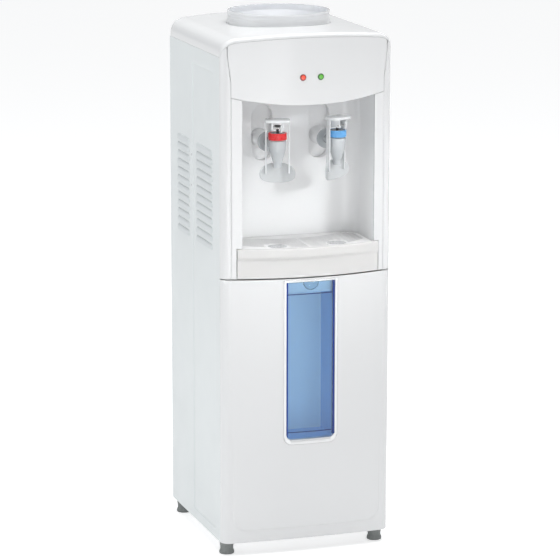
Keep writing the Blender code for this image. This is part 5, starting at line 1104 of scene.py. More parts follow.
@dataclass
class SidePanels:
    """Two coated steel sides, each with a pressed field and two columns of hooded louvres."""

    flange: float = 0.0120
    bend: float = 0.0016
    press: float = 0.0015
    ramp: float = 0.0035
    field_low: Flat = (-0.1220, 0.0420)
    field_high: Flat = (0.0210, 0.8850)
    field_corner: float = 0.0070
    louvres: int = 12
    pitch: float = 0.0155
    slot: float = 0.0040
    lowest: float = 0.5600
    spans: tuple[Flat, Flat] = ((-0.1010, 0.0000), (0.0380, 0.1160))
    hood_height: float = 0.0098
    hood_reach: float = 0.0030
    hood_sheet: float = 0.0005
    hood_end: float = 0.0085
    hood_curve: float = 2.2
    hood_taper: float = 0.55
    hood_drop: float = 0.0004
    apart_along: float = 0.0008
    apart_up: float = 0.0012
    screw_y: float = 0.0240
    screw_heights: Flat = (0.6560, 0.7130)
    screw_turn: float = 1.4

    def _sunk(self, y: float, z: float) -> float:
        """Depth of the pressed field at a point of the side."""
        deep = inside_rounded(y, z, self.field_low, self.field_high, self.field_corner)
        return self.press * ease(deep / self.ramp)

    def _ramps(self, low: float, high: float) -> set[float]:
        """Grid lines on the slopes at the field's two ends."""
        return {edge + way * self.ramp * i / 7 for edge, way in ((low, 1), (high, -1)) for i in range(8)}

    @staticmethod
    def _filled(marks: set[float], plain: Sequence[float], apart: float) -> list[float]:
        """Grid lines at all marks, and at the plain values that keep clear of them."""
        return sorted(marks | {value for value in plain if all(abs(value - mark) > apart for mark in marks)})

    def _columns(self) -> list[Flat]:
        """Run along the folded sheet.

        Returns:
            Inset from the side and y of each column.
        """
        low, high = FORM.wrap + FORM.gap, FORM.back - FORM.sheet - FORM.gap
        bend = self.bend
        start = [(self.flange, low), (bend * 2, low)]
        start += [(bend - x, low + bend - y) for x, y in arc((0, 0), bend, 90, 0, 5)]
        marks = {y for span in self.spans for y in span} | self._ramps(self.field_low[0], self.field_high[0])
        inner = self._filled(marks, spread(low + bend * 2, high - bend * 2, 60), self.apart_along)
        end = [(bend - x, high - bend + y) for x, y in arc((0, 0), bend, 0, 90, 5)]
        return start + [(0.0, y) for y in inner] + end + [(bend * 2, high), (self.flange, high)]

    def _rows(self) -> list[float]:
        """Heights of the grid's rows.

        Returns:
            The heights, close together at the field's ends and at the slots.
        """
        low, high = FORM.floor, FORM.lip_z(FORM.half) - FORM.gap
        bottom, top = self.field_low[1], self.field_high[1]
        marks = {low, high} | self._ramps(bottom, top)
        for edge, way in ((bottom, 1), (top, -1)):
            marks.update(edge + way * self.field_corner * i / 6 for i in range(4, 7))
        for i in range(self.louvres):
            slot = self.lowest + i * self.pitch
            marks.update((slot, slot + self.slot))
        return self._filled(marks, spread(low, high, 120), self.apart_up)

    def _open(self, y: float, z: float) -> bool:
        """Says whether a point of the side lies in a louvre's slot.

        Args:
            y: Place along the side.
            z: Its height.

        Returns:
            Whether the sheet is open there.
        """
        if not any(low < y < high for low, high in self.spans):
            return False
        step = (z - self.lowest) / self.pitch
        return 0 <= step < self.louvres and (step % 1) * self.pitch < self.slot

    def panel(self, side: int, name: str, node: str) -> None:
        """Builds one side.

        Args:
            side: -1 for the left and 1 for the right.
            name: Name of the piece.
            node: The solid that it stands for.
        """
        run = self._columns()

        def spot(u: float, z: float) -> Spot:
            """Point of the outer skin."""
            inset, y = run[round(u)]
            return side * (FORM.half - inset - (self._sunk(y, z) if inset == 0 else 0)), y, z

        def keep(u: float, z: float) -> bool:
            """Whether a cell stays sheet."""
            (first_inset, first), (last_inset, last) = run[int(u)], run[int(u) + 1]
            return bool(first_inset or last_inset) or not self._open((first + last) / 2, z)

        made = Bench.sheet(name, range(len(run)), self._rows(), spot, keep)
        Bench.thicken(made, FORM.sheet, within=(0, 0, FORM.top / 2))
        seat(Bench.smooth(made, 40), "cabinet", COATED_PANEL, node)

    def hoods(self, side: int, name: str, span: Flat) -> None:
        """Builds a column of louvre hoods.

        Args:
            side: -1 for the left and 1 for the right.
            name: Name of the piece.
            span: y of both ends of the slots.
        """
        length, middle = span[1] - span[0], (span[0] + span[1]) / 2

        def spot(u: float, v: float) -> Spot:
            """Finds a point of one hood, which dies into the sheet above and at both ends.

            Args:
                u: Share of the way along it.
                v: Share of the way up it.

            Returns:
                The point.
            """
            inward = min(u, 1 - u) * length
            swell = math.sqrt(max(0.0, 1 - (1 - min(1.0, inward / self.hood_end)) ** 2))
            rise = self.hood_reach * swell * math.sqrt(max(0.0, 1 - v ** self.hood_curve))
            height = v * self.hood_height * mix(self.hood_taper, 1, swell)
            return side * (rise - self.hood_sheet / 2), (u - 0.5) * length, height

        across = [0.5 - 0.5 * math.cos(math.pi * i / 28) for i in range(29)]
        hood = Bench.sheet(name + "_hood", across, [math.sin(math.pi / 2 * i / 8) for i in range(9)], spot)
        Bench.thicken(hood, self.hood_sheet, within=(-side * 0.05, 0, 0.002))
        start = (side * (FORM.half - self._sunk(middle, self.lowest)), middle, self.lowest - self.hood_drop)
        # The hoods take the painted shade of LOUVRE_GREY.
        made = Repeat(name, start=start, count=self.louvres, step=(0, 0, self.pitch)).of(Bench.smooth(hood, 50),
                                                                                         LOUVRE_GREY)
        seat(made, "cabinet", LOUVRE_GREY)

    def build(self) -> None:
        """Builds both sides with their louvres and screws."""
        first, second = self.screw_heights
        for side, label in ((-1, "left"), (1, "right")):
            self.panel(side, f"{label}_side_pressed", f"{label}_side_panel")
            for span, part in zip(self.spans, ("front", "rear")):
                self.hoods(side, f"{label}_{part}_louvres", span)
            screw = Screw().master(f"{label}_side_screw", Vector((side, 0, 0)))
            made = Repeat(f"{label}_side_screws", start=(side * FORM.half, self.screw_y, first), count=2,
                          step=(0, 0, second - first), jitter=(self.screw_turn, 0, 0)).of(screw, ZINC)
            seat(made, "cabinet", ZINC)


@dataclass(frozen=True)
class Screw:
    """Pan-head screw with a cross recess."""

    radius: float = 0.0026
    height: float = 0.0011
    dome: float = 0.7
    root: float = 0.0002
    cross: float = 0.0030
    cross_width: float = 0.0007
    cross_floor: float = 0.35

    def master(self, name: str, way: Vector) -> bpy.types.Object:
        """Makes one head about the origin.

        Args:
            name: Name of the object.
            way: Direction that it faces.

        Returns:
            The head.
        """
        profile = [(0.0, self.height)]
        for angle in spread(15, 80, 6):
            share = math.radians(angle)
            profile.append((self.radius * math.sin(share), self.height * math.cos(share) ** self.dome))
        profile += [(self.radius, 0.0), (self.radius, -self.root), (0.0, -self.root)]
        head = Bench.turned(name, profile, sides=24)
        long, wide = self.cross / 2, self.cross_width / 2
        for turn in (0, 90):
            tool = Bench.box(name + "_cross", (-long, -wide, self.height * self.cross_floor),
                             (long, wide, self.height * 9))
            tool.data.transform(Matrix.Rotation(math.radians(turn), 4, "Z"))
            Bench.cut(head, tool)
        head.data.transform(way.to_track_quat("Z", "Y").to_matrix().to_4x4())
        return Bench.smooth(head, 35)


@dataclass
class RearPanel:
    """Coated rear sheet with its vents and openings, and the screws at its edges."""

    cooling_height: float = 0.7900
    vents: int = 8
    vent_pitch: float = 0.0100
    vent_slot: float = 0.0045
    vent_width: float = 0.0840
    switch_box: tuple[Flat, Flat] = ((0.0730, 0.6772), (0.1170, 0.7028))
    inlet_box: tuple[Flat, Flat] = ((0.0792, 0.6077), (0.1108, 0.6323))
    drain: Flat = (-0.0850, 0.5650)
    drain_radius: float = 0.0063
    corner: float = 0.0020
    box_corner: float = 0.0010
    edge: float = 0.0003
    screw_inset: float = 0.0080
    screw_ends: Flat = (0.0200, 0.0120)
    screw_rows: int = 4
    screw_turn: float = 1.5

    def build(self) -> None:
        """Builds the sheet and its screws."""
        half, top = FORM.half - FORM.gap, FORM.lip_z(FORM.half) - FORM.gap
        loops = [rounded_rectangle((-half, FORM.floor), (half, top), self.corner, 4)]
        first = self.cooling_height - self.vent_pitch * (self.vents - 1) / 2
        for i in range(self.vents):
            loops.append(stadium((0, first + i * self.vent_pitch), self.vent_width / 2, self.vent_slot / 2,
                                 upright=False, steps=8))
        loops += [rounded_rectangle(low, high, self.box_corner, 3) for low, high in (self.switch_box, self.inlet_box)]
        loops.append(arc(self.drain, self.drain_radius, 0, 360, 48)[:-1])
        made = Bench.prism("rear_sheet", loops, FORM.back - FORM.sheet, FORM.back, "Y")
        seat(Bench.bevel(made, self.edge), "cabinet", COATED_PANEL, "rear_panel")
        head = Screw(radius=0.0032, height=0.0014).master("rear_screw", Vector((0, 1, 0)))
        across, low, high = half - self.screw_inset, FORM.floor + self.screw_ends[0], top - self.screw_ends[1]
        screws = Repeat("rear_screws", start=(-across, FORM.back, low), count=2, step=(2 * across, 0, 0),
                        rows=self.screw_rows, row_step=(0, 0, (high - low) / (self.screw_rows - 1)),
                        jitter=(0, self.screw_turn, 0)).of(head, ZINC)
        seat(screws, "cabinet", ZINC)


@dataclass
class Feet:
    """Four turned rubber feet with a waist and a ring of ribs."""

    radius: float = 0.0135
    waist: float = 0.0120
    pad: float = 0.0050
    shoulder: float = 0.0030
    groove: float = 0.0020
    boss: float = 0.0045
    boss_height: float = 0.0080
    round_by: float = 0.0009
    across: float = 0.1430
    front_y: float = -0.1320
    back_y: float = 0.1460
    ribs: int = 24
    rib_half: float = 0.0004
    rib_proud: float = 0.0003
    rib_ends: Flat = (0.0008, 0.0042)

    def _foot(self, label: str, x: float, y: float) -> None:
        """Builds one foot and its ribs.

        Args:
            label: Its place in words.
            x: x of its axis.
            y: y of its axis.
        """
        top, middle = FORM.foot, self.pad * 2
        profile = [(0.0, top + self.boss_height), (self.boss, top + self.boss_height), (self.boss, top),
                   (self.radius, top), (self.radius, top - self.shoulder), (self.waist, middle + self.groove),
                   (self.waist, middle - self.groove), (self.radius, self.pad), (self.radius, 0.0), (0.0, 0.0)]
        foot = Bench.turned(f"{label}_foot_turned", soften(profile, self.round_by, closed=False), (x, y), 64)
        seat(foot, "cabinet", RUBBER, f"{label}_foot")
        low, high = self.rib_ends
        rib = Bench.box("foot_rib", (self.radius - self.rib_half, -self.rib_half, low),
                        (self.radius + self.rib_proud, self.rib_half, high))
        ribs = Repeat(f"{label}_foot_ribs", start=(x, y, 0), count=self.ribs,
                      turn=(0, 0, 2 * math.pi / self.ribs)).of(Bench.bevel(rib, self.rib_half / 2), RUBBER)
        seat(ribs, "cabinet", RUBBER)

    def build(self) -> None:
        """Builds all four feet."""
        for end, y in (("front", self.front_y), ("rear", self.back_y)):
            for side, label in ((-1, "left"), (1, "right")):
                self._foot(f"{end}_{label}", side * self.across, y)


# Top

@dataclass
class TopCover:
    """Crowned cover with round edges, whose mouth turns down into the collar's well."""

    back_corner: float = 0.0060
    collar_radius: float = 0.0940
    collar_y: float = 0.0050
    mouth_round: float = 0.0016
    well_floor: float = 0.9310
    ledge: float = 0.0860
    side_top: float = 0.9135
    wall_share: float = 0.9

    def _outline(self) -> list[tuple[float, float, bool]]:
        """Plan points round the cabinet.

        Returns:
            x and y of each point, and whether it lies on the front.
        """
        corner, right, back = self.back_corner, FORM.half, FORM.back
        points = [(x, FORM.face_y(x), True) for x, _, _ in FORM.stations(14, 72)]
        side = spread(FORM.wrap, back - corner, 30)[1:-1]
        plain = [(right, y) for y in side] + arc((right - corner, back - corner), corner, 0, 90, 6)
        plain += [(x, back) for x in spread(right - corner, corner - right, 30)[1:-1]]
        plain += arc((corner - right, back - corner), corner, 90, 180, 6) + [(-right, y) for y in reversed(side)]
        return points + [(x, y, False) for x, y in plain]

    def build(self) -> None:
        """Builds the cover as one sheet from its skirt to the ledge of the well."""
        outline = self._outline()
        edge = FORM.edge_radius
        insets = [edge * (1 - math.cos(math.radians(a))) for a in spread(0, 90, 9)]
        insets += [edge + (FORM.side_radius - edge) * t for t in spread(0, 1, 9)[1:]]
        rows: list[tuple[str, float]] = [("skirt", 0.0)] + [("edge", i) for i in insets]
        rows += [("top", t) for t in spread(0, 1, 22)[1:]]
        rows += [("mouth", a) for a in spread(0, 90, 5)[1:]]
        rows += [(kind, t) for kind in ("well", "ledge") for t in spread(0, 1, 4)[1:]]
        inner = self.collar_radius + FORM.gap
        mouth = inner + self.mouth_round

        def spot(column: float, row: float) -> Spot:
            """Finds a point of the cover's outer skin.

            Args:
                column: Number of the point in plan.
                row: Number of the row, from the skirt inward.

            Returns:
                The point.
            """
            x, y, on_front = outline[round(column) % len(outline)]
            kind, value = rows[round(row)]
            if kind in ("skirt", "edge"):
                place = (x * (1 - value / FORM.half), y * (1 - value / abs(FORM.front)))
                drop = edge - math.sqrt(max(0.0, edge ** 2 - (edge - min(edge, value)) ** 2))
                if kind == "skirt":
                    return *place, FORM.lip_z(x) if on_front else self.side_top
                return *place, FORM.cover_z(place[0]) - drop
            centre = Vector((0, self.collar_y))
            out = (Vector((x, y)) - centre).normalized()
            brim = FORM.cover_z(out.x * mouth)
            if kind == "top":
                share = 1 - FORM.side_radius / FORM.half, 1 - FORM.side_radius / abs(FORM.front)
                at = Vector((x * share[0], y * share[1])).lerp(out * mouth + centre, value)
                return at.x, at.y, FORM.cover_z(at.x)
            if kind == "mouth":
                turn = math.radians(value)
                radius = mouth - self.mouth_round * math.sin(turn)
                height = brim - self.mouth_round * (1 - math.cos(turn))
            elif kind == "well":
                radius, height = inner, mix(brim - self.mouth_round, self.well_floor, value)
            else:
                radius, height = mix(inner, self.ledge, value), self.well_floor
            at = out * radius + centre
            return at.x, at.y, height

        made = Bench.sheet("top_cover_moulded", range(len(outline) + 1), range(len(rows)), spot)
        Bench.thicken(made, FORM.shell * self.wall_share, within=(0, 0, 0.80))
        seat(Bench.smooth(made, 45), "cabinet", WHITE_GLOSS, "top_cover")


@dataclass
class BottleSeat:
    """Milky collar with its funnel, and the spike that opens the bottle's cap."""

    radius: float = 0.0940
    top: float = 0.9750
    wall: float = 0.0025
    centre_y: float = 0.0050
    seat_depth: float = 0.0080
    rim_height: float = 0.9620
    bowl_radius: float = 0.0475
    bowl_height: float = 0.9280
    neck_radius: float = 0.0325
    neck_height: float = 0.9045
    spigot: float = 0.0065
    well_floor: float = 0.9310
    foot: float = 0.8926
    step: float = 0.0006
    round_by: float = 0.0006
    bowl_slope: float = 0.1
    bends: tuple[tuple[int, float], ...] = ((0, 0.9560), (1, 0.9566), (1, 0.9632), (2, 0.9638), (2, 0.9700),
                                            (1, 0.9712))
    spike_radius: float = 0.0100
    spike_bore: float = 0.0075
    spike_top: float = 0.9550
    nose_height: float = 0.0100
    spike_round: float = 0.0010
    bore_ends: Flat = (0.0120, 0.0050)
    hole_ends: Flat = (0.0300, 0.0150)

    def collar(self) -> None:
        """Builds the collar with its bowl, whose upward faces are painted darker than its wall as shade."""
        wall, radius, low = self.wall, self.radius, self.well_floor + FORM.gap
        outer = [(radius, low)] + [(radius - steps * self.step, z) for steps, z in self.bends]
        outer += [(radius - self.step, self.top), (radius - wall * 2, self.top)]
        neck, spigot = self.neck_radius, self.neck_radius - self.spigot
        inner = [(radius - self.seat_depth, self.rim_height + wall),
                 (self.bowl_radius - wall, self.bowl_height + wall), (neck - wall, self.neck_height + wall / 2),
                 (neck - wall, self.foot + wall), (spigot, self.foot + wall), (spigot, self.foot),
                 (neck, self.foot), (neck, self.neck_height),
                 (self.bowl_radius, self.bowl_height), (radius - wall, self.rim_height), (radius - wall, low)]
        profile = soften(list(reversed(outer + inner)), self.round_by)
        made = Bench.turned("bottle_collar_moulded", profile, (0, self.centre_y), 144)
        seat(made, "bottle_collar", MILKY, "bottle_collar")

        def in_bowl(face: bpy.types.MeshPolygon) -> bool:
            """Whether a face looks up out of the bowl."""
            away = math.hypot(face.center.x, face.center.y - self.centre_y)
            return away < radius - wall * 1.5 and face.normal.z > self.bowl_slope

        # Painted shade: the bowl's upward faces take the darker copy.
        repaint(made, in_bowl, BOWL_SHADE)

    def spike(self) -> None:
        """Builds the spike with its foot plate and cross hole."""
        low = self.foot + self.wall + FORM.gap
        plate, rim = low + self.wall, self.neck_radius - self.wall - FORM.gap
        radius, bore, top, y = self.spike_radius, self.spike_bore, self.spike_top, self.centre_y
        wide, narrow = (top - drop for drop in self.bore_ends)
        outline = [(bore / 2, top), (radius / 2, top), (radius, top - self.nose_height), (radius, plate),
                   (rim, plate), (rim, low), (bore, low), (bore, wide), (bore / 2, narrow)]
        made = Bench.turned("feed_spike_moulded", soften(outline, self.spike_round), (0, y), 72)
        bottom, roof = (top - drop for drop in self.hole_ends)
        hole = Bench.box("spike_hole", (-radius * 2, y - bore / 3, bottom), (radius * 2, y + bore / 3, roof))
        Bench.cut(made, Bench.bevel(hole, 0.0015, 3))
        seat(Bench.smooth(made, 40), "bottle_collar", MILKY, "feed_spike")

    def build(self) -> None:
        """Builds the collar and the spike."""
        self.collar()
        self.spike()


# Upper front

@dataclass
class UpperFront:
    """Front frame, the fascia set into it, and the two lamps."""

    frame_wall: float = 0.0058
    alcove_half: float = 0.1243
    alcove_top: float = 0.8620
    tray_half: float = 0.1340
    notch_top: float = 0.5722
    fascia_wall: float = 0.0025
    fascia_gap: float = 0.0006
    line_half: float = 0.0007
    line_depth: float = 0.0012
    fascia_top_half: float = 0.1485
    flare_height: float = 0.8700
    fascia_middle: float = 0.8275
    fascia_rise: float = 0.0155
    lamp_spacing: float = 0.0330
    lamp_height: float = 0.8770
    lamp_radius: float = 0.0055
    lamp_dome: float = 0.0022
    lamp_flange: float = 0.0015
    board_width: float = 0.0660
    flare_speed: float = 1.5
    rim_share: float = 0.72

    def _lamp_rods(self, name: str, radius: float) -> list[bpy.types.Object]:
        """Tools that bore the lamps' holes."""
        x, z = self.lamp_spacing / 2, self.lamp_height
        return [Bench.rod(name, (side * x, FORM.far, z), (side * x, FORM.near, z), radius) for side in (-1, 1)]

    def _fascia_slab(self, name: str, margin: float, front: float, back: float) -> bpy.types.Object:
        """Builds the fascia's own shape, or its recess when grown.

        Args:
            name: Name of the object.
            margin: How far it is grown.
            front: How far its front lies behind the face.
            back: How far its back lies behind the face.

        Returns:
            The block.
        """
        steps, low_rows, rows = 72, 4, 16
        straight, flare = margin + FORM.crease, margin + self.fascia_top_half

        def point(column: int, row: int, depth: float) -> Spot:
            """Finds a point of one skin.

            Args:
                column: Its column.
                row: Its row.
                depth: How far it lies behind the face.

            Returns:
                The point.
            """
            share = 2 * column / steps - 1
            up = max(0.0, (row - low_rows) / (rows - low_rows))
            x = mix(straight, flare, min(1.0, up * self.flare_speed)) * share
            low = self.fascia_middle - margin + self.fascia_rise * share ** 2
            if row <= low_rows:
                height = mix(low, self.flare_height, row / low_rows)
            else:
                height = mix(self.flare_height, FORM.lip_z(x) + FORM.shell, up)
            return x, FORM.face_y(x) + depth, height

        return Bench.slab(name, steps, rows, lambda c, r: point(c, r, front), lambda c, r: point(c, r, back))

    def frame(self) -> None:
        """Builds the frame round the alcove."""
        stations = FORM.stations(12, 72)
        rows = 36

        def height(x: float, row: int) -> float:
            """Height of a row, which meets the cover's rim at the top."""
            return mix(FORM.seam + FORM.seam_gap / 2, FORM.lip_z(x) + FORM.shell, row / rows)

        def outer(column: int, row: int) -> Spot:
            """Point of the face."""
            x = stations[column][0]
            return x, FORM.face_y(x), height(x, row)

        def inner(column: int, row: int) -> Spot:
            """Finds a point of the back.

            Args:
                column: Its column.
                row: Its row.

            Returns:
                The point.
            """
            x, angle, side = stations[column]
            y = FORM.face_y(x) + self.frame_wall * math.cos(angle)
            return x - side * FORM.shell * math.sin(angle), y, height(x, row)

        made = Bench.slab("front_frame_moulded", len(stations) - 1, rows, outer, inner)
        low = FORM.seam - FORM.overrun
        alcove = Bench.box("alcove_cut", (-self.alcove_half, FORM.far, low),
                           (self.alcove_half, FORM.near, self.alcove_top))
        notch = Bench.box("notch_cut", (-self.tray_half, FORM.far, low), (self.tray_half, FORM.near, self.notch_top))
        recess = self._fascia_slab("fascia_cut", self.fascia_gap, -FORM.overrun, self.fascia_wall + FORM.gap)
        holes = self._lamp_rods("lamp_cut", self.lamp_radius + self.lamp_flange + FORM.gap)
        lines = [Bench.box("crease_line", (side * FORM.crease - self.line_half, FORM.far, low),
                           (side * FORM.crease + self.line_half, FORM.front + self.line_depth,
                            self.fascia_middle + self.fascia_rise))
                 for side in (-1, 1)]
        Bench.cut(made, FORM.above_lip("lip_cut"), alcove, notch, recess, *holes, *lines)
        seat(Bench.bevel(made, 0.0006, 3, 42), "cabinet", WHITE_GLOSS, "front_frame")

    def fascia(self) -> None:
        """Builds the fascia."""
        made = self._fascia_slab("fascia_moulded", 0, 0, self.fascia_wall)
        Bench.cut(made, FORM.above_lip("lip_cut"), *self._lamp_rods("lamp_cut", self.lamp_radius + FORM.gap))
        seat(Bench.bevel(made, 0.0007, 3, 42), "cabinet", WHITE_GLOSS, "fascia")

    def lamps(self) -> None:
        """Builds both lenses, each with a darker rim."""
        spacing, radius, wide = self.lamp_spacing / 2, self.lamp_radius, self.lamp_radius + self.lamp_flange
        face = FORM.face_y(spacing)
        tip, shoulder = face - self.lamp_dome, face + self.fascia_wall + FORM.gap * 2
        board = FORM.face_y(self.board_width / 2) + self.frame_wall + FORM.facet
        profile = [(0.0, -tip)]
        for angle in spread(0, 80, 12)[1:]:
            turn = math.radians(angle)
            profile.append((radius * math.sin(turn), -tip - self.lamp_dome * (1 - math.cos(turn))))
        profile += [(radius, -face), (radius, -shoulder), (wide, -shoulder), (wide, -board), (0.0, -board)]
        for side, label, finish, rim in ((-1, "red", RED_LENS, RED_RIM), (1, "green", GREEN_LENS, GREEN_RIM)):
            middle = Vector((side * spacing, 0, self.lamp_height))
            lens = Bench.turned(f"{label}_lamp_lens", profile, sides=48)
            lens.data.transform(Matrix.Translation(middle) @ Matrix.Rotation(math.radians(90), 4, "X"))
            seat(lens, "cabinet", finish, f"{label}_lamp")
            repaint(lens, lambda spot: (spot.center - middle).xz.length > radius * self.rim_share, rim)

    def build(self) -> None:
        """Builds the whole upper front."""
        self.frame()
        self.fascia()
        self.lamps()


# Alcove

@dataclass
class Alcove:
    """Moulded recess behind the taps: a wall with round corners, two niches and two bosses."""

    half: float = 0.1243
    top: float = 0.8620
    wall_y: float = -0.0660
    corner: float = 0.0280
    wall: float = 0.0020
    frame_wall: float = 0.0058
    floor: float = 0.5215
    niche_spacing: float = 0.1080
    niche_half: float = 0.0195
    niche_low: float = 0.7110
    niche_high: float = 0.8130
    niche_depth: float = 0.0120
    boss_radius: float = 0.0165
    boss_y: float = -0.1007
    tap_spacing: float = 0.1120
    shank_radius: float = 0.0083
    shank_height: float = 0.7520

    def front_y(self, x: float) -> float:
        """Front edge of the liner, just behind the frame."""
        return FORM.face_y(x) + self.frame_wall + FORM.gap + FORM.facet

    def path(self, grow: float, steps: int = 16) -> list[Flat]:
        """Plan points round the wall.

        Args:
            grow: How far the wall's face is moved outward.
            steps: Straight pieces in each corner.

        Returns:
            The points, from the left front edge to the right one.
        """
        half, back, radius = self.half + FORM.gap + grow, self.wall_y + grow, self.corner + grow
        front = self.front_y(self.half + FORM.gap + self.wall)
        return mirrored([(-half, front)] + arc((-half + radius, back - radius), radius, 180, 90, steps))

    def _plate(self, name: str, low: float, high: float) -> bpy.types.Object:
        """Builds the floor or the ceiling.

        Args:
            name: Name of the object.
            low: Height of its lower side.
            high: Height of its upper side.

        Returns:
            The plate.
        """
        path = self.path(self.wall * 0.6)
        edge = spread(path[-1][0], path[0][0], 49)[1:-1]
        return Bench.prism(name, [path + [(x, self.front_y(x)) for x in edge]], low, high)

    def build(self) -> None:
        """Builds the liner."""
        heights = (self.floor - self.wall / 2, self.top + self.wall / 2)
        skin, core = self.path(self.wall), self.path(0)
        liner = Bench.slab("alcove_liner_moulded", len(core) - 1, 1, lambda c, r: (*skin[c], heights[r]),
                           lambda c, r: (*core[c], heights[r]))
        Bench.unite(liner, self._plate("floor", self.floor - self.wall, self.floor),
                    self._plate("ceiling", self.top, self.top + self.wall))
        back, wall = self.wall_y + self.niche_depth, self.wall
        middle, reach = (self.niche_low + self.niche_high) / 2, (self.niche_high - self.niche_low) / 2
        for side in (-1, 1):
            centre = (side * self.niche_spacing / 2, middle)
            x, z = side * self.tap_spacing / 2, self.shank_height
            pocket = Bench.prism("pocket", [stadium(centre, reach + wall, self.niche_half + wall)],
                                 self.wall_y + wall / 2, back + wall, "Y")
            niche = Bench.prism("niche", [stadium(centre, reach, self.niche_half)],
                                self.wall_y - FORM.overrun, back, "Y")
            boss = Bench.rod("boss", (x, self.boss_y, z), (x, back + wall / 2, z), self.boss_radius, 64)
            bore = Bench.rod("bore", (x, self.boss_y - FORM.overrun, z), (x, back + FORM.overrun, z),
                             self.shank_radius, 48)
            Bench.unite(liner, pocket)
            Bench.cut(liner, niche)
            Bench.unite(liner, boss)
            Bench.cut(liner, bore)
        # The liner's white is painted lighter than the front's, standing in for light in the alcove.
        seat(Bench.bevel(liner, 0.0008, 3, 45), "cabinet", LINER_WHITE, "alcove_liner")


# Drip tray and grille

@dataclass
class DripTray:
    """Basin with a bowed face under a rolled lip, and the slotted grille that lies in it."""

    half: float = 0.1340
    top: float = 0.5715
    lip_height: float = 0.0150
    crease_height: float = 0.0220
    lip_bow: float = 0.0265
    lip_proud: float = 0.0020
    throat_bow: float = 0.0225
    wall: float = 0.0020
    clearance: float = 0.0008
    rim: float = 0.0080
    grille: float = 0.0030
    ledge: float = 0.0020
    slot_width: float = 0.0038
    slot_pitch: float = 0.0092
    slots: int = 9
    slot_radius: float = 0.1750
    slot_rib: float = 0.0050
    dip_radius: float = 0.0175
    dip_depth: float = 0.0018
    drain_radius: float = 0.0016
    tap_spacing: float = 0.1120
    tap_y: float = -0.1620
    roll: float = 0.0026
    skin: float = 0.0002
    slot_piece: float = 0.0030
    dip_rim: float = 1.02
    dip_above: float = 0.0040
    wall_slope: float = 0.6
    alcove: Alcove = field(default_factory=Alcove)

    def edge(self, x: float, bow: float, proud: float = 0.0) -> float:
        """y of the tray's front at x, level with the face at its ends."""
        ends = FORM.face_y(self.half)
        return ends - (bow - (FORM.front - ends)) * (1 - (x / self.half) ** 2) - proud

    def lip(self, x: float) -> float:
        """y of the lip at x."""
        return self.edge(x, self.lip_bow, self.lip_proud)

    def plan(self, shrink: float, front: Callable[[float], float], steps: int = 48) -> list[Flat]:
        """Plan outline inside the alcove.

        Args:
            shrink: How far it keeps from the alcove's wall.
            front: y of its front edge for an x.
            steps: Straight pieces in that edge.

        Returns:
            The outline.
        """
        path = self.alcove.path(-shrink)[1:-1]
        half = path[-1][0]
        return path + [(x, front(x)) for x in spread(half, -half, steps + 1)]

    def _profile(self) -> list[tuple[float, float, float]]:
        """Rows of the face.

        Returns:
            Height, bow and how far it stands proud.
        """
        low, roll, top = FORM.seam + FORM.seam_gap / 2 + FORM.gap, self.roll, self.top
        crease, lip = top - self.crease_height, top - self.lip_height
        rows = [(z, mix(FORM.bow, self.throat_bow, (z - low) / (crease - low)), 0.0) for z in spread(low, crease, 14)]
        for share in spread(0, 1, 9)[1:]:
            bow = mix(self.throat_bow, self.lip_bow, ease(share))
            rows.append((mix(crease, lip, share), bow, self.lip_proud * ease(share)))
        rows += [(z, self.lip_bow, self.lip_proud) for z in spread(lip, top - roll, 5)[1:]]
        for angle in spread(0, 90, 7)[1:]:
            turn = math.radians(angle)
            proud = self.lip_proud - roll * (1 - math.cos(turn))
            rows.append((top - roll + roll * math.sin(turn), self.lip_bow, proud))
        return rows

    def tray(self) -> None:
        """Builds the tray."""
        half, rows = self.half - FORM.gap * 4, self._profile()
        across = spread(-half, half, 97)
        made = Bench.slab("drip_tray_moulded", 96, len(rows) - 1,
                          lambda c, r: (across[c], self.edge(across[c], rows[r][1], rows[r][2]), rows[r][0]),
                          lambda c, r: (across[c], FORM.face_y(across[c]) + FORM.shell, rows[r][0]))
        floor = self.alcove.floor + FORM.gap
        seat_height = self.top - self.grille - FORM.gap
        basin = Bench.prism("basin", [self.plan(self.clearance, lambda x: FORM.face_y(x) + self.wall / 2)],
                            floor, self.top)
        inside = Bench.prism("inside", [self.plan(self.clearance + self.wall + self.ledge,
                                                  lambda x: FORM.face_y(x) + FORM.shell + self.wall)],
                             floor + self.wall, seat_height + self.grille / 2)
        bed = Bench.prism("bed", [self.plan(self.clearance + self.wall, lambda x: self.lip(x) + self.rim)],
                          seat_height, self.top + FORM.overrun)
        Bench.cut(Bench.unite(made, basin), inside, bed)
        seat(Bench.bevel(made, 0.0005, 2, 45), "drip_tray", TRAY_WHITE, "drip_tray")

    def _slot_y(self, x: float, index: int, offset: float = 0.0) -> float:
        """y of a slot's line at x."""
        start = self.lip(0) + self.rim + self.slot_rib + self.slot_width / 2 + index * self.slot_pitch
        return start + self.slot_radius - math.sqrt((self.slot_radius + offset) ** 2 - x ** 2)

    def _limit(self, index: int) -> float:
        """Finds how far out a slot may run.

        Args:
            index: Number of the slot from the front.

        Returns:
            The greatest x, or 0 where there is no room.
        """
        half = self.alcove.half - self.clearance - self.wall - self.slot_rib
        back = self.alcove.wall_y - self.clearance - self.wall - self.slot_rib
        corner = self.alcove.corner - self.clearance - self.wall
        limit = half
        while limit > 0:
            y = self._slot_y(limit, index) + self.slot_width / 2
            over_x, over_y = max(0.0, limit - (half - corner)), max(0.0, y - (back - corner))
            front = self.lip(limit) + self.rim + self.slot_rib
            if math.hypot(over_x, over_y) < corner and y < back and y - self.slot_width > front:
                return limit
            limit -= self.slot_rib / 4
        return 0.0

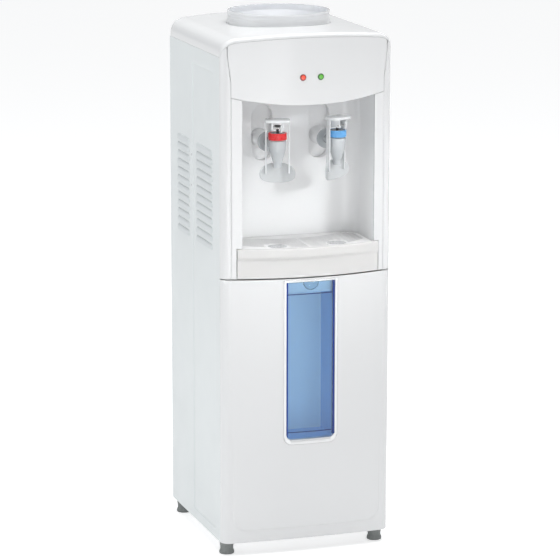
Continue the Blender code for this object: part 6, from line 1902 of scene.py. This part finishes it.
    def _spans(self, index: int) -> list[Flat]:
        """Finds the parts of one slot, clear of the dips, the middle rib and the edge.

        Args:
            index: Number of the slot from the front.

        Returns:
            x of both ends of each part.
        """
        taken = [(-self.slot_rib / 2, self.slot_rib / 2)]
        reach = self.dip_radius + self.slot_rib / 2 + self.slot_width / 2
        for side in (-1, 1):
            x = side * self.tap_spacing / 2
            away = abs(self._slot_y(x, index) - self.tap_y)
            if away < reach:
                half = math.sqrt(reach ** 2 - away ** 2)
                taken.append((x - half, x + half))
        taken.sort()
        limit = self._limit(index)
        starts = [-limit] + [high for _, high in taken]
        ends = [low for low, _ in taken] + [limit]
        return [(a, b) for a, b in zip(starts, ends) if b - a > self.slot_pitch]

    def _slot_loop(self, index: int, start: float, end: float) -> list[Flat]:
        """Outline of one curved slot with round ends.

        Args:
            index: Number of the slot from the front.
            start: x of its left end.
            end: x of its right end.

        Returns:
            The outline.
        """
        line = spread(start, end, max(4, round((end - start) / self.slot_piece)))
        near = [(x, self._slot_y(x, index, self.slot_width / 2)) for x in line]
        far = [(x, self._slot_y(x, index, -self.slot_width / 2)) for x in reversed(line)]
        return soften(near + far, self.slot_width * 0.45, 3)

    def grille_plate(self) -> None:
        """Builds the grille, with a round dip under each tap, and painted shade: greyer in the dips and on the slots'
        walls.
        """
        top, low, dip = self.top, self.top - self.grille, self.dip_radius
        shrink, front = self.clearance + self.wall + FORM.gap * 2, self.rim + FORM.gap * 2
        loops = [self.plan(shrink, lambda x: self.lip(x) + front, 64)]
        loops += [self._slot_loop(i, a, b) for i in range(self.slots) for a, b in self._spans(i)]
        made = Bench.prism("drip_grille_moulded", loops, low, top)
        ball = (dip ** 2 + self.dip_depth ** 2) / (2 * self.dip_depth)
        profile = [(0.0, top - self.dip_depth)]
        for share in spread(0, 1, 14)[1:]:
            radius = dip * share
            profile.append((radius, top - self.dip_depth + ball - math.sqrt(ball ** 2 - radius ** 2)))
        profile += [(dip * self.dip_rim, top + self.dip_above), (0.0, top + self.dip_above)]
        for side in (-1, 1):
            x, y = side * self.tap_spacing / 2, self.tap_y
            drain = Bench.rod("drain", (x, y, low - self.dip_above), (x, y, low + self.dip_above),
                              self.drain_radius, 16)
            Bench.cut(made, Bench.turned("dip", profile, (x, y), 64), drain)
        seat(Bench.bevel(made, 0.00035, 2, 50), "drip_grille", GRILLE_WHITE, "drip_grille")

        def shade(face: bpy.types.MeshPolygon) -> int:
            """Chooses the finish of a face, with painted shade in the dips and on the slots' walls.

            Args:
                face: The face.

            Returns:
                1 in the dips, 2 on the walls of the slots and 0 elsewhere.
            """
            x, y, z = face.center
            if math.hypot(abs(x) - self.tap_spacing / 2, y - self.tap_y) < dip and z > low + self.skin:
                return 1
            return 2 if abs(face.normal.z) < self.wall_slope else 0

        # Painted shade: grey in the dips and on the slots' walls.
        repaint(made, shade, DIP_SHADE, SLOT_GREY)

    def build(self) -> None:
        """Builds both pieces."""
        self.tray()
        self.grille_plate()


# Taps

@dataclass(frozen=True)
class Water:
    """Which tap a piece belongs to.

    Attributes:
        label: hot or cold.
        side: -1 for the left tap and 1 for the right one.
        finish: Finish of the ring.
        turn: Angle of the head about the tap's axis, in degrees.
    """

    label: str
    side: int
    finish: Finish
    turn: float


WATERS = (Water("hot", -1, RED, -17.0), Water("cold", 1, BLUE, 31.0))
SIDEWAYS = Matrix(((0, 0, 1, 0), (1, 0, 0, 0), (0, 1, 0, 0), (0, 0, 0, 1)))


@dataclass
class Tap:
    """Push-back tap: body, ring, bonnet with two posts, and a lever with a dished paddle."""

    water: Water
    spacing: float = 0.1120
    y: float = -0.1620
    shank_height: float = 0.7520
    shank_radius: float = 0.0080
    bore: float = 0.0045
    flange_radius: float = 0.0180
    flange: float = 0.0050
    boss_y: float = -0.1007
    tail_y: float = -0.0400
    body_radius: float = 0.0155
    waist: float = 0.0145
    shoulder: float = 0.7640
    cone_top: float = 0.7450
    cone_radius: float = 0.0085
    cone_bottom: float = 0.7250
    nozzle: float = 0.0075
    tip: float = 0.7140
    chamber: float = 0.0105
    chamber_floor: float = 0.7500
    neck_wall: float = 0.0025
    ring_radius: float = 0.0165
    ring_height: float = 0.0130
    post: float = 0.0028
    post_spacing: float = 0.0130
    post_depth: float = 0.0060
    post_top: float = 0.7920
    bonnet: float = 0.0030
    pivot_offset: float = 0.0110
    pivot_height: float = 0.7862
    pin: float = 0.0012
    plate_bottom: float = 0.7960
    plate: float = 0.0050
    plate_width: float = 0.0440
    plate_front: float = 0.0165
    plate_back: float = 0.0140
    arm: float = 0.0028
    arm_depth: float = 0.0080
    paddle_width: float = 0.0640
    paddle_top: float = 0.7210
    paddle_bottom: float = 0.6850
    paddle_back: float = 0.0130
    paddle_dish: float = 0.0130
    paddle_wall: float = 0.0024
    lug: float = 0.0028
    fork: float = 0.0018
    fork_hole: float = 0.0040
    stem: float = 0.0024
    stem_head: float = 0.0056
    stem_head_height: float = 0.0020
    stopper: float = 0.0085
    stopper_height: float = 0.0060
    post_round: float = 0.0022
    post_foot: Flat = (0.0015, 0.0030)
    oval: float = 0.84
    rim_start: float = 0.93
    fork_cut: Flat = (0.0050, 0.0024)
    bore_inset: float = 0.0010
    ring_ease: float = 0.0006
    ring_top_ease: float = 0.0008
    plate_corner: float = 0.0060

    @property
    def label(self) -> str:
        """hot or cold."""
        return self.water.label

    @property
    def at(self) -> Matrix:
        """Place of the tap's own axis."""
        return Matrix.Translation((self.water.side * self.spacing / 2, self.y, 0))

    @property
    def head(self) -> Matrix:
        """Place of the head, turned outward."""
        return self.at @ Matrix.Rotation(math.radians(self.water.turn), 4, "Z")

    def _seated(self, made: bpy.types.Object, place: Matrix, body: str, finish: Finish, part: str) -> None:
        """Moves a piece's mesh to the tap and seats it."""
        made.data.transform(place)
        seat(made, body, finish, f"{self.label}_tap_{part}")

    def _axle(self, name: str, reach: float, radius: float) -> bpy.types.Object:
        """Rod along the lever's hinge axis, reaching as far to both sides."""
        y, z = -self.pivot_offset, self.pivot_height
        return Bench.rod(name, (-reach, y, z), (reach, y, z), radius, 24)

    def body(self) -> None:
        """Builds the body with its shank and flange."""
        neck, top, gap = self.chamber + self.neck_wall, self.shoulder + self.ring_height, self.neck_wall
        profile = [(self.chamber, top), (neck, top), (neck, self.shoulder),
                   (self.body_radius, self.shoulder - gap / 2), (self.waist, self.cone_top),
                   (self.cone_radius, self.cone_bottom), (self.nozzle, self.cone_bottom - gap),
                   (self.nozzle, self.tip), (self.bore, self.tip), (self.bore, self.chamber_floor),
                   (self.chamber, self.chamber_floor)]
        made = Bench.turned(f"{self.label}_tap_body_moulded", soften(profile, 0.0012, 4), sides=72)
        back, tail, z = self.boss_y - FORM.gap - self.y, self.tail_y - self.y, self.shank_height
        shank = Bench.rod("shank", (0, self.chamber + gap / 2, z), (0, tail, z), self.shank_radius, 48)
        flange = Bench.rod("flange", (0, back - self.flange, z), (0, back, z), self.flange_radius, 64)
        bore = Bench.rod("bore", (0, 0, z + self.bore), (0, tail + FORM.overrun / 2, z + self.bore / 4), self.bore, 32)
        Bench.cut(Bench.unite(made, shank, Bench.bevel(flange, 0.0009, 3)), bore)
        self._seated(Bench.smooth(made, 32), self.at, "cabinet", TAP_CLEAR, "body")

    def ring(self) -> None:
        """Builds the coloured ring."""
        inner, low = self.chamber + self.neck_wall + FORM.gap, self.shoulder + FORM.gap
        high, edge = self.shoulder + self.ring_height, self.ring_radius
        profile = [(inner, high), (edge - self.ring_ease, high), (edge, high - self.ring_top_ease),
                   (edge, low + self.ring_ease), (inner, low)]
        made = Bench.turned(f"{self.label}_tap_ring_moulded", soften(profile, 0.0007, 4), sides=96)
        self._seated(made, self.at, "cabinet", self.water.finish, "ring")

    def cap(self) -> None:
        """Builds the bonnet with the posts that carry the pin."""
        low = self.shoulder + self.ring_height + FORM.gap
        high, radius, hole = low + self.bonnet, self.chamber + self.neck_wall, self.stem + FORM.gap * 2
        profile = soften([(hole, high), (radius, high), (radius, low), (hole, low)], 0.0009, 4)
        made = Bench.turned(f"{self.label}_tap_bonnet_moulded", profile, sides=72)
        half, deep = self.post / 2, self.post_depth / 2
        front, back = -self.pivot_offset - deep, -self.pivot_offset + deep
        outline = rounded_rectangle((front, low + self.bonnet / 2), (back, self.post_top), self.post_round, 6)
        for side in (-1, 1):
            x = side * self.post_spacing / 2
            post = Bench.prism("post", [outline], -half, half)
            post.data.transform(Matrix.Translation((x, 0, 0)) @ SIDEWAYS)
            foot = Bench.box("post_foot", (x - half, front, high - self.post_foot[0]),
                             (x + half, back, high + self.post_foot[1]))
            Bench.unite(made, Bench.bevel(Bench.unite(post, foot), 0.0004))
        Bench.cut(made, self._axle("bore", self.plate_width / 2, self.pin + FORM.gap))
        self._seated(Bench.smooth(made, 35), self.head, "cabinet", TAP_WHITE, "bonnet")

    def _paddle(self) -> bpy.types.Object:
        """Makes the dished oval that a cup pushes.

        Returns:
            The paddle, about the tap's axis.
        """
        rings, spokes, wall = 14, 72, self.paddle_wall / 2
        wide, high = self.paddle_width / 2, (self.paddle_top - self.paddle_bottom) / 2
        shares = [math.sin(math.pi / 2 * i / rings) for i in range(rings + 1)]
        order = [(share, -1) for share in shares] + [(share, 1) for share in reversed(shares[:-1])]
        vertices: list[Spot] = []
        for share, face in order:
            half = wall * math.sqrt(max(0.0, 1 - max(0.0, (share - self.rim_start) / (1 - self.rim_start)) ** 2))
            for i in range(spokes):
                angle = 2 * math.pi * i / spokes
                cosine, sine = math.cos(angle), math.sin(angle)
                x = wide * share * math.copysign(abs(cosine) ** self.oval, cosine)
                z = high * share * math.copysign(abs(sine) ** self.oval, sine)
                y = self.paddle_back - self.paddle_dish * (x / wide) ** 2 - wall + face * half
                vertices.append((x, y, self.paddle_bottom + high + z))
        faces = []
        for low in range(0, len(vertices) - spokes, spokes):
            for i in range(spokes):
                after = low + (i + 1) % spokes
                faces.append((low + i, after, after + spokes, low + i + spokes))
        return Bench.smooth(Bench.place("paddle", vertices, faces), 60)

    def lever(self) -> None:
        """Builds the lever: top plate, two arms, two lugs, the fork and the paddle, with painted shade: darker grey
        below the paddle's top edge.
        """
        half, base = self.plate_width / 2, self.plate_bottom
        outline = rounded_rectangle((-half, -self.plate_front), (half, self.plate_back), self.plate_corner, 8)
        plate = Bench.prism(f"{self.label}_tap_lever_moulded", [outline], base, base + self.plate)
        made = Bench.bevel(plate, 0.0014, 4)
        arm_x, middle = half - self.arm, (self.paddle_top + self.paddle_bottom) / 2
        arm_y = self.paddle_back - self.paddle_dish * (arm_x * 2 / self.paddle_width) ** 2 - self.paddle_wall / 2
        inner = self.post_spacing / 2 + self.post / 2 + FORM.gap
        outer, post = inner + self.lug, self.post_depth / 2
        for side in (-1, 1):
            low, high = sorted((side * arm_x, side * half))
            arm = Bench.box("arm", (low, arm_y - self.arm_depth, middle), (high, arm_y, base + self.plate / 2))
            low, high = sorted((side * inner, side * outer))
            lug = Bench.box("lug", (low, -self.pivot_offset - post, self.pivot_height - self.pin * 3),
                            (high, self.post_depth, base + FORM.shell))
            Bench.unite(made, Bench.bevel(arm, 0.0007, 3), Bench.bevel(lug, 0.0004))
        z, (below, above) = self.pivot_height, self.fork_cut
        fork = Bench.box("fork", (-outer + FORM.gap, -self.pivot_offset + post + FORM.shell, z),
                         (outer - FORM.gap, self.post_depth - FORM.gap, z + self.fork))
        slot = Bench.rod("fork_hole", (0, 0, z - below), (0, 0, z + above), self.fork_hole, 32)
        bore = self._axle("lug_bore", half - self.arm - self.bore_inset, self.pin + FORM.gap)
        Bench.unite(made, fork, self._paddle())
        Bench.cut(made, slot, bore)
        self._seated(Bench.smooth(made, 32), self.head, f"{self.label}_lever", TAP_WHITE, "lever")
        # Painted shade: the lever below the paddle's top edge takes a darker grey.
        repaint(made, lambda face: face.center.z < self.paddle_top, PADDLE_SHADE)

    def inside(self) -> None:
        """Builds the pin and the stem."""
        reach = self.post_spacing / 2 + self.post / 2 + self.lug + FORM.gap * 2
        pin = Bench.bevel(self._axle(f"{self.label}_tap_pin_turned", reach, self.pin), 0.0003)
        self._seated(pin, self.head, "cabinet", STAINLESS, "pin")
        low, head = self.chamber_floor + FORM.gap, self.pivot_height + self.fork + FORM.gap
        top, stopper = head + self.stem_head_height, low + self.stopper_height
        profile = [(0.0, top), (self.stem_head, top), (self.stem_head, head), (self.stem, head),
                   (self.stem, stopper), (self.stopper, stopper), (self.stopper, low), (0.0, low)]
        stem = Bench.turned(f"{self.label}_tap_stem_moulded", soften(profile, 0.0005, 3, closed=False), sides=48)
        self._seated(stem, self.at, f"{self.label}_stem", STEM_GREY, "stem")

    def build(self) -> None:
        """Builds the whole tap."""
        self.body()
        self.ring()
        self.cap()
        self.lever()
        self.inside()


# Lower front

@dataclass
class LowerFront:
    """Lower panel with its raised field, the window's bezel, the tinted door and the cup box behind it."""

    window_half: float = 0.0505
    window_bottom: float = 0.2085
    window_top: float = 0.5115
    window_corner: float = 0.0150
    bezel_side: float = 0.0045
    bezel_top: float = 0.0030
    bezel_bottom: float = 0.0087
    bezel_proud: float = 0.0006
    bezel_back: float = -0.1740
    clearance: float = 0.0009
    foot_clearance: float = 0.0012
    recess: float = 0.0010
    door_wall: float = 0.0022
    pivot_rise: float = 0.0074
    pivot_inset: float = 0.0040
    pin: float = 0.0012
    notch: float = 0.0140
    scoop_wall: float = 0.0012
    scoop_depth: float = 0.0060
    foot_edge: float = 0.0118
    rib_heights: tuple[float, ...] = (0.2300, 0.4850)
    rib_wall: float = 0.0013
    rib_reach: float = 0.0042
    cup_wall: float = 0.0015
    cup_depth: float = 0.0740
    ceiling_drop: float = 0.0255
    field_half: float = 0.1415
    field_low: float = 0.0470
    field_corner: float = 0.0250
    field_step: float = 0.0016
    field_ramp: float = 0.0045
    ease_heights: Flat = (0.0600, 0.2000)
    rim_width: float = 0.0007
    past_ramp: float = 1.2
    spacing: float = 0.0030
    lead: float = 0.0010
    scoop_gap: float = 0.0006
    scoop_reach: float = 0.0300
    rib_overlap: float = 1.01
    skin: float = 0.0001
    cut_within: float = 0.000001
    behind_share: float = 0.9
    foot_slope: float = 0.5

    def _window(self, margin: float) -> list[Flat]:
        """Outline of the window in the panel: square at the top and round at the bottom."""
        return self._arch(self.window_half + margin, self.window_bottom - margin, self.window_top + margin,
                          self.window_corner + margin, 12)

    def _opening(self, margin: float = 0.0, foot: float = 0.0) -> list[Flat]:
        """Outline of the bezel's opening, or of the door when shrunk."""
        return self._arch(self.window_half - self.bezel_side - margin,
                          self.window_bottom + self.bezel_bottom + foot,
                          self.window_top - self.bezel_top - margin,
                          self.window_corner - self.bezel_side - margin, 10)

    @staticmethod
    def _arch(half: float, low: float, high: float, radius: float, steps: int) -> list[Flat]:
        """Outline that is square at the top and round at the bottom."""
        return mirrored([(-half, high)] + arc((-half + radius, low + radius), radius, 180, 270, steps))

    def _face(self, x: float, z: float) -> float:
        """Finds the panel's face, which is lower outside the raised field where the bow has eased away.

        Args:
            x: Place across the panel.
            z: Height.

        Returns:
            y of the face.
        """
        deep = inside_rounded(x, z, (-self.field_half, self.field_low), (self.field_half, 1.0), self.field_corner)
        start, length = self.ease_heights
        step = self.field_step * (1 - FORM.bow_share(z) * ease((z - start) / length))
        return FORM.face_y(x, FORM.bow_at(z)) + step * (1 - ease(deep / self.field_ramp))

    def _across(self) -> list[tuple[float, float, int]]:
        """Columns of the panel, close together at the field's edges and its round corners.

        Returns:
            x, angle turned and side of each column.
        """
        fine = [self.field_half - self.field_ramp * i / 8 for i in range(9)]
        corner = spread(self.field_half - self.field_corner, self.field_half - self.field_ramp * self.past_ramp, 14)
        plain = spread(0, self.field_half - self.field_corner - self.spacing, 28)
        half = sorted(set(plain + corner + fine + [self.field_half + self.rim_width]))
        face = [(-x, 0.0, 0) for x in reversed(half[1:])] + [(x, 0.0, 0) for x in half]
        wrap = FORM.stations(12, 2)
        return wrap[:13] + face + wrap[-13:]

    def _up(self) -> list[float]:
        """Heights of the panel's rows, close together at the field's lower edge.

        Returns:
            The heights.
        """
        low, high = FORM.floor, FORM.seam - FORM.seam_gap / 2
        rows = spread(low, self.field_low - self.lead, 8)
        rows += [self.field_low + self.field_ramp * i / 8 for i in range(9)]
        rows += spread(self.field_low + self.field_ramp * self.past_ramp, self.field_low + self.field_corner, 14)
        return rows + spread(self.field_low + self.field_corner + self.spacing, high, 90)
    def panel(self) -> None:
        """Builds the panel."""
        columns, rows = self._across(), self._up()

        def outer(column: int, row: int) -> Spot:
            """Point of the face."""
            x = columns[column][0]
            return x, self._face(x, rows[row]), rows[row]

        def inner(column: int, row: int) -> Spot:
            """Finds a point of the back.

            Args:
                column: Its column.
                row: Its row.

            Returns:
                The point.
            """
            (x, angle, side), z = columns[column], rows[row]
            y = max(self._face(x, z), FORM.face_y(x, FORM.bow_at(z)))
            return x - side * FORM.shell * math.sin(angle), y + FORM.shell * math.cos(angle), z

        made = Bench.slab("lower_panel_moulded", len(columns) - 1, len(rows) - 1, outer, inner)
        Bench.cut(made, Bench.prism("window_cut", [self._window(FORM.gap)], FORM.far, FORM.near, "Y"))
        seat(Bench.bevel(made, 0.0006, 3, 42), "cabinet", WHITE_GLOSS, "lower_front_panel")

    def _pivot(self) -> Flat:
        """y and z of the door's hinge axis."""
        return FORM.face_y(0) + self.pivot_inset, self.window_bottom + self.bezel_bottom + self.pivot_rise

    def bezel(self) -> None:
        """Builds the bright frame of the window."""
        low, high = self.window_bottom - FORM.overrun, self.window_top + FORM.overrun
        made = Bench.prism("window_bezel_moulded", [self._window(0)], FORM.far, self.bezel_back, "Y")
        opening = Bench.prism("opening_cut", [self._opening()], FORM.far - FORM.overrun,
                              self.bezel_back + FORM.overrun, "Y")
        y, z = self._pivot()
        reach = self.window_half - self.bezel_side / 3
        pins = Bench.rod("pin_cut", (-reach, y, z), (reach, y, z), self.pin + FORM.gap, 24)
        Bench.cut(made, opening, FORM.ahead("bezel_trim", low, high, -self.bezel_proud), pins)
        seat(Bench.bevel(made, 0.0009, 4, 45), "cabinet", LINER_WHITE, "window_bezel")

    def _scoop(self, top: float) -> bpy.types.Object:
        """Finger recess under the door's top edge.

        Args:
            top: Height of the door's top edge.

        Returns:
            A half bowl, open to the front.
        """
        radius, wall = self.notch + self.scoop_gap, self.scoop_wall
        turns = [math.radians(a) for a in spread(0, 90, 13)]
        inner = [((radius - wall) * math.sin(a), -self.scoop_depth * math.cos(a)) for a in turns]
        outer = [(radius * math.sin(a), -(self.scoop_depth + wall) * math.cos(a)) for a in reversed(turns)]
        made = Bench.turned("scoop", inner + outer, sides=64)
        front, reach = FORM.face_y(0) + self.recess + self.door_wall / 2, self.scoop_reach
        made.data.transform(Matrix.Translation((0, front, top)) @ Matrix.Rotation(math.radians(90), 4, "X"))
        return Bench.cut(made, Bench.box("scoop_trim", (-reach, FORM.far, top), (reach, 0, top + reach)))

    def _rib(self, across: Sequence[float], height: float) -> bpy.types.Object:
        """Thin rib across the back of the door.

        Args:
            across: x of its columns.
            height: Height of its lower face.

        Returns:
            The rib, half sunk into the door's wall.
        """
        def point(column: int, row: int, depth: float) -> Spot:
            """Point of one side."""
            x = across[column]
            return x * self.rib_overlap, FORM.face_y(x) + self.recess + depth, height + row * self.rib_wall

        return Bench.slab("rib", len(across) - 1, 1, lambda c, r: point(c, r, self.door_wall / 2),
                          lambda c, r: point(c, r, self.rib_reach))

    def _tint(self, made: bpy.types.Object, half: float) -> None:
        """Gives the door's returns and ribs the deep blue of acrylic seen edge on.

        Args:
            made: The door.
            half: Half the width between its returns.
        """
        with editing(made.data) as mesh:
            for side in (-1, 1):
                parts = mesh.verts[:] + mesh.edges[:] + mesh.faces[:]
                bmesh.ops.bisect_plane(mesh, geom=parts, dist=self.cut_within, plane_co=(side * half, 0, 0),
                                       plane_no=(1, 0, 0))

        def on_edge(face: bpy.types.MeshPolygon) -> bool:
            """Says whether a face is seen edge on.

            Args:
                face: The face.

            Returns:
                Whether it belongs to a return, to the foot or to a rib.
            """
            x, y, z = face.center
            rib = any(-self.skin < z - height < self.rib_wall + self.skin for height in self.rib_heights)
            behind = y > FORM.face_y(x) + self.recess + self.door_wall * self.behind_share
            foot = z < self.window_bottom + self.foot_edge and abs(face.normal.y) < self.foot_slope
            return abs(x) > half or foot or (rib and behind)

        repaint(made, on_edge, BLUE_EDGE)

    def door(self) -> None:
        """Builds the tinted door with its side returns, finger notch, ribs and moulded pins."""
        ends = self.window_bottom - FORM.overrun, self.window_top + FORM.overrun
        outline, behind = self._opening(self.clearance, self.foot_clearance), self.bezel_back + FORM.overrun
        made = Bench.prism("cup_door_moulded", [outline], FORM.far, self.bezel_back - FORM.gap, "Y")
        half = self.window_half - self.bezel_side - self.clearance - self.door_wall
        across = spread(-half, half, 33)

        def back(column: int, row: int) -> Spot:
            """Point of the door's inner face."""
            return across[column], FORM.face_y(across[column]) + self.recess + self.door_wall, ends[row]

        hollow = Bench.slab("hollow", 32, 1, back, lambda c, r: (across[c], behind, ends[r]))
        top = self.window_top - self.bezel_top - self.clearance
        notch = Bench.rod("notch", (0, FORM.far, top), (0, behind, top), self.notch, 64)
        Bench.cut(made, FORM.ahead("door_trim", *ends, self.recess), hollow, notch)
        Bench.unite(made, self._scoop(top), *(self._rib(across, height) for height in self.rib_heights))
        y, z = self._pivot()
        inner = self.window_half - self.bezel_side - self.clearance - self.door_wall / 2
        outer = self.window_half - self.bezel_side / 3 - FORM.gap
        for side in (-1, 1):
            Bench.unite(made, Bench.rod("pin", (side * inner, y, z), (side * outer, y, z), self.pin, 24))
        seat(Bench.bevel(made, 0.0004, 2, 45), "cup_door", BLUE_WINDOW, "cup_door")
        self._tint(made, half)

    def cup_box(self) -> None:
        """Builds the open box that holds the cups, which is blue within."""
        wall, front, ceiling = self.cup_wall, self.bezel_back + FORM.gap, self.window_top - self.ceiling_drop
        half, low = self.window_half - self.bezel_side / 2 + wall, self.window_bottom + self.bezel_bottom / 2
        back = front + self.cup_depth
        made = Bench.box("cup_box_moulded", (-half, front, low), (half, back, ceiling + wall))
        inside = Bench.box("inside", (-half + wall, front - FORM.overrun, low + wall),
                           (half - wall, back - wall, ceiling))
        flange = Bench.box("flange", (-half, front, ceiling + wall / 2), (half, front + wall, self.window_top))
        Bench.unite(Bench.cut(made, Bench.bevel(inside, 0.003, 4)), flange)
        seat(Bench.bevel(made, 0.0004), "cabinet", LINER_WHITE, "cup_compartment")

        def within(face: bpy.types.MeshPolygon) -> bool:
            """Whether a face lies inside the box."""
            x, y, z = face.center
            return abs(x) < half - wall * 0.5 and y < back - wall * 1.5 and z < ceiling

        repaint(made, within, BLUE_LINER)

    def build(self) -> None:
        """Builds the whole lower front."""
        self.panel()
        self.bezel()
        self.door()
        self.cup_box()


# Works inside and at the back

@dataclass(frozen=True)
class Carried:
    """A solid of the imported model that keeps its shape, with its edges eased.

    Attributes:
        node: Name of the solid.
        finish: Its surface.
        body: Body that carries it.
        round_by: Width of the easing of its edges, or 0.
        sharp: Angle above which an edge stays sharp.
    """

    node: str
    finish: Finish
    body: str = "cabinet"
    round_by: float = 0.0
    sharp: float = 35.0

    def build(self, nodes: dict[str, bpy.types.Object]) -> None:
        """Makes the finished copy that stands for the solid.

        Args:
            nodes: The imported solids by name.
        """
        made = Bench.link(self.node + "_made", nodes[self.node].data.copy())
        Bench.tidy(made, 0.00001)
        if self.round_by:
            Bench.bevel(made, self.round_by, 2, 40)
        else:
            Bench.smooth(made, self.sharp)
        seat(made, self.body, self.finish, self.node)


WORKS = (
    Carried("base_pan", ZINC, round_by=0.0003), Carried("component_shelf", ZINC, round_by=0.0003),
    Carried("tank_shelf", ZINC, round_by=0.0003), Carried("power_supply", ZINC, round_by=0.0006),
    Carried("cold_tank", STAINLESS), Carried("hot_tank", STAINLESS), Carried("drain_pipe", STAINLESS),
    Carried("tank_insulation", FOAM), Carried("tank_lid", MILKY, round_by=0.0004),
    Carried("cold_block", ALUMINIUM, round_by=0.0004), Carried("heat_sink", ALUMINIUM, round_by=0.0003),
    Carried("thermoelectric_module", CERAMIC, round_by=0.0003), Carried("heater_band", MICA),
    Carried("tank_thermostat", BLACK, round_by=0.0006), Carried("cold_hose", SILICONE, sharp=60),
    Carried("hot_hose", SILICONE, sharp=60), Carried("feed_hose", SILICONE, sharp=60),
    Carried("lamp_board", BOARD, round_by=0.0002), Carried("fan_frame", BLACK, round_by=0.0004),
    Carried("power_inlet", BLACK, round_by=0.0004), Carried("switch_frame", BLACK, round_by=0.0004),
    Carried("hot_switch", RED, "hot_switch", 0.0005), Carried("cold_switch", BLUE, "cold_switch", 0.0005),
    Carried("hot_tap_nut", TAP_CLEAR, round_by=0.0005), Carried("cold_tap_nut", TAP_CLEAR, round_by=0.0005),
    Carried("fan_rotor", BLACK, "fan_rotor", 0.0003), Carried("drain_cap", BLACK, "drain_cap", 0.0004),
)


# Studio

@dataclass
class Studio:
    """Pale floor, soft lamps and the camera."""

    camera_at: Spot = (-1.654, -5.0608, 1.6199)
    yaw: float = 18.119
    pitch: float = 12.157
    roll: float = -0.07
    lens: float = 189.16
    floor_half: float = 40.0
    floor_lift: float = 0.56
    room_light: float = 0.46
    backdrop_lift: float = 0.54

    def camera(self) -> None:
        """Places the camera at the photograph's angle."""
        data = bpy.data.cameras.new("studio_camera")
        data.lens, data.sensor_width, data.clip_end = self.lens, 36, 100
        made = Bench.link("studio_camera", data)
        turn = Matrix.Rotation(math.radians(-self.yaw), 4, "Z")
        tilt = Matrix.Rotation(math.radians(90 - self.pitch), 4, "X")
        lean = Matrix.Rotation(math.radians(-self.roll), 4, "Z")
        made.matrix_world = Matrix.Translation(self.camera_at) @ turn @ tilt @ lean
        bpy.context.scene.camera = made

    @staticmethod
    def _seen(tree: Tree, *kinds: str) -> bpy.types.NodeSocket:
        """Tells rays of some kinds from the rest.

        Args:
            tree: Tree that needs to know.
            kinds: The kinds of ray.

        Returns:
            A socket that is 1 for those rays and 0 for the rest.
        """
        rays = tree.tree.nodes.new("ShaderNodeLightPath").outputs
        seen = rays[f"Is {kinds[0]} Ray"]
        for kind in kinds[1:]:
            seen = tree.add("ShaderNodeMath", {0: seen, 1: rays[f"Is {kind} Ray"]}, operation="MAXIMUM")
        return seen

    def floor(self) -> None:
        """Lays the pale floor."""
        run = spread(-self.floor_half, self.floor_half, 3)
        made = Bench.sheet("studio_floor", run, run, lambda x, y: (x, y, 0.0))
        paint = bpy.data.materials.new("pale_floor")
        paint.use_nodes = True
        tree = Tree(paint.node_tree)
        seen = self._seen(tree, "Camera", "Glossy", "Transmission")
        lift = tree.add("ShaderNodeMath", {0: seen, 1: self.floor_lift}, operation="MULTIPLY")
        tree.feed(paint.node_tree.nodes["Principled BSDF"],
                  {"Base Color": (0.82, 0.82, 0.82, 1), "Roughness": 0.9, "Specular IOR Level": 0.1,
                   "Emission Color": (1, 1, 1, 1), "Emission Strength": lift})
        made.data.materials.append(paint)

    def lamp(self, name: str, at: Spot, size: Flat, power: float, aim: Spot, colour: Spot = (1, 1, 1),
             beam: float = 180.0, mirrored: bool = True) -> None:
        """Hangs one soft lamp.

        Args:
            name: Name of the lamp.
            at: Its place.
            size: Width and height of its face.
            power: Its power in watts.
            aim: The point that it faces.
            colour: Colour of its light.
            beam: Angle of its beam in degrees.
            mirrored: Whether glossy faces show it.
        """
        data = bpy.data.lights.new(name, "AREA")
        data.shape = "RECTANGLE"
        data.size, data.size_y = size
        data.energy, data.color, data.spread = power, colour, math.radians(beam)
        made = Bench.link(name, data)
        made.location, made.visible_glossy = at, mirrored
        made.rotation_euler = (Vector(aim) - Vector(at)).to_track_quat("-Z", "Y").to_euler()

    def world(self) -> None:
        """Lights the room evenly, with a brighter backdrop behind the piece."""
        world = bpy.data.worlds.new("studio_world")
        bpy.context.scene.world = world
        world.use_nodes = True
        tree = Tree(world.node_tree)
        lift = tree.add("ShaderNodeMath", {0: self._seen(tree, "Camera", "Transmission"), 1: self.backdrop_lift,
                                           2: self.room_light}, operation="MULTIPLY_ADD")
        tree.feed(world.node_tree.nodes["Background"], {"Color": (0.97, 0.985, 1.0, 1), "Strength": lift})

    def build(self) -> None:
        """Sets up the whole studio."""
        bpy.context.scene.view_settings.view_transform = "Standard"
        self.camera()
        self.floor()
        self.world()
        self.lamp("overhead_softbox", (0.2, -0.4, 3.2), (2.6, 2.6), power=70, aim=(0, 0, 0.4))
        self.lamp("front_softbox", (0.7, -3.6, 1.5), (2.2, 2.6), power=9, aim=(0, 0, 0.5))
        self.lamp("low_softbox", (-0.5, -2.6, 0.30), (1.8, 0.6), power=8, aim=(0, 0, 0.72))
        self.lamp("side_softbox", (-3.4, 0.1, 1.5), (1.8, 2.4), power=28, aim=(0, 0, 0.5), colour=(0.97, 0.99, 1.0))
        self.lamp("alcove_spot", (0.80, -1.60, 1.26), (0.36, 0.28), power=0.135, aim=(0.0, -0.10, 0.60), beam=17.0,
                  mirrored=False)


def main() -> None:
    """Builds every piece in order."""
    logging.basicConfig(level=logging.INFO, format="%(name)s %(message)s")
    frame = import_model()
    Studio().build()
    SidePanels().build()
    RearPanel().build()
    Feet().build()
    TopCover().build()
    BottleSeat().build()
    UpperFront().build()
    Alcove().build()
    DripTray().build()
    for water in WATERS:
        Tap(water).build()
    LowerFront().build()
    for piece in WORKS:
        piece.build(frame["nodes"])


if __name__ == "__main__":
    main()
